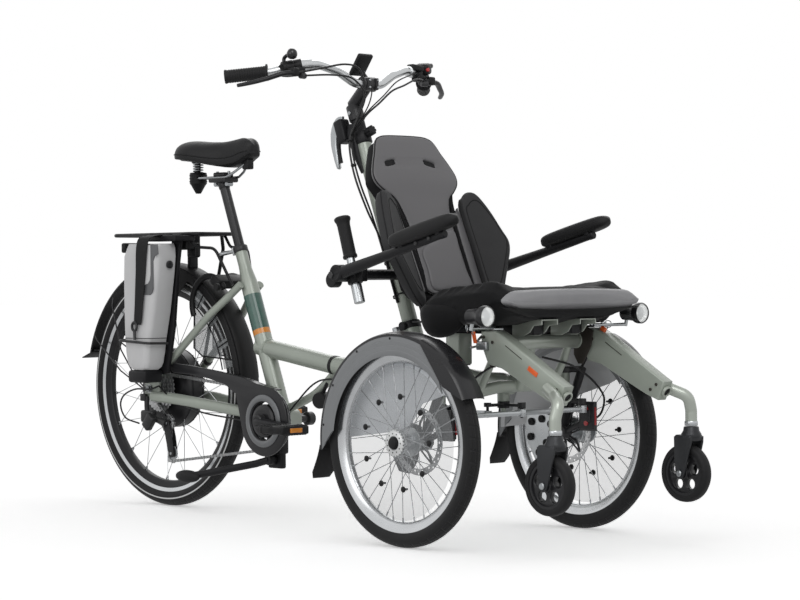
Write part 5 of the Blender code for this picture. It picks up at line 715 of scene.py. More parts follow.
clear_guard = clear_coat("clear_guard", "a4a6a8", 0.2, 0.16, "lamp")
front_rubber = tyre_coat("front_tyre_rubber", 110, 0.027, 0.07)
rotor_steel = finish("rotor_steel", "b9babb", 0.25, "steel", metal=0.95, drift=0.05, stretch=(1, 20, 1),
                     pitch=300.0)
pale_ring = finish("drilled_ring", "d5d6d6", 0.35, "alloy", metal=0.45, drift=0.05)
front_radius = 0.245
front_width = 0.042
wheel_y = 0.305
for label, side in (("right", -1.0), ("left", 1.0)):
    hub = Vector((0, side * wheel_y, front_radius))
    place = Matrix.Translation(hub) @ turn_to((0, side, 0))
    body = "front_wheel_" + label
    tyre = bmesh.new()
    add_turned(tyre, tyre_profile(front_radius, front_width), place, 144, ring=True)
    piece(f"front_tyre_rubber_{label}", tyre, front_rubber, body, (f"front_tyre_{label}",), sharp=60)
    rim = bmesh.new()
    add_turned(rim, [(0.212, 0.0158), (0.2132, 0.0146), (0.212, 0.0132), (0.2075, 0.0124), (0.1975, 0.007),
                     (0.1968, 0.0), (0.1975, -0.007), (0.2075, -0.0124), (0.212, -0.0132),
                     (0.2132, -0.0146), (0.212, -0.0158), (0.206, -0.0148), (0.199, -0.013), (0.19, -0.01),
                     (0.1855, -0.006), (0.1842, 0.0), (0.1855, 0.006), (0.19, 0.01), (0.199, 0.013),
                     (0.206, 0.0148)], place, 144, ring=True)
    piece(f"front_rim_{label}", rim, silver, body, (f"front_wheel_{label}",), sharp=40)
    spokes(f"front_spokes_{label}", hub, 0.03, 0.0235, -0.0235, 0.188, 40, spoke_steel, body)
    guard = bmesh.new()
    add_turned(guard, [(0.024, 0.0275), (0.06, 0.0255), (0.12, 0.0215), (0.176, 0.0165), (0.1815, 0.0158),
                       (0.1815, 0.0168), (0.176, 0.0175), (0.12, 0.0225), (0.06, 0.0265), (0.024, 0.0285)],
               place, 96, ring=True)
    piece(f"spoke_guard_{label}", guard, clear_guard, body, sharp=60)
    clip = bmesh.new()
    add_turned(clip, [(0.0, 0.0), (0.0058, 0.0), (0.0072, 0.0012), (0.0072, 0.003), (0.005, 0.0046),
                      (0.0, 0.005)], Matrix.Translation((0.109, side * 0.0218, 0.004)) @ turn_to((0, side,
                       0)), 24)
    add_rod(clip, (0.109, side * 0.01, 0.004), (0.109, side * 0.0226, 0.004), 0.0028, sides=12)
    round_hub(f"guard_clips_{label}", clip, 9, hub, black_plastic, body)
    barrel = bmesh.new()
    add_turned(barrel, [(0.0, -0.052), (0.013, -0.052), (0.02, -0.05), (0.02, -0.0475), (0.0185, -0.04),
                        (0.0185, -0.0262), (0.033, -0.0258), (0.0336, -0.0252), (0.0336, -0.0218),
                        (0.033, -0.0212), (0.019, -0.0195), (0.018, 0.0), (0.019, 0.0195), (0.033, 0.0212),
                        (0.0336, 0.0218), (0.0336, 0.0252), (0.033, 0.0258), (0.0175, 0.0275),
                        (0.0165, 0.03), (0.0, 0.03)], place, 48)
    piece(f"front_hub_{label}", barrel, alloy, body, sharp=35)
    ring = bmesh.new()
    add_turned(ring, [(0.0158, 0.0275), (0.0158, 0.0312), (0.017, 0.0322), (0.0262, 0.0312), (0.0282, 0.03),
                      (0.0282, 0.0275)], place, 48, ring=True)
    for i in range(22):
        a = 2 * math.pi * i / 22
        spot = place @ Vector((0.0288 * math.cos(a), 0.0288 * math.sin(a), 0.029))
        add_rod(ring, spot - Vector((0, side * 0.0024, 0)), spot + Vector((0, side * 0.0016, 0)), 0.003,
                sides=10)
    piece(f"hub_ring_{label}", ring, pale_ring, body, sharp=35)
    cap = bmesh.new()
    add_turned(cap, [(0.0, 0.039), (0.01, 0.0388), (0.0124, 0.0376), (0.0132, 0.0352), (0.014, 0.035),
                     (0.0146, 0.0338), (0.015, 0.03), (0.0, 0.03)], place, 40)
    for i in range(11):
        a = 2 * math.pi * i / 11
        spot = place @ Vector((0.0222 * math.cos(a), 0.0222 * math.sin(a), 0.0316))
        add_rod(cap, spot - Vector((0, side * 0.002, 0)), spot + Vector((0, side * 0.0006, 0)), 0.0019,
                sides=12)
    piece(f"hub_cap_{label}", cap, black_plastic, body, sharp=35)
    band = bmesh.new()
    vents = []
    for i in range(36):
        a = 2 * math.pi * i / 36
        vents.append([((0.0715 + 0.0024 * math.cos(b) + (0.004 if i % 2 else -0.002)) * math.cos(a)
                       - 0.0034 * math.sin(b) * math.sin(a),
                       (0.0715 + 0.0024 * math.cos(b) + (0.004 if i % 2 else -0.002)) * math.sin(a)
                       + 0.0034 * math.sin(b) * math.cos(a))
                      for b in (0.0, 0.8, 1.57, 2.35, 3.14, 3.93, 4.71, 5.5)])
    rotor_place = place @ Matrix.Translation((0, 0, -0.0488))
    circle = [(0.08 * math.cos(2 * math.pi * i / 96), 0.08 * math.sin(2 * math.pi * i / 96))
              for i in range(96)]
    inner = [(0.064 * math.cos(2 * math.pi * i / 72), 0.064 * math.sin(2 * math.pi * i / 72))
             for i in range(72)]
    add_plate(band, circle, 0.0019, rotor_place, edge=0.0003, holes=[inner, *vents])
    piece(f"brake_rotor_{label}", band, rotor_steel, body, sharp=35)
    arms = bmesh.new()
    rotor_y = side * -0.0488
    add_tube(arms, eased([(0.018, rotor_y, 0.004), (0.038, rotor_y, 0.016), (0.0655, rotor_y, 0.014)]),
             0.003, 8, tall=1.0)
    add_tube(arms, eased([(0.018, rotor_y, -0.004), (0.042, rotor_y, 0.004), (0.0655, rotor_y, 0.013)]),
             0.0022, 8, tall=1.0)
    round_hub(f"rotor_arms_{label}", arms, 6, hub, black_metal, body)

# Front mudguards
# Each is a deep moulded shell over the wheel, bolted to the knuckle so it steers with it: satin
# grey skirts with stepped ridges, a black crown, a black nose shell and a rubber flap behind.
grey_plastic = finish("grey_skirt", "77797b", 0.34, "grey_plastic", metal=0.15, coat=0.25, drift=0.05,
                      patch=4.0, grain=0.14)
dark_shell = finish("dark_shell", "242426", 0.3, "black_plastic", coat=0.22, drift=0.08, patch=6.0,
                    grain=0.08)
flap_rubber = finish("flap_rubber", "1f1f20", 0.6, "rubber", drift=0.12, grain=0.3)
spray_grey = finish("spray_panel", "b4b5b7", 0.4, "grey_plastic", coat=0.1, drift=0.04, patch=5.0,
                    grain=0.12)
# Painted light: the right-hand spray panel is a paler copy of the same grey with a faint glow, standing in
# for the light that falls on it from outside the wheel. The left panel keeps the plain grey.
spray_painted_light = finish("spray_panel_painted_light", "d8dadd", 0.4, "grey_plastic", coat=0.1, drift=0.04, patch=5.0,
                    grain=0.12)
spray_painted_light.node_tree.nodes["Principled BSDF"].inputs["Emission Color"].default_value = (0.8, 0.85, 0.9, 1.0)
spray_painted_light.node_tree.nodes["Principled BSDF"].inputs["Emission Strength"].default_value = 0.12


def slanted(shape, place, front, rear):
    """Moves the ends of a shell turned round the hub so that each runs at a slant to the radius.

    Both ends are (radius, degrees) pairs, straight between them and level past them.
    """
    def at(ramp, r):
        (r1, a1), (r2, a2) = ramp
        return a1 + (a2 - a1) * min(1.0, max(0.0, (r - r1) / (r2 - r1)))

    back = place.inverted()
    for vert in shape.verts:
        p = back @ vert.co
        r = math.hypot(p.x, p.y)
        share = (math.degrees(math.atan2(-p.y, p.x)) % 360 - 60.0) / 60.0
        a = -math.radians(at(front, r) + (at(rear, r) - at(front, r)) * share)
        vert.co = place @ Vector((r * math.cos(a), r * math.sin(a), p.z))
    return shape


for label, side in (("right", -1.0), ("left", 1.0)):
    hub = Vector((0, side * wheel_y, front_radius))
    place = on_axle(*hub)
    body = "knuckle_" + label
    spray = bmesh.new()
    add_plate(spray, arc(0, front_radius, 0.24, 180, 38, 40)
              + [(0.13, 0.365), (0.03, 0.335), (-0.005, 0.29), (-0.034, 0.27), (-0.235, 0.245)], 0.002,
              side_place(side * 0.2705), edge=0.0005)
    # The right panel takes the paler, glowing copy of the grey as painted light.
    piece(f"spray_panel_{label}", spray, spray_grey if side > 0 else spray_painted_light, body)
    for wall_name, wall in (("outer", side), ("inner", -side)):
        skirt = bmesh.new()
        steps = [(0.203, 0.0362), (0.2055, 0.0372), (0.215, 0.037), (0.216, 0.036), (0.2262, 0.0358),
                 (0.2272, 0.0348), (0.237, 0.0347), (0.238, 0.0338), (0.2478, 0.0336), (0.2528, 0.032),
                 (0.2518, 0.0298), (0.238, 0.0312), (0.227, 0.0326), (0.216, 0.0338), (0.205, 0.0342)]
        add_turned(skirt, [(r, h * wall) for r, h in steps], place, 96, ring=True, start=math.radians(-60),
                   sweep=math.radians(-60))
        slanted(skirt, place, ((0.205, 36), (0.245, 66)), ((0.205, 174), (0.248, 186)))
        piece(f"skirt_{wall_name}_{label}", skirt, grey_plastic, body, (f"fender_{label}",), sharp=24)
    crown = bmesh.new()
    over = [(0.248, -0.0343), (0.2535, -0.0332), (0.2562, -0.027), (0.2585, -0.016), (0.2596, 0.0),
            (0.2585, 0.016), (0.2562, 0.027), (0.2535, 0.0332), (0.248, 0.0343), (0.248, 0.033),
            (0.2518, 0.0318), (0.254, 0.025), (0.256, 0.015), (0.2568, 0.0), (0.256, -0.015),
            (0.254, -0.025), (0.2518, -0.0318), (0.248, -0.033)]
    add_turned(crown, over, place, 96, ring=True, start=math.radians(-30), sweep=math.radians(-156))
    piece(f"crown_{label}", crown, dark_shell, body, sharp=32)
    nose = bmesh.new()
    cover = [(0.216, 0.0384), (0.2405, 0.0382), (0.253, 0.0366), (0.258, 0.03), (0.2602, 0.018),
             (0.2612, 0.0), (0.2602, -0.018), (0.258, -0.03), (0.253, -0.0366), (0.2405, -0.0382),
             (0.216, -0.0384), (0.216, -0.0364), (0.2405, -0.0358), (0.2522, -0.0342), (0.256, -0.0285),
             (0.2582, -0.017), (0.259, 0.0), (0.2582, 0.017), (0.256, 0.0285), (0.2522, 0.0342),
             (0.2405, 0.0358), (0.216, 0.0364)]
    add_turned(nose, cover, place, 40, ring=True, start=math.radians(-60), sweep=math.radians(-60))
    slanted(nose, place, ((0.216, 39), (0.249, 25)), ((0.216, 43), (0.248, 69)))
    piece(f"nose_shell_{label}", nose, dark_shell, body, sharp=32)
    rivets = bmesh.new()
    for angle in (92, 120, 148, 172):
        a = math.radians(angle)
        for wall in (-1, 1):
            spot = hub + Vector((0.2432 * math.cos(a), wall * 0.0332, 0.2432 * math.sin(a)))
            add_turned(rivets, [(0.0, 0.0022), (0.0022, 0.0018), (0.0034, 0.0), (0.0034, -0.0012),
                                (0.0, -0.0012)], Matrix.Translation(spot) @ turn_to((0, wall, 0)), 16)
    piece(f"guard_rivets_{label}", rivets, black_plastic, body)
    tail = math.radians(186)
    flap = bmesh.new()
    root = hub + Vector((0.2535 * math.cos(tail), 0, 0.2535 * math.sin(tail)))
    rows = 10
    grid = []
    for i in range(rows + 1):
        t = i / rows
        out = root + Vector((-0.004 - 0.03 * t ** 1.4, 0, 0.012 - 0.082 * t))
        half = 0.03 + 0.006 * t - 0.01 * max(0.0, t - 0.8) / 0.2
        grid.append([(out + Vector((0.003 * math.cos(3 * (k / 8 - 0.5)), (k / 4 - 1) * half, 0)))
                     for k in range(9)])
    front_skin = [[flap.verts.new(p) for p in row] for row in grid]
    back_skin = [[flap.verts.new(p + Vector((-0.0032, 0, -0.0008))) for p in row] for row in grid]
    for skin_rows in (front_skin, back_skin):
        for a, b in zip(skin_rows, skin_rows[1:]):
            for k in range(8):
                flap.faces.new((a[k], a[k + 1], b[k + 1], b[k]))
    for a, b in ((front_skin[0], back_skin[0]), (front_skin[-1], back_skin[-1])):
        for k in range(8):
            flap.faces.new((a[k], a[k + 1], b[k + 1], b[k]))
    for k in (0, 8):
        for i in range(rows):
            flap.faces.new((front_skin[i][k], front_skin[i + 1][k], back_skin[i + 1][k], back_skin[i][k]))
    piece(f"mud_flap_{label}", flap, flap_rubber, body, sharp=50)

# Crank, pedals and chainring
# Forged black cranks on a steel spindle, a narrow steel chainring behind a black dished disc,
# and plastic platform pedals with an amber reflector let into each end.
crank = bmesh.new()
add_rod(crank, crank_centre + Vector((0, -0.094, 0)), crank_centre + Vector((0, 0.094, 0)), 0.01, sides=28)
for side, tip in ((-1.0, Vector((-0.6024, -0.096, 0.2431))), (1.0, Vector((-0.9416, 0.096, 0.2669)))):
    root = crank_centre + Vector((0, side * 0.087, 0))
    run = tip - root
    add_tube(crank, [root, root + run * 0.08, root + run * 0.5, root + run * 0.92, tip],
             [0.019, 0.016, 0.0125, 0.0125, 0.0125], 28, tall=0.62)
    add_turned(crank, [(0.0, -0.0105), (0.0165, -0.0105), (0.018, -0.009), (0.018, 0.008), (0.0165, 0.01),
                       (0.0105, 0.0102), (0.01, 0.0085), (0.0, 0.0085)],
               Matrix.Translation(root) @ turn_to((0, side, 0)), 40)
    add_turned(crank, [(0.0, -0.007), (0.0115, -0.007), (0.0128, -0.0056), (0.0128, 0.0056),
                       (0.0115, 0.007), (0.0, 0.007)], Matrix.Translation(tip) @ turn_to((0, side, 0)), 36)
piece("crank_arms", crank, black_metal, "crankset", ("crankset",), sharp=35)
disc = bmesh.new()
add_turned(disc, [(0.01, 0.026), (0.03, 0.0285), (0.04, 0.027), (0.044, 0.023), (0.044, 0.002), (0.04, 0.0),
                  (0.01, 0.0)], Matrix.Translation(crank_centre
               + Vector((0, -0.0505, 0))) @ turn_to((0, -1, 0)), 64, ring=True)
piece("crank_disc", disc, dark_shell, "crankset")
ring = bmesh.new()
outline = []
for i in range(38 * 4):
    a = 2 * math.pi * i / (38 * 4)
    outline.append(((0.0782, 0.077, 0.0728, 0.077)[i % 4] * math.cos(a),
                    (0.0782, 0.077, 0.0728, 0.077)[i % 4] * math.sin(a)))
bore = [(0.052 * math.cos(2 * math.pi * i / 48), 0.052 * math.sin(2 * math.pi * i / 48)) for i in range(48)]
add_plate(ring, outline, 0.0021, Matrix.Translation(crank_centre
              + Vector((0, -0.0505, 0))) @ turn_to((0, -1, 0)), edge=0.0003, holes=[bore])
for i in range(5):
    a = 2 * math.pi * i / 5 + 0.3
    inner_spot = crank_centre + Vector((0.03 * math.cos(a), -0.0505, 0.03 * math.sin(a)))
    outer_spot = crank_centre + Vector((0.057 * math.cos(a), -0.0505, 0.057 * math.sin(a)))
    add_tube(ring, [inner_spot, outer_spot], [0.007, 0.0045], 12, tall=0.5)
piece("chainring_teeth", ring, steel, "crankset")
ring_bolts = bmesh.new()
add_rod(ring_bolts, (0.0555, -0.0045, 0), (0.0555, 0.0035, 0), 0.0042, sides=18)
round_hub("chainring_bolts", ring_bolts, 5, crank_centre + Vector((0, -0.0505, 0)), steel, "crankset")
amber = finish("amber_reflector", "d9851f", 0.14, "lamp", coat=0.6, drift=0.1, patch=120.0, grain=0.5,
               pitch=350.0, hide=True)
for label, side, middle_x, middle_z in (("right", -1.0, -0.6024, 0.2431), ("left", 1.0, -0.9416, 0.2669)):
    middle = Vector((middle_x, side * 0.149, middle_z))
    pedal = bmesh.new()
    add_rod(pedal, middle - Vector((0, 0.045, 0)), middle + Vector((0, 0.045, 0)), 0.0115, sides=28,
            edge=0.002)
    for ahead in (-0.0375, 0.0375):
        add_box(pedal, (0.018, 0.09, 0.0225), middle + Vector((ahead, 0, 0)), edge=0.0045, segments=3)
        for k in range(9):
            for up in (-1, 1):
                add_box(pedal, (0.012, 0.003, 0.0022),
                        middle + Vector((ahead, -0.036 + k * 0.009, up * 0.012)), edge=0.0008)
    for across in (-0.041, 0.041):
        add_box(pedal, (0.086, 0.008, 0.018), middle + Vector((0, across, 0)), edge=0.003)
    for k in (-0.018, 0.018):
        add_box(pedal, (0.074, 0.006, 0.012), middle + Vector((0, k, 0)), edge=0.0015)
    piece(f"pedal_body_{label}", pedal, black_plastic, "pedal_" + label, (f"pedal_{label}",))
    lens = bmesh.new()
    for ahead in (-1, 1):
        add_box(lens, (0.003, 0.04, 0.0115), middle + Vector((ahead * 0.047, 0, 0)), edge=0.001)
    piece(f"pedal_reflectors_{label}", lens, amber, "pedal_" + label)

# Seat cushion
# A foam cushion on a board: a dark grey skin on its front, a black top that rises into side
# bolsters and dips in the middle. Its underside curves up at the front. It lies on the two seat rails.


def skin_coat(name, code, rough, drift=0.08, grain=0.45, pitch=520.0):
    """Upholstery: a fine leather grain with a soft sheen."""
    return finish(name, code, rough, "soft_black", sheen=0.05, drift=drift, patch=7.0, grain=grain,
                  pitch=pitch, hide=True, depth=0.0005)


black_skin = skin_coat("black_skin", "1d1d1e", 0.55)
black_skin.node_tree.nodes["Principled BSDF"].inputs["Specular IOR Level"].default_value = 0.03
grey_skin = skin_coat("grey_skin", "8d8d8f", 0.5)
grey_skin.node_tree.nodes["Principled BSDF"].inputs["Specular IOR Level"].default_value = 0.25
panel_grey = finish("backrest_panel_grey", "646365", 0.52, "soft_grey", sheen=0.1, drift=0.05, patch=5.0,
                    grain=0.3, pitch=620.0, hide=True)
thread = finish("black_thread", "1c1c1d", 0.7, "soft_black", drift=0.15, patch=200.0, grain=0.5)
seat_stations = [(-0.105, 0.15, 0.556, 0.55), (-0.09, 0.17, 0.566, 0.562), (-0.06, 0.198, 0.57, 0.574),
                 (-0.04, 0.213, 0.573, 0.583), (-0.02, 0.226, 0.575, 0.59), (0.0, 0.232, 0.577, 0.596),
                 (0.02, 0.236, 0.58, 0.6), (0.08, 0.238, 0.586, 0.607), (0.15, 0.238, 0.592, 0.614),
                 (0.205, 0.238, 0.597, 0.618), (0.24, 0.236, 0.598, 0.602), (0.262, 0.23, 0.594, 0.59),
                 (0.272, 0.218, 0.582, 0.572)]


def closed_loft(rings):
    """A skin over a row of closed rings with both ends filled."""
    shape = bmesh.new()
    made = [[shape.verts.new(p) for p in ring] for ring in rings]
    count = len(made[0])
    for first, second in zip(made, made[1:]):
        for k in range(count):
            shape.faces.new((first[k - 1], first[k], second[k], second[k - 1]))
    for ring in (made[0], made[-1][::-1]):
        centre = shape.verts.new(sum((v.co for v in ring), Vector()) / count)
        for k in range(count):
            shape.faces.new((ring[k - 1], ring[k], centre))
    return shape


def station_at(x):
    """The cushion's half width, crown and flank heights between two stations."""
    for a, b in zip(seat_stations, seat_stations[1:]):
        if a[0] <= x <= b[0]:
            t = (x - a[0]) / (b[0] - a[0])
            return [a[i] * (1 - t) + b[i] * t for i in (1, 2, 3)]
    return seat_stations[-1][1:]


def seat_ring(x, pull=0.0, drop=0.0):
    """One closed section of the cushion, pulled in by a given amount."""
    half, crown, flank = station_at(x)
    half -= pull
    ring = []
    for k in range(17):
        y = -1 + 2 * k / 16
        bolster = max(0.0, (abs(y) - 0.52) / 0.48)
        z = crown + 0.006 * (1 - y * y) + (flank - crown) * min(1.0,
            bolster * 1.5) ** 1.6 - 0.016 * max(0.0, (abs(y) - 0.9) / 0.1) ** 2
        ring.append((x, y * half, z - drop))
    rise = min(1.0, max(0.0, (x - 0.165) / 0.055))
    edge = ((1.006, 0.556, 0.5), (1.002, 0.54, 0.75), (0.985, 0.528, 1.0), (0.955, 0.5236, 1.0))
    ring += [(x, half * y, z + 0.04 * rise * share) for y, z, share in edge]
    ring += [(x, half * y, 0.523 + rise * (0.012 + 0.028 * max(0.0, (abs(y) - 0.55) / 0.405) ** 1.5))
             for y in [0.955 - 0.191 * i for i in range(1, 10)]]
    ring += [(x, -half * y, z + 0.04 * rise * share) for y, z, share in reversed(edge)]
    return [Vector(p) for p in ring]


def puff(shape, seconds=20, pressure=4.0, most=0.007, voxel=0.006):
    """Blows foam into a drawn shape with the cloth solver, and keeps every point near its drawing."""
    mesh = bpy.data.meshes.new("foam")
    shape.to_mesh(mesh)
    shape.free()
    foam = bpy.data.objects.new("foam", mesh)
    bpy.context.scene.collection.objects.link(foam)
    remesh = foam.modifiers.new("remesh", "REMESH")
    remesh.mode = "VOXEL"
    remesh.voxel_size = voxel
    bpy.context.view_layer.update()
    foam.data = bpy.data.meshes.new_from_object(foam.evaluated_get(bpy.context.evaluated_depsgraph_get()))
    foam.modifiers.clear()
    drawn = [v.co.copy() for v in foam.data.vertices]
    cloth = foam.modifiers.new("cloth", "CLOTH")
    cloth.settings.use_pressure = True
    cloth.settings.uniform_pressure_force = pressure
    cloth.settings.tension_stiffness = 12.0
    cloth.settings.compression_stiffness = 12.0
    cloth.settings.shear_stiffness = 6.0
    cloth.settings.bending_stiffness = 1.5
    cloth.settings.effector_weights.gravity = 0.0
    cloth.point_cache.frame_end = seconds
    for step in range(1, seconds + 1):
        bpy.context.scene.frame_set(step)
    blown = bpy.data.meshes.new_from_object(foam.evaluated_get(bpy.context.evaluated_depsgraph_get()))
    foam.modifiers.clear()
    bpy.context.scene.frame_set(1)
    for vertex, was in zip(blown.vertices, drawn):
        move = vertex.co - was
        if move.length > most:
            vertex.co = was + move.normalized() * most
    result = bmesh.new()
    result.from_mesh(blown)
    bpy.data.objects.remove(foam)
    return result


seat_xs = [-0.103, -0.098, -0.088, -0.07, -0.045, -0.015, 0.015, 0.045, 0.075, 0.105, 0.135, 0.165, 0.19,
           0.212, 0.23, 0.244, 0.254]
seat_pulls = [0.02, 0.01, 0.004, 0.001] + [0.0] * 13
seat_top = closed_loft([seat_ring(x, 0.004 + pull, 0.004 + pull * 0.4) for x,
                        pull in zip(seat_xs, seat_pulls)])
bmesh.ops.recalc_face_normals(seat_top, faces=seat_top.faces)
seat_top = puff(seat_top)
cushion = piece("seat_cushion_top", seat_top, black_skin, "frame", ("seat_cushion",), sharp=70, soften=1)
front_xs = [0.246, 0.25, 0.254, 0.259, 0.263, 0.267, 0.27, 0.272]


def tucked(p, top, pull):
    """A point of the cushion's front, drawn back under it below the seam."""
    under = min(1.0, max(0.0, 0.562 - p.z) / 0.03)
    top += 0.005 * max(0.0, (abs(p.y) - 0.13) / 0.1) ** 1.5
    return Vector((p.x - pull * under * max(0.0, (p.x - 0.246) / 0.026), p.y, min(top, p.z)))


front_skin_shape = closed_loft([[tucked(p, 1.0, 0.022)
                                 for p in seat_ring(x, -0.0006 + 0.0006 * i, 0.0015)] for i,
                                x in enumerate(front_xs)])
cushion_front = piece("seat_cushion_front", front_skin_shape, grey_skin, "frame", sharp=70, soften=1)
front_base = closed_loft([[tucked(p, 0.5535, 0.018) for p in seat_ring(x, -0.003 + 0.0006 * i, 0.0015)]
                          for i, x in enumerate([*front_xs[:-1], 0.2735])])
base_piece = piece("seat_cushion_front_base", front_base, black_skin, "frame", sharp=70)
for label, side in (("right", -1.0), ("left", 1.0)):
    bowl_rings = []
    for i in range(15):
        s = -1 + i / 7
        swell = max(0.1, (1 - s * s) ** 0.5)
        x = 0.024 + 0.09 * s
        half = station_at(x)[0]
        bowl_rings.append([Vector((x, side * (half - 0.027 + 0.029 * swell ** 0.5 * math.cos(a)),
                                   0.548 + (0.022 if math.sin(a) > 0 else 0.062) * swell * math.sin(a)))
                           for a in [2 * math.pi * k / 24 for k in range(24)]])
    bowl = piece(f"seat_side_bowl_{label}", closed_loft(bowl_rings), black_skin, "frame", sharp=70, soften=1)
board = bmesh.new()
add_box(board, (0.265, 0.38, 0.004), (0.045, 0, 0.523), edge=0.0012)
piece("seat_board", board, black_plastic, "frame")

# Backrest
# A thin moulded shell with a grey padded panel pulled over its front. The panel has two slots
# for a harness and a lower pad between two black stripes. It bolts to the seat's two uprights.
back_tilt = math.radians(23.7)
back_up = Vector((-math.sin(back_tilt), 0, math.cos(back_tilt)))
back_out = Vector((math.cos(back_tilt), 0, math.sin(back_tilt)))
back_foot = Vector((-0.147, 0, 0.608))


def back_place(out):
    """A plane of the backrest: local X runs along +Y, local Y up the back, and Z out of its front."""
    place = Matrix.Identity(4)
    for i in range(3):
        place[i][0] = (0, 1, 0)[i]
        place[i][1] = back_up[i]
        place[i][2] = back_out[i]
        place[i][3] = (back_foot + back_out * out)[i]
    return place


def mirrored(half):
    """A whole outline from its right-hand half."""
    return [(x, y) for x, y in half] + [(-x, y) for x, y in half[::-1]]


def soft_outline(points, steps=6):
    """A closed outline smoothed through its points."""
    count = len(points)
    made = []
    for i in range(count):
        a, b, c, d = (Vector(points[(i + k - 1) % count]) for k in range(4))
        for s in range(steps):
            t = s / steps
            made.append(tuple(0.5 * (2 * b + (c - a) * t + (2 * a - 5 * b + 4 * c - d) * t ** 2
                                     + (3 * b - a - 3 * c + d) * t ** 3)))
    return made


def add_pad(shape, outline, place, bulge, edge_run=0.02, rows=7, back=-0.004, dish=0.0):
    """An upholstered panel: its face rises from the outline in a soft roll and stays nearly flat inside."""
    centre = Vector((sum(p[0] for p in outline) / len(outline), sum(p[1] for p in outline) / len(outline)))
    rings = [[place @ Vector((x, y, back)) for x, y in outline]]
    rings.append([place @ Vector((x, y, 0.0)) for x, y in outline])
    for r in range(1, rows + 1):
        t = r / rows
        ring = []
        for x, y in outline:
            toward = centre - Vector((x, y))
            run = min(edge_run, toward.length * 0.8) * (1 - math.cos(t * math.pi / 2))
            spot = Vector((x, y)) + toward.normalized() * run
            ring.append(place @ Vector((spot.x, spot.y, bulge * math.sin(t * math.pi / 2))))
        rings.append(ring)
    last = [Vector((x, y)) + (centre - Vector((x, y))).normalized()
            * min(edge_run, (centre - Vector((x, y))).length * 0.8) for x, y in outline]
    for shrink in (0.75, 0.45, 0.15):
        rings.append([place @ Vector((*(centre + (p - centre) * shrink),
                                      bulge - dish * (1 - shrink ** 2))) for p in last])
    skin = [[shape.verts.new(p) for p in ring] for ring in rings]
    count = len(outline)
    for first, second in zip(skin, skin[1:]):
        for k in range(count):
            shape.faces.new((first[k - 1], first[k], second[k], second[k - 1]))
    for ring in (skin[0], skin[-1]):
        middle = shape.verts.new(sum((v.co for v in ring), Vector()) / count)
        for k in range(count):
            shape.faces.new((ring[k - 1], ring[k], middle))
    return shape


shell_half = [(0.116, -0.018), (0.117, 0.12), (0.116, 0.215), (0.128, 0.262), (0.14, 0.285), (0.136, 0.305),
              (0.124, 0.335), (0.108, 0.365), (0.094, 0.39), (0.08, 0.4), (0.05, 0.405)]
front_half = [(0.07, -0.018), (0.075, 0.04), (0.075, 0.15), (0.081, 0.2), (0.093, 0.236), (0.116, 0.255),
              (0.137, 0.277), (0.142, 0.3), (0.131, 0.33), (0.114, 0.362), (0.101, 0.39), (0.086, 0.403),
              (0.05, 0.409)]
shell = bmesh.new()
add_plate(shell, soft_outline(mirrored(shell_half), 4), 0.032, back_place(-0.028), edge=0.007)
piece("backrest_shell", shell, black_skin, "frame", ("backrest",), sharp=50)
slots = []
for middle_y, slope in ((-0.0725, 0.2), (0.063, -0.25)):
    slots.append([(middle_y + dx, 0.334 + dy + slope * dx) for dx,
                  dy in ((-0.0185, -0.005), (-0.012, -0.0072), (0.012, -0.0072), (0.0185, -0.005),
                         (0.0185, 0.005), (0.012, 0.0072), (-0.012, 0.0072), (-0.0185, 0.005))])
panel = bmesh.new()
panel_outline = soft_outline(mirrored(front_half), 4)
add_plate(panel, panel_outline, 0.013, back_place(-0.0065), edge=0.0055, holes=slots)
backrest = piece("backrest_panel", panel, panel_grey, "frame", sharp=60)
behind = bmesh.new()
for slot_loop in slots:
    middle = Vector((sum(p[0] for p in slot_loop) / 8, sum(p[1] for p in slot_loop) / 8))
    grown = [tuple(middle + (Vector(p) - middle) * 1.12) for p in slot_loop]
    add_plate(behind, grown, 0.0022, back_place(-0.006), edge=0.0004)
piece("harness_slots", behind, thread, "frame", sharp=60)
lower = bmesh.new()
add_pad(lower, soft_outline([(-0.062, -0.01), (-0.062, 0.045), (-0.059, 0.095), (0.0, 0.124), (0.066, 0.15),
                             (0.07, 0.1), (0.07, 0.04), (0.069, -0.004), (0.0, -0.01)], 4),
        back_place(0.0006), 0.0055, edge_run=0.014)
lower_pad = piece("backrest_lower_pad", lower, panel_grey, "frame", sharp=65)
stripes = bmesh.new()
bands = bmesh.new()
for side in (-1, 1):
    add_plate(stripes, [(side * x, y) for x, y in ((0.0765, -0.014), (0.079, 0.12), (0.085, 0.196),
                            (0.094, 0.216), (0.101, 0.214), (0.093, 0.19), (0.0905, 0.12),
                            (0.088, -0.014))][::side], 0.01, back_place(-0.0075), edge=0.003)
    add_plate(bands, [(side * x, y) for x, y in ((0.0885, -0.014), (0.091, 0.12), (0.094, 0.19),
                          (0.115, 0.214), (0.115, -0.014))][::side], 0.011, back_place(-0.007), edge=0.003)
piece("backrest_stripes", stripes, black_skin, "frame", sharp=60)
piece("backrest_side_bands", bands, panel_grey, "frame", sharp=60)
seams = bmesh.new()
edge_loop = [back_place(-0.003) @ Vector((*p, 0)) for p in panel_outline]
add_tube(seams, edge_loop + [edge_loop[0]], 0.0016, 8)
piece("backrest_piping", seams, thread, "frame", sharp=70)

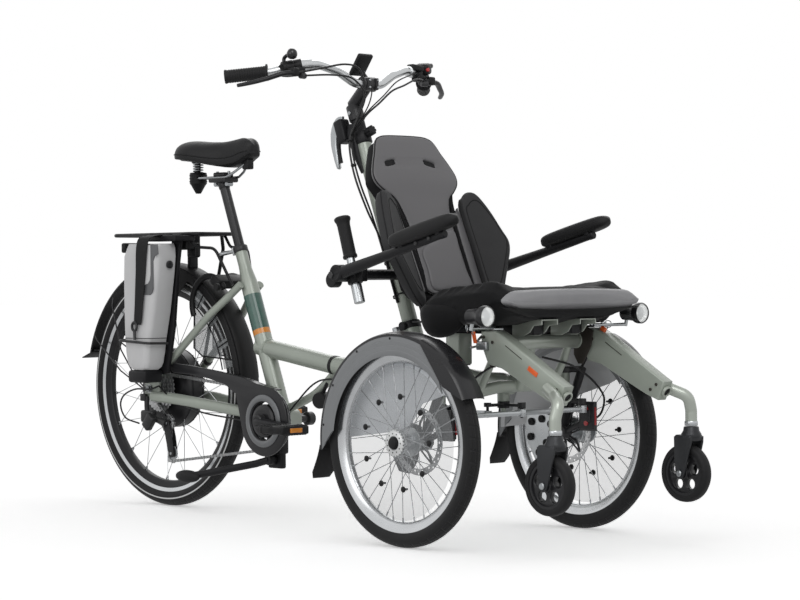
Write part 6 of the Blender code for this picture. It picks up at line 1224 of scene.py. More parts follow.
# Backrest wings
# A curved padded wing on each side holds the body. Both are black, edged by a raised welt with
# an inset seam, and they lean forward of the panel on brackets behind the shell.
wing_outline = [(0.116, -0.045), (0.1145, 0.08), (0.116, 0.212), (0.133, 0.235), (0.154, 0.2465),
                (0.176, 0.242), (0.194, 0.219), (0.214, 0.18), (0.231, 0.135), (0.243, 0.102),
                (0.238, 0.078), (0.22, 0.048), (0.197, 0.012), (0.174, -0.022), (0.15, -0.044)]
wing_skin = skin_coat("wing_skin", "39393a", 0.55)
wing_skin.node_tree.nodes["Principled BSDF"].inputs["Specular IOR Level"].default_value = 0.1
wing_hinge = 0.116
for label, side in (("right", -1.0), ("left", 1.0)):
    lean = Matrix.Translation((side * wing_hinge, 0, 0)) @ Matrix.Rotation(-side * math.radians(24), 4, "Y")
    place = back_place(0.002) @ lean @ Matrix.Translation((-side * wing_hinge, 0, 0))
    outline = soft_outline([(side * (wing_hinge + (x - wing_hinge) * 0.78), y) for x, y in wing_outline], 4)
    wing = bmesh.new()
    add_pad(wing, outline, place, 0.014, edge_run=0.012, back=-0.026, dish=0.003)
    wing_piece = piece(f"wing_pad_{label}", wing, wing_skin, "frame", (f"back_wing_{label}",), sharp=65,
                       soften=1)
    middle = Vector((sum(p[0] for p in outline) / len(outline), sum(p[1] for p in outline) / len(outline)))
    inset = [place @ Vector((*(middle + (Vector(p) - middle) * 0.8), 0.0133)) for p in outline]
    outer = [place @ Vector((*p, -0.001)) for p in outline]
    trim = bmesh.new()
    add_tube(trim, inset + [inset[0]], 0.0015, 8)
    add_tube(trim, outer + [outer[0]], 0.0016, 8)
    piece(f"wing_piping_{label}", trim, thread, "frame", sharp=70)

# Seat frame
# Steel under the seat: two slotted rails for the cushion board, two uprights behind the
# backrest with their cross bars, and the bar that carries the armrests and push handles.
black_paint = finish("black_powder", "1c1c1e", 0.44, "black_metal", metal=0.1, drift=0.1, patch=18.0,
                     grain=0.35, pitch=900.0)


def refined(name, node, coat, body, edge=0.0008, angle=28, replaces=True):
    """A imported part's own shape with its edges broken and the flat facets smoothed."""
    shape = bmesh.new()
    source = frame["nodes"][node]
    shape.from_mesh(source.data)
    shape.transform(source.matrix_world)
    shape.transform(Matrix.Translation((-front_axle_x, 0, 0)))
    bmesh.ops.remove_doubles(shape, verts=shape.verts, dist=0.00002)
    bmesh.ops.dissolve_limit(shape, angle_limit=math.radians(2), verts=shape.verts, edges=shape.edges)
    hard = [e for e in shape.edges if len(e.link_faces) == 2 and e.calc_face_angle(0) > math.radians(angle)]
    bmesh.ops.bevel(shape, geom=hard, offset=edge, segments=2, profile=0.5, affect="EDGES",
                    clamp_overlap=True)
    return piece(name, shape, coat, body, (node,) if replaces else (), sharp=38)


seat_steel = refined("seat_frame_steel", "seat_frame", black_paint, "frame")
for vertex in seat_steel.data.vertices:
    x, y = vertex.co.x - front_axle_x, vertex.co.y
    if x < -0.145 and 0.06 < abs(y) < 0.11:
        vertex.co.y -= math.copysign(0.028, y)
    elif x < -0.145 and vertex.co.z > 0.66 and abs(y) > 0.11:
        vertex.co.y = math.copysign(0.115, y)
    if x > 0.205:
        vertex.co.x = front_axle_x + 0.205
rail_ys = (-0.066, 0.066)
socket = bmesh.new()
add_box(socket, (0.047, 0.047, 0.088), (-0.12, 0, 0.459), edge=0.004)
piece("seat_post_socket", socket, sage, "frame")
slots_and_bolts = bmesh.new()
for rail_y in rail_ys:
    for x in (-0.13, -0.06, 0.01, 0.08, 0.15, 0.215):
        add_rod(slots_and_bolts, (x, rail_y, 0.5205), (x, rail_y, 0.5228), 0.006, sides=6)
for y in (-0.085, 0.085):
    for up in (0.11, 0.33):
        centre = back_foot + back_up * up + back_out * -0.034
        add_rod(slots_and_bolts, centre + Vector((0, y, 0)) - back_out * 0.004,
                centre + Vector((0, y, 0)) + back_out * 0.003, 0.0062, sides=6)
piece("seat_bolts", slots_and_bolts, steel, "frame")

# Armrests
# Each arm is a black tapered tube on a pivot at the seat back with a soft black pad over its
# end. It folds up beside the backrest.
pad_skin = skin_coat("armrest_pad", "1b1b1c", 0.56, grain=0.35)
arm_slope = math.radians(14)
arm_line = Vector((math.cos(arm_slope), 0, math.sin(arm_slope)))
arm_rise = Vector((-math.sin(arm_slope), 0, math.cos(arm_slope)))
for label, side in (("right", -1.0), ("left", 1.0)):
    pivot = Vector((-0.285, side * 0.257, 0.636))
    arm = bmesh.new()
    add_turned(arm, [(0.0, -0.015), (0.0195, -0.015), (0.021, -0.0135), (0.021, 0.012), (0.0192, 0.014),
                     (0.015, 0.0148), (0.0135, 0.014), (0.0, 0.014)],
               Matrix.Translation(pivot + Vector((0.014, 0, 0.004))) @ turn_to((0, side, 0)), 44)
    add_tube(arm, [pivot + arm_line * (0.012 + 0.373 * i / 12) for i in range(13)],
             [0.0145, 0.0142, 0.0136, 0.013, 0.0124, 0.0118, 0.0112, 0.0106, 0.0101, 0.0097, 0.0093, 0.0089,
              0.0086], 24, tall=1.05)
    add_rod(arm, pivot + Vector((-0.004, side * -0.012, -0.012)),
            pivot + Vector((-0.004, side * 0.012, -0.012)), 0.0185, sides=32, edge=0.0015)
    end = pivot + arm_line * 0.385
    add_rod(arm, end - arm_line * 0.01, end + arm_line * 0.006, 0.01, edge=0.002)
    for along in (0.245, 0.385 - 0.012):
        spot = pivot + arm_line * along
        add_box(arm, (0.02, 0.016, 0.018), spot + arm_rise * 0.01, turn_to(arm_rise), edge=0.003)
    piece(f"arm_tube_{label}", arm, black_paint, "armrest_" + label, (f"armrest_{label}",), sharp=40)
    rest = bmesh.new()
    middle = pivot + arm_line * 0.328 + arm_rise * 0.0245 + Vector((0, side * 0.006, 0))
    rings = []
    for i in range(25):
        t = i / 24
        s = -1 + 2 * t
        swell = (1 - abs(s) ** 9) ** 0.45 if abs(s) < 1 else 0.0
        half = 0.024 * max(0.1, swell) * (1.0 + 0.06 * math.cos(3 * s))
        top = 0.016 * max(0.12, swell) * (1.0 + 0.1 * (1 - s * s))
        centre = middle + arm_line * (s * 0.116)
        ring = []
        for k in range(20):
            a = 2 * math.pi * k / 20
            c, q = math.cos(a), math.sin(a)
            ring.append(centre + Vector((0, 1, 0)) * (half * math.copysign(abs(c) ** 0.62, c))
                        + arm_rise * (top * math.copysign(abs(q) ** 0.7, q)))
        rings.append(ring)
    rest = closed_loft(rings)
    rest_piece = piece(f"arm_pad_{label}", rest, pad_skin, "armrest_" + label, sharp=70, soften=1)
    details = bmesh.new()
    for along in (0.3, 0.345):
        spot = pivot + arm_line * along
        add_rod(details, spot + Vector((0, side * 0.008, 0)), spot + Vector((0, side * 0.0125, 0)), 0.0048,
                sides=18)
    add_rod(details, pivot + Vector((0, side * 0.013, 0)), pivot + Vector((0, side * 0.0172, 0)), 0.009,
            sides=6)
    piece(f"arm_bolts_{label}", details, black_metal, "armrest_" + label)

# Push handles
# A chromed bar slides in a clamp on each side of the seat and ends in a smooth rubber grip.
# They are drawn up for pushing and dropped for riding.
grip_rubber = finish("grip_rubber_coat", "1a1a1b", 0.6, "rubber", drift=0.12, patch=60.0, grain=0.5,
                     pitch=700.0, hide=True, sheen=0.1)
handle_axis = Vector((-0.287, 0, 0.958)).normalized()
for label, side in (("right", -1.0), ("left", 1.0)):
    centre = Vector((-0.258, side * 0.22, 0.636))
    bar = bmesh.new()
    add_rod(bar, centre - handle_axis * 0.069, centre + handle_axis * 0.12, 0.0105, sides=32, edge=0.0015)
    add_rod(bar, centre - handle_axis * 0.071, centre - handle_axis * 0.024, 0.0135, sides=32, edge=0.0015)
    piece(f"push_bar_{label}", bar, alloy, "push_handle_" + label, (f"push_handle_{label}",))
    grip = bmesh.new()
    profile = [(0.0112, 0.0), (0.0172, 0.0), (0.0178, 0.002), (0.0178, 0.006), (0.016, 0.0085),
               (0.0158, 0.05), (0.016, 0.082), (0.0172, 0.09), (0.0198, 0.095), (0.0204, 0.098),
               (0.0202, 0.101), (0.017, 0.104), (0.0, 0.1045), (0.0, 0.004), (0.0112, 0.004)]
    add_turned(grip, profile, Matrix.Translation(centre + handle_axis * 0.043) @ turn_to(handle_axis), 40)
    piece(f"push_grip_{label}", grip, grip_rubber, "push_handle_" + label, sharp=32)
    mount = bmesh.new()
    add_rod(mount, centre - handle_axis * 0.022, centre + handle_axis * 0.018, 0.019, sides=32, edge=0.002)
    add_box(mount, (0.034, 0.022, 0.032), centre + Vector((0.022, 0, 0)), edge=0.004)
    add_rod(mount, centre + Vector((-0.012, side * 0.006, -0.006)),
            centre + Vector((-0.034, side * 0.012, -0.01)), 0.0034, sides=12)
    add_rod(mount, centre + Vector((-0.032, side * 0.012, -0.01)),
            centre + Vector((-0.044, side * 0.016, -0.012)), 0.0085, sides=8)
    piece(f"push_clamp_{label}", mount, black_plastic, "frame")

# Front frame
# The paired front: an upper cross tube and a lower beam joined by a centre post, struts and
# kingpin sleeves, in the same sage paint as the rear. The seat rails rest on the cross tube.
front_tubes = bmesh.new()
add_tube(front_tubes, eased([(0.126, 0, 0.475), (0.108, 0, 0.425), (0.082, 0, 0.362)]), 0.0125, 24)
beam_low = rounded([(0.072, -0.185, 0.352), (0.072, -0.06, 0.368), (0.072, 0.06, 0.368),
                    (0.072, 0.185, 0.352)], 0.1)
add_tube(front_tubes, beam_low, 0.014, 28, tall=1.07)
for side in (-1.0, 1.0):
    add_rod(front_tubes, (kingpin_x, side * 0.215, 0.332), (kingpin_x, side * 0.215, 0.392), 0.0142,
            sides=32, edge=0.0012)
    add_tube(front_tubes, [(0.074, side * 0.172, 0.3545), (0.052, side * 0.194, 0.358),
                           (kingpin_x + 0.005, side * 0.211, 0.362)], 0.013, 24)
    add_tube(front_tubes, rounded([(0.13, side * 0.125, 0.47), (0.112, side * 0.125, 0.428),
                                   (0.074, side * 0.125, 0.364)], 0.05), 0.0095, 20)
add_tube(front_tubes, [(0.085, 0.0, 0.383 - 0.012), (0.03, 0.0, 0.383), (-0.01, 0.0, 0.3835)], 0.016, 24)
piece("front_frame_tubes", front_tubes, sage, "frame", ("front_frame",))
front_welds = bmesh.new()
for side in (-1.0, 1.0):
    add_weld(front_welds, Vector((0.13, side * 0.15, 0.475)), Vector((0, 1, 0)), 0.018, bead=0.0018)
    add_weld(front_welds, Vector((kingpin_x, side * 0.215, 0.3915)), Vector((0, 0, 1)), 0.0138, bead=0.0012,
             beads=26)
piece("front_welds", front_welds, sage, "frame", sharp=70)
lugs = bmesh.new()
for y in rail_ys:
    add_box(lugs, (0.062, 0.034, 0.022), (0.128, y, 0.5035), edge=0.003)
    add_rod(lugs, (0.152, y - 0.02, 0.5035), (0.152, y + 0.02, 0.5035), 0.0045, sides=6)
piece("seat_lugs", lugs, black_metal, "frame")

# Castor arms
# Pressed sage box arms reach forward and down from the cross tube, each with a steel seam, an
# orange pull tab and a bent socket tube for the castor. Open brackets on the tube hold the rails.
arm_y = 0.172
castor_x = 0.416
castor_y = 0.236
latch_orange = finish("latch_orange", "e8642b", 0.4, "lamp", coat=0.2, drift=0.05, patch=40.0, grain=0.2)
pale_sage = finish("pale_sage", "a9afa6", 0.34, "sage_paint", metal=0.35, coat=0.35, drift=0.05, patch=5.0,
                   grain=0.1, pitch=700.0)
castor_grey = finish("castor_grey", "38393b", 0.36, "grey_plastic", metal=0.4, drift=0.07, grain=0.25)
bracket_brown = finish("bracket_steel", "3d3935", 0.46, "black_metal", metal=0.4, drift=0.12, patch=14.0,
                       grain=0.2)
cross_tube = bmesh.new()
add_rod(cross_tube, (0.13, -0.1547, 0.475), (0.13, 0.1547, 0.475), 0.018, sides=40, edge=0.001)
piece("upper_cross_tube", cross_tube, pale_sage, "frame", sharp=50)
rail_ends = bmesh.new()
rail_hollows = bmesh.new()
for y in rail_ys:
    add_box(rail_ends, (0.085, 0.056, 0.003), (0.2025, y, 0.5283), edge=0.001)
    for wall in (-1, 1):
        add_plate(rail_ends, [(0.245, 0.5295), (0.15, 0.5295), (0.15, 0.49), (0.185, 0.49), (0.206, 0.499),
                              (0.218, 0.514), (0.245, 0.517)], 0.003, side_place(y + wall * 0.0265),
                  edge=0.0008)
    add_box(rail_hollows, (0.05, 0.049, 0.03), (0.178, y, 0.51), edge=0.002)
piece("seat_rail_ends", rail_ends, pale_sage, "frame")
piece("seat_rail_hollows", rail_hollows, black_plastic, "frame")
for label, side in (("right", -1.0), ("left", 1.0)):
    arm = bmesh.new()
    outline = [(0.14, 0.472), (0.14, 0.504), (0.188, 0.5052), (0.215, 0.492), (0.402, 0.381),
               (0.3935, 0.362), (0.38, 0.337), (0.345, 0.35), (0.29, 0.376), (0.205, 0.418), (0.162, 0.426)]
    add_plate(arm, outline, 0.0338, side_place(side * arm_y), edge=0.0042)
    slot = Vector((0.86, 0, -0.51)).normalized()
    add_rod(arm, Vector((0.386, side * arm_y, 0.3625)), Vector((0.392, side * arm_y, 0.359)) + slot * 0.003,
            0.0125, sides=30)
    piece(f"castor_arm_box_{label}", arm, sage, "frame", (f"castor_arm_{label}",), sharp=40)
    trim = bmesh.new()
    for wall in (-1, 1):
        y = side * arm_y + wall * 0.017
        add_box(trim, (0.06, 0.0016, 0.0018), (0.245, y, 0.456),
                Matrix.Rotation(math.radians(30.6), 4, "Y"), edge=0.0005)
        for x, z in ((0.15, 0.49), (0.178, 0.478), (0.36, 0.362), (0.378, 0.374)):
            add_rod(trim, (x, y - wall * 0.001, z), (x, y + wall * 0.0022, z), 0.0042, sides=6)
    piece(f"castor_arm_trim_{label}", trim, bracket_brown, "frame", sharp=40)
    end_ring = bmesh.new()
    end_place = Matrix.Translation(Vector((0.392, side * arm_y, 0.359))) @ turn_to(slot)
    add_turned(end_ring, [(0.0095, 0.0), (0.0128, 0.0), (0.0138, 0.001), (0.0138, 0.006), (0.0128, 0.007),
                          (0.0105, 0.007), (0.0095, 0.006)], end_place, 36, ring=True)
    piece(f"arm_end_ring_{label}", end_ring, pale_sage, "frame")
    socket = bmesh.new()
    add_turned(socket, [(0.0, 0.0034), (0.0097, 0.0034), (0.0097, 0.002), (0.0, 0.002)], end_place, 28)
    piece(f"arm_end_hole_{label}", socket, black_plastic, "frame")
    rear_plate = bmesh.new()
    add_plate(rear_plate, [(0.122, 0.44), (0.122, 0.513), (0.15, 0.515), (0.184, 0.498), (0.176, 0.46),
                           (0.15, 0.418), (0.136, 0.418)], 0.0035, side_place(side * 0.1515), edge=0.0008)
    piece(f"arm_bracket_{label}", rear_plate, bracket_brown, "frame")
    tags = bmesh.new()
    add_box(tags, (0.033, 0.0012, 0.0115), (0.305, side * 0.1896, 0.4135),
            Matrix.Rotation(math.radians(30.6), 4, "Y"), edge=0.0005)
    add_box(tags, (0.01, 0.005, 0.028), (0.152, side * 0.222, 0.49),
            Matrix.Rotation(side * math.radians(-14), 4, "X"), edge=0.0018)
    if side > 0:
        add_box(tags, (0.016, 0.01, 0.012), (0.205, side * 0.165, 0.502),
                Matrix.Rotation(math.radians(30.6), 4, "Y"), edge=0.003)
    piece(f"arm_tags_{label}", tags, latch_orange, "frame")
    latch = bmesh.new()
    add_box(latch, (0.034, 0.012, 0.02), (0.15, side * 0.193, 0.47), edge=0.003)
    add_rod(latch, (0.142, side * 0.187, 0.492), (0.15, side * 0.209, 0.482), 0.003, sides=14)
    for spot, size in (((0.152, side * 0.226, 0.507), 0.0105), ((0.15, side * 0.244, 0.512), 0.0085)):
        loop_place = Matrix.Translation(spot) @ turn_to((0.8, side * -0.5, 0.1))
        loop = [loop_place @ Vector((size * math.cos(2 * math.pi * i / 24),
                                     size * math.sin(2 * math.pi * i / 24), 0)) for i in range(25)]
        add_tube(latch, loop, 0.0013, 10)
    add_rod(latch, (0.15, side * 0.206, 0.47), (0.15, side * 0.234, 0.466), 0.0026, sides=14)
    piece(f"arm_latch_{label}", latch, steel, "frame")
    elbow = bmesh.new()
    add_tube(elbow, rounded([(0.352, side * 0.193, 0.377), (0.384, side * 0.203, 0.361),
                             (0.417, side * 0.225, 0.345), (castor_x, side * castor_y, 0.312),
                             (castor_x, side * castor_y, 0.2855)], 0.03, 8), 0.014, 28)
    piece(f"castor_elbow_{label}", elbow, pale_sage, "frame")
    collar = bmesh.new()
    add_turned(collar, [(0.0, 0.0), (0.015, 0.0), (0.0158, 0.001), (0.0158, 0.01), (0.0148, 0.0115),
                        (0.0, 0.0115)], Matrix.Translation((castor_x, side * castor_y, 0.275)), 36)
    piece(f"castor_collar_{label}", collar, alloy, "frame")

    # Castors
    # A cast grey fork swivels under each arm on a steel collar and straddles a small solid wheel:
    # a black tyre over a glossy hub with five openings.
    swivel = Vector((castor_x, side * castor_y, 0))
    fork = bmesh.new()
    add_turned(fork, [(0.0, 0.248), (0.024, 0.248), (0.025, 0.25), (0.024, 0.256), (0.019, 0.264),
                      (0.018, 0.272), (0.0165, 0.2735), (0.0, 0.2735)], Matrix.Translation(swivel), 36)
    add_box(fork, (0.05, 0.0485, 0.016), (0.408, side * castor_y, 0.2462), edge=0.005)
    for leg in (-0.0215, 0.0215):
        add_plate(fork, [(0.382, 0.25), (0.434, 0.25), (0.4335, 0.236), (0.428, 0.215), (0.4195, 0.186),
                         (0.414, 0.165), (0.406, 0.1505), (0.399, 0.149), (0.391, 0.1525), (0.386, 0.167),
                         (0.383, 0.2)], 0.0062, side_place(side * castor_y + leg), edge=0.002)
    piece(f"castor_fork_cast_{label}", fork, castor_grey,
          "castor_fork_" + label, (f"castor_fork_{label}",), sharp=40)
    axle_bolt = bmesh.new()
    hub_at = Vector((0.4, side * castor_y, 0.163))
    for wall in (-1, 1):
        add_turned(axle_bolt, [(0.0, 0.0), (0.0072, 0.0), (0.0078, 0.0008), (0.0078, 0.004),
                               (0.006, 0.0056), (0.0, 0.0056)],
                   Matrix.Translation(hub_at + Vector((0, wall * 0.0245, 0))) @ turn_to((0, wall, 0)), 24)
    piece(f"castor_bolt_{label}", axle_bolt, steel, "castor_fork_" + label)
    place = on_axle(*hub_at)
    tyre = bmesh.new()
    add_turned(tyre, [(0.053, 0.01), (0.054, 0.0135), (0.06, 0.0148), (0.065, 0.0135), (0.068, 0.009),
                      (0.069, 0.003), (0.069, -0.003), (0.068, -0.009), (0.065, -0.0135), (0.06, -0.0148),
                      (0.054, -0.0135), (0.053, -0.01)], place, 64, ring=True)
    piece(f"castor_tyre_{label}", tyre, flap_rubber, "castor_wheel_" + label, (f"castor_wheel_{label}",),
          sharp=50)
    hub = bmesh.new()
    add_turned(hub, [(0.045, 0.0085), (0.047, 0.0118), (0.0535, 0.0118), (0.0535, -0.0118),
                     (0.047, -0.0118), (0.045, -0.0085)], place, 64, ring=True)
    add_turned(hub, [(0.005, 0.016), (0.013, 0.016), (0.015, 0.0145), (0.016, 0.009), (0.016, -0.009),
                     (0.015, -0.0145), (0.013, -0.016), (0.005, -0.016)], place, 40, ring=True)
    piece(f"castor_hub_{label}", hub, dark_shell, "castor_wheel_" + label, sharp=35)
    dish = bmesh.new()
    openings = []
    for k in range(5):
        c = math.radians(90 + 72 * k)
        openings.append(arc(hub_at.x + 0.031 * math.cos(c), hub_at.z + 0.031 * math.sin(c), 0.012, 0, 345,
                            23))
    add_plate(dish, arc(hub_at.x, hub_at.z, 0.05, 0, 354, 59), 0.015, side_place(hub_at.y), edge=0.003,
              holes=openings)
    piece(f"castor_dish_{label}", dish, dark_shell, "castor_wheel_" + label, sharp=50)

# Headlights
# Two small round lamps, each on a thin bar from its castor arm. Each has a turned
# black body, a bright bezel and a clear lens over a faceted reflector.
lens_glass = clear_coat("headlight_lens", "e8ebec", 0.55, 0.1, "lamp")
lens_glass.node_tree.nodes["Principled BSDF"].inputs["Emission Color"].default_value = (1.0, 0.99, 0.96, 1.0)
lens_glass.node_tree.nodes["Principled BSDF"].inputs["Emission Strength"].default_value = 0.1
reflector = finish("lamp_reflector", "f2f3f4", 0.1, "lamp", metal=0.9, drift=0.03, patch=300.0, grain=0.9,
                   pitch=220.0, hide=True, depth=0.001)
reflector.node_tree.nodes["Principled BSDF"].inputs["Emission Color"].default_value = (1.0, 0.99, 0.95, 1.0)
reflector.node_tree.nodes["Principled BSDF"].inputs["Emission Strength"].default_value = 0.45
for label, side in (("right", -1.0), ("left", 1.0)):
    place = Matrix.Translation((0.1755, side * 0.267, 0.539)) @ turn_to((1, 0, 0))
    body = bmesh.new()
    add_turned(body, [(0.0, 0.004), (0.015, 0.004), (0.0172, 0.006), (0.018, 0.022), (0.0196, 0.04),
                      (0.0245, 0.048), (0.0256, 0.052), (0.0256, 0.062), (0.0232, 0.066), (0.0226, 0.064),
                      (0.0226, 0.058), (0.0, 0.046)], place, 48)
    piece(f"lamp_body_{label}", body, dark_shell, "frame", (f"headlight_{label}",), sharp=35)
    bowl = bmesh.new()
    add_turned(bowl, [(0.0, 0.048), (0.006, 0.0482), (0.015, 0.053), (0.0215, 0.061), (0.0222, 0.061),
                      (0.015, 0.051), (0.0, 0.047)], place, 24)
    piece(f"lamp_bowl_{label}", bowl, reflector, "frame", sharp=20)
    glass = bmesh.new()
    add_turned(glass, [(0.0, 0.0705), (0.008, 0.0698), (0.016, 0.0678), (0.0218, 0.064), (0.0222, 0.0625),
                       (0.016, 0.0655), (0.008, 0.0675), (0.0, 0.0682)], place, 40)
    piece(f"lamp_glass_{label}", glass, lens_glass, "frame", sharp=60)
    bracket = bmesh.new()
    add_box(bracket, (0.034, 0.03, 0.005), (0.166, side * arm_y, 0.5083), edge=0.0012)
    add_tube(bracket, rounded([(0.166, side * arm_y, 0.5115), (0.176, side * 0.205, 0.5115),
                               (0.186, side * 0.267, 0.5115)], 0.02), 0.0042, 16)
    add_tube(bracket, [(0.186, side * 0.267, 0.5075), (0.19, side * 0.267, 0.525)], 0.0045, 16)
    add_rod(bracket, (0.16, side * arm_y, 0.5105), (0.16, side * arm_y, 0.515), 0.005, sides=6)
    piece(f"lamp_bracket_{label}", bracket, alloy, "frame")

# Steering column
# A painted tube leans back from the head tube to the rider, with a black clamp near its foot, a
# black telescoping upper part and a salmon strip down its front. The cables are tied along it.
salmon = finish("salmon_strip", "d9673f", 0.42, "lamp", drift=0.06, patch=30.0, grain=0.15)
column_back = Vector((-math.cos(column_tilt), 0, -math.sin(column_tilt)))


def on_column(along, back=0.0, y=0.0):
    """A point beside the steering column."""
    return column_base + column_line * along + column_back * back + Vector((0, y, 0))


lower_column = bmesh.new()
add_turned(lower_column, [(0.0, 0.0006), (0.0195, 0.0006), (0.02, 0.0012), (0.02, 0.505), (0.0, 0.505)],
           Matrix.Translation(column_base) @ turn_to(column_line), 40)
piece("column_lower_tube", lower_column, sage, "steering", ("steering_column",))
upper_column = bmesh.new()
add_turned(upper_column, [(0.0, 0.498), (0.0225, 0.498), (0.0238, 0.5), (0.0238, 0.528), (0.0225, 0.53),
                          (0.018, 0.532), (0.0172, 0.535), (0.0172, 0.56), (0.016, 0.564), (0.0155, 0.6),
                          (0.0, 0.6)], Matrix.Translation(column_base) @ turn_to(column_line), 40)
add_turned(upper_column, [(0.0205, -0.0002), (0.0246, -0.0002), (0.0252, 0.002), (0.0252, 0.016),
                          (0.024, 0.018), (0.0205, 0.018)],
           Matrix.Translation(column_base) @ turn_to(column_line), 40, ring=True)
column_turn = turn_to(column_line)
add_box(upper_column, (0.02, 0.016, 0.026), on_column(0.009, 0.026), column_turn, edge=0.003)
add_tube(upper_column, [on_column(0.425, 0.01, -0.016), on_column(0.47, 0.013, -0.018),
                        on_column(0.53, 0.014, -0.014), on_column(0.552, 0.01, -0.008)],
         [0.007, 0.011, 0.0165, 0.017], 20)
add_rod(upper_column, on_column(0.52, 0.0), on_column(0.52, -0.03), 0.008, sides=20)
for k in range(8):
    a = 2 * math.pi * k / 8
    knob_place = Matrix.Translation(on_column(0.52, -0.036)) @ turn_to(-column_back)
    add_rod(upper_column, knob_place @ Vector((0.009 * math.cos(a), 0.009 * math.sin(a), -0.008)),
            knob_place @ Vector((0.009 * math.cos(a), 0.009 * math.sin(a), 0.008)), 0.0042, sides=14)
add_rod(upper_column, on_column(0.52, -0.028), on_column(0.52, -0.045), 0.0105, sides=28, edge=0.002)
add_box(upper_column, (0.03, 0.03, 0.05), on_column(0.53, 0.018), column_turn, edge=0.004)
add_box(upper_column, (0.034, 0.03, 0.062), on_column(0.549, 0.0395, -0.02), column_turn, edge=0.006)
add_rod(upper_column, on_column(0.008, 0.0), on_column(0.008, 0.0, -0.034), 0.011, sides=20)
piece("column_upper_part", upper_column, black_paint, "steering", sharp=36)
strip = bmesh.new()
for low, high in ((0.1, 0.19), (0.226, 0.4)):
    grid = []
    for i in range(9):
        a = math.radians(-46 + 92 * i / 8)
        ahead = -column_back
        spot = ahead * (0.0205 * math.cos(a)) + Vector((0, 1, 0)) * (0.0205 * math.sin(a))
        grid.append([column_base + spot + column_line * (low + (high - low) * k / 6) for k in range(7)])
    skin = [[strip.verts.new(p) for p in row] for row in grid]
    inside = [[strip.verts.new(p - (grid[i][k] - column_base - column_line * (low + (high - low) * k / 6))
                               * 0.06) for k, p in enumerate(row)] for i, row in enumerate(grid)]
    for rows in (skin, inside):
        for a, b in zip(rows, rows[1:]):
            for k in range(6):
                strip.faces.new((a[k], a[k + 1], b[k + 1], b[k]))
    for i in range(8):
        for k in (0, 6):
            strip.faces.new((skin[i][k], skin[i + 1][k], inside[i + 1][k], inside[i][k]))
    for i in (0, 8):
        for k in range(6):
            strip.faces.new((skin[i][k], skin[i][k + 1], inside[i][k + 1], inside[i][k]))
piece("column_strip", strip, salmon, "steering", sharp=60)

# Stem and handlebar
# A black adjustable stem holds a swept-back alloy bar with a clamp and an angle bolt. The small
# silver clamp lever beside it opens the stem.
bar_silver = finish("handlebar_silver", "bfc1c2", 0.22, "alloy", metal=0.95, drift=0.04, patch=9.0,
                    grain=0.06)
bar_centre = Vector((-0.441, 0, 1.119))
stem = bmesh.new()
add_turned(stem, [(0.0158, 0.564), (0.02, 0.564), (0.0206, 0.566), (0.0206, 0.602), (0.0195, 0.604),
                  (0.0, 0.604)], Matrix.Translation(column_base) @ column_turn, 36)
stem_top = Vector((-0.447, 0, 1.113))
add_tube(stem, [on_column(0.58, 0.0), on_column(0.606, -0.002), stem_top], [0.0168, 0.0165, 0.015], 28,
         tall=1.1)
add_rod(stem, bar_centre + Vector((0, -0.022, 0)), bar_centre + Vector((0, 0.022, 0)), 0.0187, sides=36,
        edge=0.0015)
for y in (-0.014, 0.014):
    add_box(stem, (0.014, 0.008, 0.03), bar_centre + Vector((0.016, y, 0.0)), edge=0.002)
piece("stem_body", stem, black_metal, "steering", ("stem",), sharp=38)
stem_bolts = bmesh.new()
for y in (-0.014, 0.014):
    for z in (-0.009, 0.009):
        add_rod(stem_bolts, bar_centre + Vector((0.02, y, z)), bar_centre + Vector((0.0262, y, z)), 0.003,
                sides=12)
add_rod(stem_bolts, on_column(0.583, 0.0, -0.024), on_column(0.583, 0.0, 0.024), 0.0052, sides=6)
piece("stem_bolts", stem_bolts, steel, "steering")
grip_axis = Vector((-0.077, 0.074, -0.01)).normalized()
bar = bmesh.new()
right_half = []
for side in (-1.0, 1.0):
    corner = Vector((-0.505, side * 0.2615, 1.1413))
    axis = Vector((grip_axis.x, side * grip_axis.y, grip_axis.z))
    half = [(-0.441, side * 0.045, 1.119), (-0.447, side * 0.095, 1.147), (-0.461, side * 0.151, 1.163),
            (-0.485, side * 0.215, 1.157), tuple(corner), tuple(corner + axis * 0.118)]
    right_half.append(half)
bar_route = right_half[0][::-1] + right_half[1]
add_tube(bar, rounded(bar_route, 0.05, 8), 0.011, 28)
for side in (-1.0, 1.0):
    add_rod(bar, (-0.467, side * 0.168, 1.1625), (-0.479, side * 0.199, 1.159), 0.014, sides=28)
piece("handlebar_tube", bar, bar_silver, "steering", ("handlebar",))

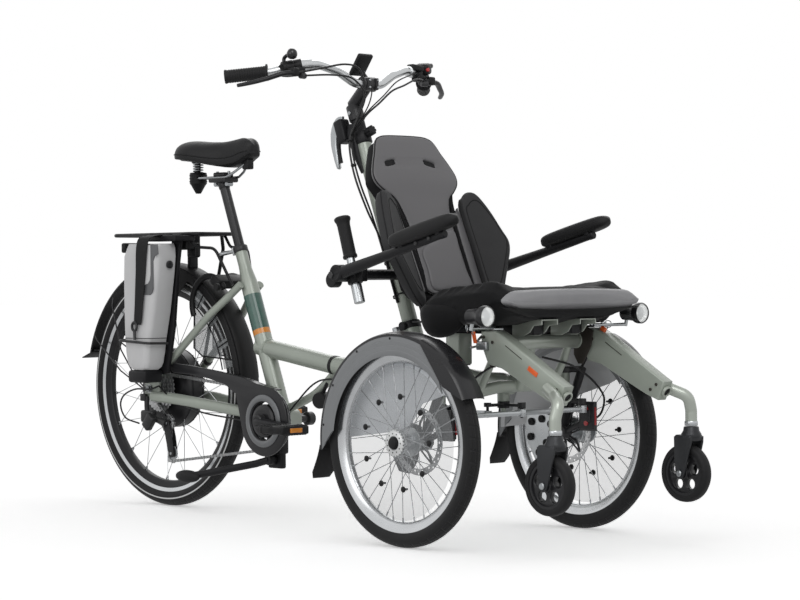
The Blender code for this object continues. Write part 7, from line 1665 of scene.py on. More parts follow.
# Grips, levers and controls
# Rubber grips with a flange at the inner end, two black brake levers, a bell and switches on the
# right, and a control pod with one small red button on the left.
red_button = finish("red_button", "b8272a", 0.36, "lamp", coat=0.3, drift=0.06, patch=80.0)
bell_steel = finish("bell_black", "1d1d1f", 0.16, "black_metal", metal=0.3, coat=0.5, drift=0.08,
                    patch=50.0, grain=0.04)
for label, side in (("right", -1.0), ("left", 1.0)):
    corner = Vector((-0.505, side * 0.2615, 1.1413))
    axis = Vector((grip_axis.x, side * grip_axis.y, grip_axis.z))
    grip = bmesh.new()
    profile = [(0.0111, 0.0), (0.0205, 0.0), (0.0212, 0.0012), (0.0212, 0.004), (0.0172, 0.0056)]
    for k in range(15):
        base = 0.0075 + k * 0.0062
        profile += [(0.0168, base), (0.0168, base + 0.0036), (0.016, base + 0.0042), (0.016, base + 0.0056)]
    profile += [(0.0172, 0.1035), (0.0178, 0.106), (0.0168, 0.1085), (0.0, 0.1095), (0.0, 0.104),
                (0.0111, 0.104)]
    add_turned(grip, profile, Matrix.Translation(corner + axis * 0.012) @ turn_to(axis), 36)
    piece(f"grip_rubber_{label}", grip, grip_rubber, "steering", (f"grip_{label}",), sharp=32)
    root = Vector((-0.452, side * 0.236, 1.137))
    lever = bmesh.new()
    blade = eased([root, (-0.46, side * 0.266, 1.1345), (-0.48, side * 0.296, 1.123),
                   (-0.5, side * 0.322, 1.114), (-0.52, side * 0.339, 1.1085),
                   (-0.536, side * 0.351, 1.105)], 6)
    widths = [0.0088 - 0.003 * i / (len(blade) - 1) for i in range(len(blade))]
    widths[-1] = 0.0052
    add_tube(lever, blade, widths, 20, tall=0.8)
    add_rod(lever, root + Vector((0.004, side * -0.016, -0.006)),
            root + Vector((-0.002, side * -0.034, -0.006)), 0.0078, sides=24)
    add_turned(lever, [(0.0, -0.0062), (0.007, -0.0062), (0.0078, -0.0052), (0.0078, 0.0052),
                       (0.007, 0.0062), (0.0, 0.0062)], Matrix.Translation(root) @ turn_to((0.1, 0, 1)), 24)
    piece(f"brake_blade_{label}", lever, black_metal, "brake_lever_" + label, (f"brake_lever_{label}",),
          sharp=42)
    holder = bmesh.new()
    add_box(holder, (0.046, 0.02, 0.022), root + Vector((-0.014, 0, 0.002)), edge=0.005)
    add_rod(holder, root + Vector((-0.036, side * -0.004, 0.01)),
            root + Vector((-0.03, side * 0.012, 0.007)), 0.0165, sides=28)
    add_rod(holder, root + Vector((0.004, side * -0.006, 0.0)),
            root + Vector((0.002, side * -0.026, 0.003)), 0.0046, sides=16)
    add_rod(holder, (-0.477, side * 0.22, 1.1548), (-0.489, side * 0.244, 1.1492), 0.0172, sides=30)
    add_rod(holder, (-0.4665, side * 0.2, 1.16), (-0.479, side * 0.216, 1.1565), 0.015, sides=28)
    add_box(holder, (0.03, 0.026, 0.018), (-0.47, side * 0.208, 1.146), edge=0.005)
    piece(f"lever_holder_{label}", holder, black_plastic, "steering", sharp=38)
pod = bmesh.new()
add_box(pod, (0.04, 0.036, 0.03), (-0.478, 0.232, 1.171), turn_to((0.1, -0.2, 1)), edge=0.008)
add_box(pod, (0.026, 0.044, 0.016), (-0.468, 0.196, 1.172), turn_to((0.0, 0.1, 1)), edge=0.005)
add_tube(pod, rounded([(-0.474, 0.246, 1.176), (-0.482, 0.266, 1.184), (-0.492, 0.276, 1.182)], 0.01),
         [0.0052] * 9, 14)
piece("control_pod", pod, black_plastic, "steering", sharp=38)
button = bmesh.new()
add_turned(button, [(0.0, 0.0055), (0.005, 0.0045), (0.0062, 0.002), (0.0062, 0.0), (0.0, 0.0)],
           Matrix.Translation((-0.459, 0.229, 1.169)) @ turn_to((1, 0, 0.1)), 28)
piece("control_button", button, red_button, "steering")
bell = bmesh.new()
add_tube(bell, rounded([(-0.49, -0.238, 1.142), (-0.49, -0.238, 1.176), (-0.478, -0.238, 1.182),
                        (-0.462, -0.238, 1.184)], 0.008), 0.0048, 14)
add_turned(bell, [(0.0, 0.0135), (0.006, 0.0124), (0.0105, 0.0085), (0.0132, 0.002), (0.0136, -0.0025),
                  (0.012, -0.009), (0.007, -0.013), (0.0, -0.014)],
           Matrix.Translation((-0.459, -0.238, 1.185)) @ turn_to((0.3, -0.1, 1)), 32)
piece("bell", bell, bell_steel, "steering", sharp=50)

# Display
# A slim black unit tilted towards the rider on the stem, with a dark glass face that stays bare
# and two small keys under it.
screen_glass = finish("display_glass", "101214", 0.08, "black_plastic", coat=0.8, drift=0.2, patch=25.0,
                      grain=0.02)
screen_turn = Matrix.Rotation(math.radians(37), 4, "Y")
display = bmesh.new()
add_box(display, (0.012, 0.048, 0.064), (-0.465, 0, 1.17), screen_turn, edge=0.0048, segments=4)
add_tube(display, rounded([(-0.462, 0, 1.15), (-0.456, 0, 1.142), (-0.446, 0, 1.132)], 0.01), 0.0075, 18)
piece("display_case", display, black_plastic, "steering", ("display",), sharp=38)
glass = bmesh.new()
add_box(glass, (0.0016, 0.04, 0.044), Vector((-0.465, 0, 1.17)) + screen_turn @ Vector((-0.006, 0, 0.006)),
        screen_turn, edge=0.0006)
piece("display_face", glass, screen_glass, "steering")
keys = bmesh.new()
for y in (-0.011, 0.011):
    add_box(keys, (0.0022, 0.014, 0.007), Vector((-0.465, 0, 1.17))
            + screen_turn @ Vector((-0.0062, y, -0.023)), screen_turn, edge=0.0009)
piece("display_keys", keys, black_skin, "steering")

# Parking brake lever
# A bright curved blade on the left of the column pulls the front brakes on and holds them with
# a ratchet in its black housing.
blade_silver = finish("parking_blade", "aaadaf", 0.26, "alloy", metal=0.9, drift=0.05)
parking = bmesh.new()
pull_pivot = Vector((-0.517, -0.02, 1.0165))
outline = [(pull_pivot.x + dx, pull_pivot.z + dz) for dx,
           dz in ((0.006, 0.024), (-0.007, 0.0245), (-0.018, 0.02), (-0.029, 0.009), (-0.036, -0.006),
                  (-0.0395, -0.02), (-0.039, -0.034), (-0.0375, -0.05), (-0.033, -0.066), (-0.025, -0.09),
                  (-0.016, -0.109), (-0.01, -0.111), (-0.006, -0.106), (-0.011, -0.086), (-0.0145, -0.066),
                  (-0.0165, -0.048), (-0.016, -0.03), (-0.012, -0.018), (-0.006, -0.008), (0.004, -0.003))]
add_plate(parking, outline, 0.0118, side_place(pull_pivot.y), edge=0.0042)
piece("parking_blade", parking, blade_silver, "parking_lever", ("parking_lever",), sharp=45)
inner_blade = bmesh.new()
add_tube(inner_blade, eased([(-0.521, -0.02, 0.994), (-0.528, -0.02, 0.97), (-0.526, -0.02, 0.945),
                             (-0.52, -0.02, 0.922)]), 0.0048, 16, tall=1.1)
add_rod(inner_blade, (-0.517, -0.029, 1.0165), (-0.517, -0.0115, 1.0165), 0.0062, sides=24)
piece("parking_blade_liner", inner_blade, black_plastic, "parking_lever")

# Cables
# Brake hoses and the gear cable run from the levers in loose bends, meet in a sleeve beside the
# column and follow it down to the frame, tied with small black clips.
cable_black = finish("cable_black", "1d1d1e", 0.42, "black_plastic", coat=0.2, drift=0.1, patch=60.0,
                     grain=0.1)
cables = bmesh.new()
joint = on_column(0.52, -0.004, -0.04)
bundle = [on_column(*p) for p in ((0.535, -0.006, -0.034), (0.49, 0.002, -0.05), (0.41, 0.004, -0.056),
                                  (0.32, 0.004, -0.044), (0.23, 0.002, -0.0254), (0.07, 0.0, -0.0234))]
add_tube(cables, eased(bundle, 10), 0.0027, 14)
loose = [on_column(*p) for p in ((0.535, -0.004, -0.03), (0.48, 0.01, -0.036), (0.4, 0.014, -0.034),
                                 (0.31, 0.008, -0.028), (0.23, 0.002, -0.029), (0.07, 0.0, -0.027))]
add_tube(cables, eased(loose, 10), 0.0025, 14)
cable_runs = [
    (0.0025, [(-0.452, -0.214, 1.14), (-0.432, -0.168, 1.15), (-0.416, -0.1, 1.163),
              (-0.416, -0.05, 1.152), (-0.414, -0.034, 1.1), (-0.432, -0.036, 1.05), joint]),
    (0.0024, [(-0.446, -0.212, 1.131), (-0.424, -0.138, 1.135), (-0.406, -0.085, 1.128),
              (-0.404, -0.044, 1.09), (-0.424, -0.044, 1.04), joint]),
    (0.0025, [(-0.452, 0.214, 1.138), (-0.426, 0.16, 1.139), (-0.412, 0.1, 1.119),
              (-0.404, 0.05, 1.102), (-0.406, 0.008, 1.07), (-0.424, -0.02, 1.04), joint]),
    (0.0017, [(-0.468, 0.205, 1.163), (-0.44, 0.15, 1.15), (-0.424, 0.085, 1.128),
              (-0.42, 0.035, 1.09), (-0.43, -0.014, 1.046), joint]),
    (0.0017, [(-0.458, 0.004, 1.142), (-0.42, -0.006, 1.11), (-0.418, -0.02, 1.062), joint])
]
for radius, route in cable_runs:
    add_tube(cables, eased(route, 10), radius, 12)
piece("handlebar_hoses", cables, cable_black, "steering", ("handlebar_cables",), sharp=70)
ties = bmesh.new()
for along, y, reach in ((0.09, -0.0234, 0.0235), (0.18, -0.024, 0.0235), (0.44, -0.053, 0.0066),
                        (0.508, -0.044, 0.008)):
    centre = on_column(along, 0.001, y if reach < 0.01 else -0.002)
    add_turned(ties, [(reach - 0.0006, -0.0022), (reach + 0.0008, -0.0022), (reach + 0.0008, 0.0022),
                      (reach - 0.0006, 0.0022)], Matrix.Translation(centre) @ column_turn, 28, ring=True)
piece("cable_ties", ties, black_plastic, "steering")

# Saddle and seat post
# A wide sprung saddle: a stretched black cover with a welted side, two bent steel rails, a coil
# spring under the tail and a two-bolt head on a black post.
post_top = Vector((-1.0161, 0, 0.8876))
saddle_skin = skin_coat("saddle_skin", "1e1e1f", 0.46, grain=0.3, pitch=640.0)
saddle_stations = [(-0.122, 0.045, 0.0925, 0.0705), (-0.112, 0.078, 0.1075, 0.0635),
                   (-0.084, 0.096, 0.1155, 0.0605), (-0.044, 0.094, 0.1145, 0.0565),
                   (-0.004, 0.074, 0.1105, 0.0485), (0.036, 0.05, 0.1105, 0.0425),
                   (0.076, 0.037, 0.1155, 0.0465), (0.103, 0.032, 0.1185, 0.0575),
                   (0.122, 0.027, 0.112, 0.066), (0.134, 0.013, 0.099, 0.076)]
rings = []
fine = eased([Vector((ahead, half, top)) for ahead, half, top, low in saddle_stations], 3)
lows = eased([Vector((ahead, low, 0)) for ahead, half, top, low in saddle_stations], 3)
for p, q in zip(fine, lows):
    ring = []
    for k in range(28):
        a = math.pi * k / 27
        dish = 0.0035 * max(0.0, 1 - abs(math.cos(a)) * 3.2)
        ring.append(post_top + Vector((p.x, p.y * math.copysign(abs(math.cos(a)) ** 0.72, math.cos(a)),
                                       q.y + (p.z - dish - q.y) * math.sin(a) ** 0.6)))
    ring += [post_top + Vector((p.x, -p.y * 0.9 * s, q.y + 0.004)) for s in (0.9, 0.5, 0.0, -0.5, -0.9)]
    rings.append(ring)
saddle = closed_loft(rings)
saddle_piece = piece("saddle_cover", saddle, saddle_skin, "seat_post", ("saddle",), sharp=60, soften=1)
saddle_seam = bmesh.new()
for side in (-1, 1):
    add_tube(saddle_seam, eased([post_top + Vector((p.x, side * (p.y * 1.004), q.y + (p.z - q.y) * 0.3))
                                 for p, q in zip(fine[2:-2], lows[2:-2])], 2), 0.0012, 8)
piece("saddle_seams", saddle_seam, thread, "seat_post", sharp=70)
under = bmesh.new()
base_rings = []
for p, q in zip(fine[2:-2], lows[2:-2]):
    base_rings.append([post_top + Vector((p.x, p.y * 0.88 * s, q.y + z)) for s,
                       z in ((1, 0.006), (0.8, -0.001), (0.3, -0.003), (-0.3, -0.003), (-0.8, -0.001),
                             (-1, 0.006), (-0.5, 0.01), (0.5, 0.01))])
piece("saddle_base", closed_loft(base_rings), black_plastic, "seat_post", sharp=50)
rails = bmesh.new()
for side in (-1.0, 1.0):
    rail_route = [(-0.913, side * 0.007, 0.936), (-0.932, side * 0.01, 0.926), (-0.95, side * 0.016, 0.914),
                  (-0.978, side * 0.022, 0.9014), (-1.06, side * 0.022, 0.9014),
                  (-1.1, side * 0.016, 0.902), (-1.116, side * 0.01, 0.9035)]
    add_tube(rails, rounded(rail_route, 0.03), 0.0035, 16)
piece("saddle_rail_bars", rails, steel, "seat_post", ("saddle_rails",))
carrier_block = bmesh.new()
add_box(carrier_block, (0.026, 0.022, 0.028), (-0.913, 0, 0.934), edge=0.004)
spring_place = Matrix.Translation((-1.123, 0, 0))
add_turned(carrier_block, [(0.0, 0.8605), (0.007, 0.861), (0.011, 0.868), (0.02, 0.884), (0.0235, 0.888),
                           (0.0235, 0.916), (0.022, 0.918), (0.018, 0.9185), (0.0, 0.9185)], spring_place,
           36)
for k in range(3):
    add_turned(carrier_block, [(0.0228, 0.892 + 0.008 * k), (0.0246, 0.8926 + 0.008 * k),
                               (0.0246, 0.8954 + 0.008 * k), (0.0228, 0.896 + 0.008 * k)], spring_place, 36,
               ring=True)
add_rod(carrier_block, (-1.123, 0, 0.918), (-1.123, 0, 0.95), 0.007, sides=20)
add_turned(carrier_block, [(0.0, 0.944), (0.0165, 0.944), (0.018, 0.9455), (0.018, 0.949), (0.0165, 0.9505),
                           (0.0, 0.9505)], spring_place, 32)
piece("saddle_spring_housing", carrier_block, black_plastic, "seat_post", sharp=38)
spring = bmesh.new()
coil = [Vector((-1.123 + 0.013 * math.cos(2 * math.pi * t / 24), 0.013 * math.sin(2 * math.pi * t / 24),
                0.918 + 0.027 * t / 96)) for t in range(97)]
add_tube(spring, coil, 0.002, 10)
piece("saddle_spring", spring, steel, "seat_post", sharp=70)
post = bmesh.new()
collar = Vector((-0.9491, 0, 0.714))
add_tube(post, [collar - seat_line * 0.135, collar, post_top], 0.0136, 36)
add_turned(post, [(0.0136, -0.018), (0.015, -0.016), (0.016, 0.0), (0.015, 0.003), (0.0, 0.003)],
           Matrix.Translation(post_top) @ turn_to(seat_line), 32)
add_box(post, (0.07, 0.05, 0.0145), post_top + Vector((0, 0, 0.0075)), edge=0.004)
add_box(post, (0.046, 0.036, 0.012), post_top + Vector((0, 0, 0.0215)), edge=0.004)
piece("post_tube", post, black_metal, "seat_post", ("seat_post",), sharp=38)
head_bolts = bmesh.new()
for ahead in (-0.024, 0.024):
    add_rod(head_bolts, post_top + Vector((ahead, 0, -0.008)), post_top + Vector((ahead, 0, 0.031)), 0.0042,
            sides=16)
    add_rod(head_bolts, post_top + Vector((ahead, -0.01, -0.004)), post_top + Vector((ahead, 0.01, -0.004)),
            0.0062, sides=18)
piece("post_head_bolts", head_bolts, steel, "seat_post")
clamp = bmesh.new()
add_turned(clamp, [(collar_radius + 0.0002, -0.0165), (0.0192, -0.0165), (0.0202, -0.015), (0.0202, -0.002),
                   (0.0192, -0.0005), (collar_radius + 0.0002, -0.0005)],
           Matrix.Translation(collar) @ turn_to(seat_line), 40, ring=True)
piece("post_collar", clamp, black_metal, "frame")
refined("clamp_lever_forged", "seat_clamp_lever", alloy, "seat_clamp_lever", edge=0.001)

# Rear mudguard
# A deep black mudguard with a rubber tail flap, held by two wire stays a side, and smoky dress
# guards in two layers that keep a coat out of the spokes.
smoke = clear_coat("smoky_guard", "8d9092", 0.45, 0.2, "grey_plastic")
guard_place = on_axle(*rear_axle)
mudguard = bmesh.new()
add_turned(mudguard, [(0.336, 0.0302), (0.338, 0.0316), (0.343, 0.0306), (0.3462, 0.024), (0.348, 0.013),
                      (0.3486, 0.0), (0.348, -0.013), (0.3462, -0.024), (0.343, -0.0306), (0.338, -0.0316),
                      (0.336, -0.0302), (0.3385, -0.0294), (0.3412, -0.0286), (0.344, -0.0225),
                      (0.3456, -0.012), (0.3462, 0.0), (0.3456, 0.012), (0.344, 0.0225), (0.3412, 0.0286),
                      (0.3385, 0.0294)], guard_place, 128, ring=True, start=math.radians(-4),
           sweep=math.radians(-161))
piece("rear_mudguard_shell", mudguard, black_plastic, "frame", ("rear_mudguard",), sharp=40)
tail_flap = bmesh.new()
add_box(tail_flap, (0.05, 0.056, 0.0032), (-1.6, 0, 0.412), Matrix.Rotation(math.radians(-20), 4, "Y"),
        edge=0.0012)
add_box(tail_flap, (0.022, 0.044, 0.004), (-1.58, 0, 0.4215), Matrix.Rotation(math.radians(-34), 4, "Y"),
        edge=0.0014)
piece("rear_mud_flap", tail_flap, flap_rubber, "frame")
dress = bmesh.new()
outline = arc(rear_axle.x, rear_axle.z, 0.3375, 8, 64, 24) + [(-1.106, 0.6), (-1.104, 0.52), (-1.106, 0.44),
    (-1.07, 0.418), (-0.93, 0.41)]
windows = []
for low, high in ((12, 23), (27, 38), (42, 52)):
    windows.append(arc(rear_axle.x, rear_axle.z, 0.326, low, high, 5)
                   + arc(rear_axle.x, rear_axle.z, 0.278, high, low, 5))
for y in (-0.0318, 0.0318):
    add_plate(dress, outline, 0.0018, side_place(y), edge=0.0004, holes=windows)
piece("dress_guard_panels", dress, smoke, "frame", sharp=35)
flank = bmesh.new()
for y in (-0.0336, 0.0336):
    add_plate(flank, arc(rear_axle.x, rear_axle.z, 0.34, 6, 104, 40)
              + arc(rear_axle.x, rear_axle.z, 0.262, 104, 74, 12)
              + arc(rear_axle.x, rear_axle.z, 0.318, 68, 6, 24), 0.002, side_place(y), edge=0.0005)
piece("rear_mudguard_flanks", flank, black_plastic, "frame", sharp=40)
ribs = bmesh.new()
for y in (-0.0334, 0.0334):
    edge_line = [Vector((x, y, z)) for x, z in outline]
    add_tube(ribs, edge_line + [edge_line[0]], 0.0021, 8)
    for angle in (25.0, 40.0, 54.0):
        a = math.radians(angle)
        c, s = math.cos(a), math.sin(a)
        add_tube(ribs, [Vector((rear_axle.x + 0.334 * c, y, rear_axle.z + 0.334 * s)),
                        Vector((rear_axle.x + 0.272 * c, y, rear_axle.z + 0.272 * s))], 0.0018, 8)
    add_tube(ribs, [Vector((x, y, z)) for x, z in arc(rear_axle.x, rear_axle.z, 0.272, 12, 58, 20)], 0.0018,
             8)
piece("dress_guard_ribs", ribs, black_plastic, "frame", sharp=60)
wires = bmesh.new()
for side in (-1.0, 1.0):
    wire = [(-1.473, side * 0.0295, 0.576), (-1.47, side * 0.034, 0.552), (-1.415, side * 0.047, 0.43),
            (-1.31, side * 0.074, 0.352), (-1.267, side * 0.0755, 0.3265)]
    add_tube(wires, rounded(wire, 0.02), 0.0021, 12)
    second = [(-1.56, side * 0.03, 0.47), (-1.54, side * 0.036, 0.455), (-1.4, side * 0.06, 0.372),
              (-1.27, side * 0.0755, 0.3225)]
    add_tube(wires, rounded(second, 0.02), 0.0021, 12)
    add_rod(wires, (-1.267, side * 0.073, 0.3265 - 0.002), (-1.267, side * 0.08, 0.3265 - 0.002), 0.005,
            sides=6)
piece("mudguard_stays", wires, black_metal, "frame")
ring_lock = bmesh.new()
for y in (-0.04, 0.04):
    lock_arc = [Vector((x, y, z)) for x, z in arc(-1.03, 0.56, 0.075, 205, 35, 20)]
    add_tube(ring_lock, lock_arc, 0.0072, 12, tall=1.2)
add_box(ring_lock, (0.038, 0.112, 0.026), (-0.992, 0, 0.62), Matrix.Rotation(math.radians(35), 4, "Y"),
        edge=0.006)
add_rod(ring_lock, (-0.97, -0.058, 0.606), (-0.97, -0.068, 0.606), 0.01, sides=24)
piece("ring_lock", ring_lock, black_plastic, "frame", sharp=40)

# Carrier and battery
# A black wire and plate rack over the wheel. The battery, a light grey case with a dark recess,
# stands in a rail on its right side, locked by a key and held by a wide black strap.
rack = bmesh.new()
rail_loop = rounded([(-1.235, -0.07, 0.75), (-1.42, -0.07, 0.75), (-1.42, 0.07, 0.75), (-1.05, 0.07, 0.75),
                     (-1.05, -0.07, 0.75), (-1.235, -0.07, 0.75)], 0.03, 8)
add_tube(rack, rail_loop, 0.0052, 16)
for x, length in ((-1.36, 0.045), (-1.175, 0.045), (-1.08, 0.045)):
    add_box(rack, (length, 0.138, 0.004), (x, 0, 0.7495), edge=0.0012)
for x in (-1.3, -1.24, -1.13):
    add_tube(rack, [(x, -0.07, 0.75), (x, 0.07, 0.75)], 0.0036, 12)
for side in (-1.0, 1.0):
    strut = [(-1.095, side * 0.068, 0.748), (-1.06, side * 0.06, 0.714), (-0.985, side * 0.057, 0.71),
             (-0.9386, side * 0.0355, 0.6105)]
    add_tube(rack, rounded(strut, 0.03), 0.0042, 14)
add_tube(rack, rounded([(-1.11, 0.07, 0.75), (-1.118, 0.082, 0.71), (-1.215, 0.0905, 0.4),
                        (-1.252, 0.0785, 0.348)], 0.03), 0.005, 14)
add_box(rack, (0.034, 0.012, 0.05), (-1.14, 0, 0.73), edge=0.003)
add_box(rack, (0.012, 0.03, 0.057), (-1.15, 0, 0.6857), edge=0.003)
add_plate(rack, [(-1.1215, 0.75), (-1.084, 0.75), (-1.1, 0.66), (-1.118, 0.5), (-1.1465, 0.372),
                 (-1.2, 0.364), (-1.19, 0.4), (-1.165, 0.5), (-1.138, 0.64)], 0.011, side_place(-0.089),
          edge=0.0024)
add_box(rack, (0.074, 0.066, 0.034), (-1.2, -0.128, 0.364), edge=0.008)
add_box(rack, (0.15, 0.07, 0.016), (-1.14, -0.094, 0.7385), edge=0.003)
add_box(rack, (0.02, 0.014, 0.032), (-1.2575, -0.0833, 0.358), edge=0.003)
for z in (0.43, 0.52, 0.61, 0.7):
    add_box(rack, (0.018, 0.003, 0.01), (-1.118 - (0.7 - z) * 0.14, -0.0955, z), edge=0.001)
piece("carrier_rack", rack, black_paint, "frame", ("carrier",), sharp=38)
cluster = bmesh.new()
add_box(cluster, (0.056, 0.03, 0.03), (-1.118, -0.055, 0.722), edge=0.006)
add_box(cluster, (0.04, 0.02, 0.04), (-1.108, -0.03, 0.706), edge=0.006)
add_box(cluster, (0.02, 0.06, 0.028), (-1.424, 0, 0.716), edge=0.005)
piece("carrier_blocks", cluster, black_plastic, "frame", sharp=38)
rear_lens = bmesh.new()
add_box(rear_lens, (0.006, 0.05, 0.02), (-1.4355, 0, 0.716), edge=0.002)
piece("rear_lamp_lens", rear_lens, red_button, "frame")
battery_grey = finish("battery_case_grey", "c9c9ca", 0.42, "battery_grey", coat=0.1, drift=0.04, patch=6.0,
                      grain=0.2, pitch=900.0)
levels = [(0.382, -1.226, -1.165, 0.01), (0.39, -1.236, -1.157, 0.004), (0.402, -1.242, -1.152, 0.002),
          (0.43, -1.246, -1.147, 0.0), (0.46, -1.249, -1.142, 0.0), (0.5, -1.251, -1.132, 0.0),
          (0.54, -1.252, -1.122, 0.0), (0.59, -1.253, -1.113, 0.0), (0.64, -1.253, -1.104, 0.0),
          (0.69, -1.251, -1.098, 0.0), (0.712, -1.24, -1.098, 0.001), (0.724, -1.234, -1.101, 0.003)]


def battery_ring(z, rear, ahead, pinch, inset=0.0):
    """A rounded rectangle across the battery at one height."""
    near, far = -0.166 + pinch + inset, -0.0963 - pinch - inset
    rear, ahead = rear + inset, ahead - inset
    soft = 0.017
    ring = []
    for cx, cy, first in ((ahead - soft, far - 0.006, 0), (rear + soft, far - 0.006, 90),
                          (rear + soft, near + soft, 180), (ahead - soft, near + soft, 270)):
        r = 0.006 if first < 180 else soft
        for i in range(7):
            a = math.radians(first + 15 * i)
            ring.append(Vector((cx + soft * math.cos(a), cy + r * math.sin(a), z)))
    return ring


case = closed_loft([battery_ring(*level) for level in levels])
piece("battery_case", case, battery_grey, "frame", ("battery",), sharp=42)
recess = bmesh.new()
add_plate(recess, [(-1.152, 0.7215), (-1.093, 0.7215), (-1.09, 0.695), (-1.106, 0.69), (-1.1125, 0.676),
                   (-1.1135, 0.602), (-1.1175, 0.592), (-1.126, 0.5855), (-1.152, 0.5855)], 0.003,
          side_place(-0.1663), edge=0.001)
add_box(recess, (0.012, 0.024, 0.03), (-1.266, -0.126, 0.682), edge=0.003)
piece("battery_recess", recess, finish("recess_grey", "5c5d5f", 0.4, "grey_plastic", coat=0.1, drift=0.06,
          patch=12.0), "frame", sharp=38)
inset = bmesh.new()
add_plate(inset, [(-1.152, 0.72), (-1.1225, 0.72), (-1.1225, 0.64), (-1.126, 0.625), (-1.134, 0.616),
                  (-1.152, 0.612)], 0.003, side_place(-0.168), edge=0.0012)
piece("battery_recess_panel", inset, battery_grey, "frame", sharp=38)
seam = bmesh.new()
loop = battery_ring(0.468, -1.249, -1.1402, 0.0, inset=-0.0004)
add_tube(seam, loop + [loop[0]], 0.0009, 6)
piece("battery_seams", seam, thread, "frame", sharp=70)
key_lock = bmesh.new()
add_turned(key_lock, [(0.0, 0.0), (0.0095, 0.0), (0.0108, 0.001), (0.0108, 0.0045), (0.0085, 0.006),
                      (0.004, 0.006), (0.0036, 0.0045), (0.0, 0.0045)],
           Matrix.Translation((-1.1005, -0.122, 0.667)) @ turn_to((1, 0, 0.03)), 32)
piece("battery_lock", key_lock, dark_shell, "frame", sharp=38)
webbing = finish("strap_webbing", "1d1d1e", 0.72, "soft_black", drift=0.15, patch=80.0, grain=0.6,
                 pitch=420.0, stretch=(1, 1, 3))
strap = bmesh.new()
strap_route = [(-1.147, -0.1, 0.748), (-1.149, -0.15, 0.744), (-1.152, -0.1715, 0.724),
               (-1.161, -0.1715, 0.64), (-1.169, -0.1715, 0.56), (-1.176, -0.1715, 0.505)]
strap_path = eased(strap_route, 6)
left_edge, right_edge = [], []
for thick in (0.0, 0.0018):
    lift = Vector((0, -thick, thick * 0.5))
    left_edge.append([strap.verts.new(p + lift - Vector((0.0155 + 0.038 * (p.z - 0.505), 0, 0)))
                      for p in strap_path])
    right_edge.append([strap.verts.new(p + lift + Vector((0.0155 + 0.038 * (p.z - 0.505), 0, 0)))
                       for p in strap_path])
for i in range(len(strap_path) - 1):
    for a, b in ((left_edge[0], right_edge[0]), (left_edge[1], right_edge[1]), (left_edge[0], left_edge[1]),
                 (right_edge[0], right_edge[1])):
        strap.faces.new((a[i], a[i + 1], b[i + 1], b[i]))
for i in (0, -1):
    strap.faces.new((left_edge[0][i], right_edge[0][i], right_edge[1][i], left_edge[1][i]))
piece("battery_strap", strap, webbing, "frame", sharp=50)
fittings = bmesh.new()
ring_at = Vector((-1.1878, -0.174, 0.5))
add_tube(fittings, [ring_at + Vector((0.01 * math.cos(2 * math.pi * i / 28), 0,
                            0.0118 * math.sin(2 * math.pi * i / 28))) for i in range(29)], 0.0036, 10)
add_tube(fittings, [ring_at + Vector((0.0, 0, -0.012)), ring_at + Vector((0.002, 0, -0.036))], 0.0042, 12)
add_tube(fittings, rounded([(-1.256, -0.112, 0.462), (-1.259, -0.168, 0.462), (-1.25, -0.1725, 0.461),
                            (-1.15, -0.1725, 0.456), (-1.134, -0.166, 0.455), (-1.132, -0.104, 0.454)],
                           0.012), 0.0036, 12)
piece("battery_wires", fittings, black_metal, "frame")

# Drive train
# Chain, sprockets and rear derailleur. The upper run hides in a black chain guard with a grey
# ring about the crank, and the sprung cage keeps the lower run tight.
chain_steel = finish("chain_steel", "b5b6b7", 0.3, "steel", metal=0.9, drift=0.14, patch=120.0, grain=0.15)
chain_y = -0.0505
ring_centre = Vector((crank_centre.x, 0, crank_centre.z))
cog_centre = Vector((rear_axle.x, 0, rear_axle.z))
guide = Vector((-1.2, 0, 0.232))
tension = Vector((-1.18, 0, 0.15))


def belt_path(wheels, count):
    """Evenly spaced points and headings along a chain wrapped round wheels of (centre, radius, side)."""
    pieces = []
    for (c1, r1, s1), (c2, r2, s2) in zip(wheels, wheels[1:] + wheels[:1]):
        across = Vector((c2.x - c1.x, c2.z - c1.z))
        distance = across.length
        lead = math.atan2(across.y, across.x)
        swing = math.asin(max(-1.0, min(1.0, (s1 * r1 - s2 * r2) / distance)))
        heading = lead + swing
        normal = Vector((-math.sin(heading), math.cos(heading)))
        start = Vector((c1.x, c1.z)) + normal * (s1 * r1)
        end = Vector((c2.x, c2.z)) + normal * (s2 * r2)
        pieces.append((start, end, c2, r2, s2))
    path_points = []
    for i, (start, end, centre, radius, sense) in enumerate(pieces):
        path_points += [start, end]
        following = pieces[(i + 1) % len(pieces)][0]
        a = math.atan2(end.y - centre.z, end.x - centre.x)
        b = math.atan2(following.y - centre.z, following.x - centre.x)
        turn = (b - a) % (2 * math.pi)
        if sense > 0:
            turn -= 2 * math.pi if turn > 0 else 0
        steps = max(2, int(abs(turn) * radius / 0.002))
        for k in range(1, steps):
            angle = a + turn * k / steps
            path_points.append(Vector((centre.x + radius * math.cos(angle),
                                       centre.z + radius * math.sin(angle))))
    path_points.append(path_points[0])
    lengths = [0.0]
    for p, q in zip(path_points, path_points[1:]):
        lengths.append(lengths[-1] + (q - p).length)
    spots = []
    index = 0
    for i in range(count):
        want = lengths[-1] * i / count
        while lengths[index + 1] < want:
            index += 1
        p, q = path_points[index], path_points[index + 1]
        t = (want - lengths[index]) / max(1e-9, lengths[index + 1] - lengths[index])
        spots.append((p + (q - p) * t, math.atan2(q.y - p.y, q.x - p.x)))
    return spots, lengths[-1]


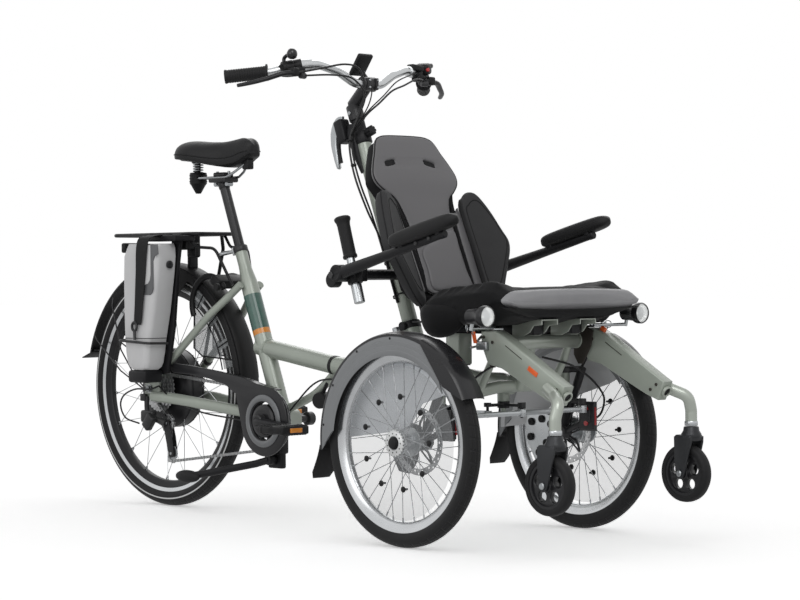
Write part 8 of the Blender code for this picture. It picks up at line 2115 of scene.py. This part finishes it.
wheels = [(ring_centre, 0.0768, 1), (tension, 0.022, 1), (guide, 0.022, -1), (cog_centre, 0.0445, 1)]
_, whole = belt_path(wheels, 4)
link_pairs = int(round(whole / 0.0254))
spots, _ = belt_path(wheels, link_pairs * 2)
link = bmesh.new()
for y in (-0.0026, 0.0026):
    add_plate(link, arc(-0.00635, 0, 0.0041, 60, 300, 8) + arc(0.00635, 0, 0.0041, 240, 480, 8), 0.001,
              side_place(y), edge=0.0002)
add_rod(link, (-0.00635, -0.0033, 0), (-0.00635, 0.0033, 0), 0.0019, sides=10, edge=0.0002)
route_tree = bpy.data.node_groups.new("along_a_route", "GeometryNodeTree")
for socket_name, kind in (("Route", "NodeSocketGeometry"), ("Item", "NodeSocketObject"),
                          ("Finish", "NodeSocketMaterial")):
    route_tree.interface.new_socket(socket_name, in_out="INPUT", socket_type=kind)
route_tree.interface.new_socket("Set out", in_out="OUTPUT", socket_type="NodeSocketGeometry")
given = put(route_tree, "NodeGroupInput")
repeated = put(route_tree, "GeometryNodeObjectInfo", {"Object": given.outputs["Item"]})
heading = put(route_tree, "GeometryNodeInputNamedAttribute", {"Name": "heading"}, data_type="FLOAT_VECTOR")
laid = put(route_tree, "GeometryNodeInstanceOnPoints",
           {"Points": given.outputs["Route"], "Instance": repeated.outputs["Geometry"],
            "Rotation": heading.outputs[0]})
real = put(route_tree, "GeometryNodeRealizeInstances", {"Geometry": laid.outputs[0]})
coated = put(route_tree, "GeometryNodeSetMaterial",
             {"Geometry": real.outputs[0], "Material": given.outputs["Finish"]})
put(route_tree, "NodeGroupOutput", {0: coated.outputs[0]})


def along_route(name, shape, spots, y, coat, body, stands_for=()):
    """A shape repeated at headings along a route in a plane of the bike."""
    route = bpy.data.meshes.new(name)
    route.from_pydata([(p.x + front_axle_x, y(i) if callable(y) else y, p.y) for i,
                       (p, a) in enumerate(spots)], [], [])
    turns = route.attributes.new("heading", "FLOAT_VECTOR", "POINT")
    for i, (p, a) in enumerate(spots):
        turns.data[i].vector = (0, -a, 0)
    return from_nodes(name, route_tree, {"Item": spare_item(name + "_item", shape), "Finish": coat}, coat,
                      body, start=route, stands_for=stands_for)


along_route("chain_links", link, spots, chain_y, chain_steel, "frame", ("chain",))
chain_guard = bmesh.new()
nose_arc = arc(crank_centre.x, crank_centre.z, 0.093, 205, 423, 40)
arm_points = [(-0.8, 0.352), (-0.86, 0.368), (-0.98, 0.384), (-1.09, 0.395), (-1.148, 0.399),
              (-1.158, 0.395), (-1.1623, 0.386), (-1.1575, 0.377), (-1.148, 0.3725), (-1.075, 0.369),
              (-1.0, 0.3605), (-0.93, 0.346), (-0.885, 0.322)]
hole = [(crank_centre.x + 0.05 * math.cos(2 * math.pi * i / 48),
         crank_centre.z + 0.05 * math.sin(2 * math.pi * i / 48)) for i in range(48)]
add_plate(chain_guard, nose_arc + arm_points, 0.0088, side_place(-0.0685), edge=0.003, holes=[hole])
lip = [Vector((x, -0.056, z)) for x, z in [(-0.735, 0.3375), (-0.77, 0.344), (-0.8, 0.348), (-0.86, 0.362),
           (-0.98, 0.378), (-1.09, 0.389), (-1.145, 0.3935)]]
for a, b in zip(lip, lip[1:]):
    middle = (a + b) / 2
    run = b - a
    add_box(chain_guard, (run.length + 0.006, 0.027, 0.004), middle,
            Matrix.Rotation(-math.atan2(run.z, run.x), 4, "Y"), edge=0.0012)
piece("chain_guard_shell", chain_guard, dark_shell, "frame", ("chain_guard",), sharp=38)
guard_ring = bmesh.new()
add_turned(guard_ring, [(0.0525, 0.001), (0.0525, 0.0062), (0.055, 0.0078), (0.065, 0.0072),
                        (0.069, 0.0048), (0.069, 0.001)],
           Matrix.Translation(crank_centre + Vector((0, -0.0705, 0))) @ turn_to((0, -1, 0)), 80, ring=True)
piece("chain_guard_ring", guard_ring, finish("guard_ring_grey", "67696b", 0.34, "grey_plastic", metal=0.3,
          coat=0.3, drift=0.05), "frame")
sprockets = bmesh.new()
for teeth, radius, y in ((20, 0.0412, chain_y), (18, 0.037, -0.0545), (24, 0.05, -0.0463),
                         (28, 0.057, -0.042), (32, 0.0635, -0.0378)):
    outline = []
    for i in range(teeth * 4):
        a = 2 * math.pi * i / (teeth * 4)
        r = radius + (0.0026, 0.0012, -0.0022, 0.0012)[i % 4]
        outline.append((rear_axle.x + r * math.cos(a), rear_axle.z + r * math.sin(a)))
    windows = []
    if radius > 0.045:
        for k in range(5):
            c = 2 * math.pi * k / 5
            windows.append([(rear_axle.x + (radius * 0.66 + 0.006 * math.cos(b)) * math.cos(c) - 0.01
                             * math.sin(b) * math.sin(c),
                             rear_axle.z + (radius * 0.66 + 0.006 * math.cos(b)) * math.sin(c) + 0.01
                             * math.sin(b) * math.cos(c))
                            for b in [2 * math.pi * q / 14 for q in range(14)]])
    add_plate(sprockets, outline, 0.0019, side_place(y), edge=0.0003, holes=windows)
add_rod(sprockets, rear_axle + Vector((0, -0.03, 0)), rear_axle + Vector((0, -0.0585, 0)), 0.0185, sides=36)
piece("cassette_sprockets", sprockets, chain_steel, "cassette", ("cassette",), sharp=35)
changer = bmesh.new()
add_box(changer, (0.052, 0.02, 0.034), (-1.256, -0.0745, 0.25), edge=0.006)
add_box(changer, (0.03, 0.022, 0.046), (-1.242, -0.083, 0.236), Matrix.Rotation(math.radians(40), 4, "Y"),
        edge=0.006)
add_tube(changer, [(-1.26, -0.075, 0.252), (-1.263, -0.0755, 0.28), (-1.262, -0.075, 0.305)],
         [0.008, 0.0066, 0.008], 18)
add_tube(changer, [(-1.252, -0.0705, 0.247), (-1.226, -0.066, 0.24), (-1.2, -0.0595, 0.232)],
         [0.0092, 0.008, 0.0092], 18)
add_box(changer, (0.022, 0.01, 0.02), (-1.27, -0.0805, 0.302), edge=0.003)
for y in (chain_y - 0.0068, chain_y + 0.0068):
    add_plate(changer, arc(guide.x, guide.z, 0.0125, 10, 200, 10) + [(-1.2035, 0.195)]
              + arc(tension.x, tension.z, 0.0115, 175, 365, 10) + [(-1.176, 0.195)], 0.0024, side_place(y),
              edge=0.0006)
piece("derailleur_body", changer, black_metal, "frame", ("derailleur",), sharp=38)
pulleys = bmesh.new()
for centre in (guide, tension):
    teeth = 11
    outline = []
    for i in range(teeth * 4):
        a = 2 * math.pi * i / (teeth * 4)
        r = 0.0196 + (0.0016, 0.0004, -0.0016, 0.0004)[i % 4]
        outline.append((centre.x + r * math.cos(a), centre.z + r * math.sin(a)))
    add_plate(pulleys, outline, 0.0022, side_place(chain_y), edge=0.0004)
    add_rod(pulleys, (centre.x, chain_y - 0.0092, centre.z), (centre.x, chain_y + 0.0092, centre.z), 0.004,
            sides=14)
piece("jockey_wheels", pulleys, steel, "frame", sharp=35)
gear_cable = bmesh.new()
add_tube(gear_cable, eased([(-1.205, -0.078, 0.335), (-1.232, -0.09, 0.325), (-1.287, -0.094, 0.325),
                            (-1.34, -0.094, 0.307), (-1.358, -0.093, 0.278), (-1.338, -0.091, 0.244),
                            (-1.284, -0.086, 0.23)], 8), 0.0024, 12)
under_tube = [(-0.25, -0.02, 0.362), (-0.33, -0.014, 0.357), (-0.42, -0.01, 0.362), (-0.56, -0.012, 0.368),
              (-0.64, -0.016, 0.352), (-0.735, -0.026, 0.27), (-0.8, -0.028, 0.232), (-0.9, -0.036, 0.25),
              (-1.05, -0.056, 0.268), (-1.15, -0.072, 0.3), (-1.205, -0.078, 0.335)]
add_tube(gear_cable, eased(under_tube, 8), 0.0024, 12)
piece("gear_cable", gear_cable, cable_black, "frame", sharp=70)
frame_clips = bmesh.new()
for x, z in ((-0.33, 0.386), (-0.45, 0.392), (-0.57, 0.403)):
    add_turned(frame_clips, [(0.0239, -0.005), (0.0252, -0.005), (0.0252, 0.005), (0.0239, 0.005)],
               Matrix.Translation((x, 0, z)) @ turn_to((1, 0, -0.12)), 32, ring=True)
add_turned(frame_clips, [(0.0, -0.022), (0.019, -0.022), (0.0215, -0.018), (0.0215, 0.018), (0.019, 0.022),
                         (0.0, 0.022)], Matrix.Translation((-0.615, -0.004, 0.312)) @ turn_to((0.3, -1, 0)),
           36)
add_tube(frame_clips, eased([(-0.615, -0.004, 0.33), (-0.6, -0.006, 0.35), (-0.59, -0.004, 0.372)]), 0.005,
         14)
piece("frame_clips", frame_clips, black_plastic, "frame", sharp=38)

# Prop stand
# A black stand under the crank shell: a bent round leg that lies almost level when folded, with
# a flattened rubber foot.
stand_mount = bmesh.new()
add_box(stand_mount, (0.06, 0.03, 0.08), (stand_x, 0, stand_z + 0.0545), edge=0.006)
add_box(stand_mount, (0.056, 0.018, 0.052), (stand_x, -0.002, stand_z + 0.002), edge=0.005)
piece("stand_mount", stand_mount, black_paint, "frame", sharp=40)
leg = bmesh.new()
add_turned(leg, [(0.0, 0.0095), (0.013, 0.0095), (0.0142, 0.011), (0.0142, 0.0345), (0.013, 0.036),
                 (0.0, 0.036)], Matrix.Translation((stand_x, 0, stand_z)) @ turn_to((0, -1, 0)), 32)
add_tube(leg, rounded([(-0.8, -0.028, 0.15), (-0.85, -0.034, 0.137), (-1.0, -0.086, 0.106),
                       (-1.045, -0.1, 0.098)], 0.03), 0.0098, 22)
piece("stand_leg", leg, black_paint, "kickstand", ("kickstand",), sharp=40)
rings = []
for i in range(13):
    s = -1 + 2 * i / 12
    swell = max(0.18, (1 - s * s) ** 0.5)
    rings.append([Vector((-1.055 + 0.048 * s, -0.1 + 0.017 * swell * math.cos(a),
                          0.097 + 0.017 * swell * math.sin(a)))
                  for a in [2 * math.pi * k / 20 for k in range(20)]])
piece("stand_foot", closed_loft(rings), flap_rubber, "kickstand", sharp=60)

# Steering linkage and knuckles
# Machined steel and black forged parts turn both front wheels together: a drag link, a bell
# crank under the beam, a tie rod, and a knuckle on each kingpin with its brake caliper.
refined("bell_crank", "centre_arm", black_metal, "centre_arm")
refined("drag_link_rod", "drag_link", steel, "drag_link")
refined("tie_rod_bar", "tie_rod", alloy, "tie_rod")
bush_rubber = finish("bush_rubber", "1a1a1b", 0.5, "rubber", drift=0.1, patch=60.0)
caliper_red = finish("caliper_red", "a8262a", 0.34, "lamp", coat=0.4, drift=0.06, patch=60.0)
for label, side in (("right", -1.0), ("left", 1.0)):
    body = "knuckle_" + label
    refined(f"knuckle_forging_{label}", f"knuckle_{label}", black_metal, body, edge=0.001)
    side_plate = bmesh.new()
    add_plate(side_plate, [(-0.013, 0.277), (-0.06, 0.291), (-0.111, 0.283), (-0.117, 0.224),
                           (-0.0845, 0.171), (-0.052, 0.167), (-0.015, 0.232)], 0.0015,
              side_place(side * 0.232), edge=0.0004)
    piece(f"bush_plate_{label}", side_plate, alloy, body)
    bushes = bmesh.new()
    for x, z in ((-0.03, 0.262), (-0.06, 0.274), (-0.095, 0.266), (-0.098, 0.228), (-0.07, 0.19),
                 (-0.045, 0.215)):
        add_turned(bushes, [(0.0, 0.0), (0.008, 0.0), (0.0095, 0.001), (0.0095, 0.0044), (0.008, 0.0056),
                            (0.0034, 0.0056), (0.003, 0.004), (0.0, 0.004)],
                   Matrix.Translation((x, side * 0.2314, z)) @ turn_to((0, -side, 0)), 24)
    piece(f"plate_bushes_{label}", bushes, bush_rubber, body)
    caliper = bmesh.new()
    add_box(caliper, (0.05, 0.005, 0.066), (0.083, side * 0.2395, 0.286), edge=0.0022)
    add_box(caliper, (0.03, 0.007, 0.03), (0.082, side * 0.237, 0.286), edge=0.003)
    piece(f"caliper_body_{label}", caliper, black_metal, body, sharp=38)
    marks = bmesh.new()
    for z in (0.268, 0.304):
        add_rod(marks, (0.083, side * 0.2335, z), (0.083, side * 0.238, z), 0.0062, sides=24)
    add_box(marks, (0.01, 0.002, 0.044), (0.108, side * 0.2405, 0.286), edge=0.0008)
    piece(f"caliper_marks_{label}", marks, caliper_red, body)
    hose = bmesh.new()
    add_tube(hose, eased([(0.084, side * 0.24, 0.268), (0.11, side * 0.258, 0.29),
                          (0.12, side * 0.262, 0.325), (0.121, side * 0.246, 0.352),
                          (0.12, side * 0.206, 0.384), (0.12, side * 0.15, 0.412),
                          (0.118, side * 0.11, 0.423), (0.112, side * 0.05, 0.436)], 10), 0.0027, 12)
    hose_piece = piece(f"brake_hose_{label}", hose, cable_black, None, sharp=70)
    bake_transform(hose_piece)
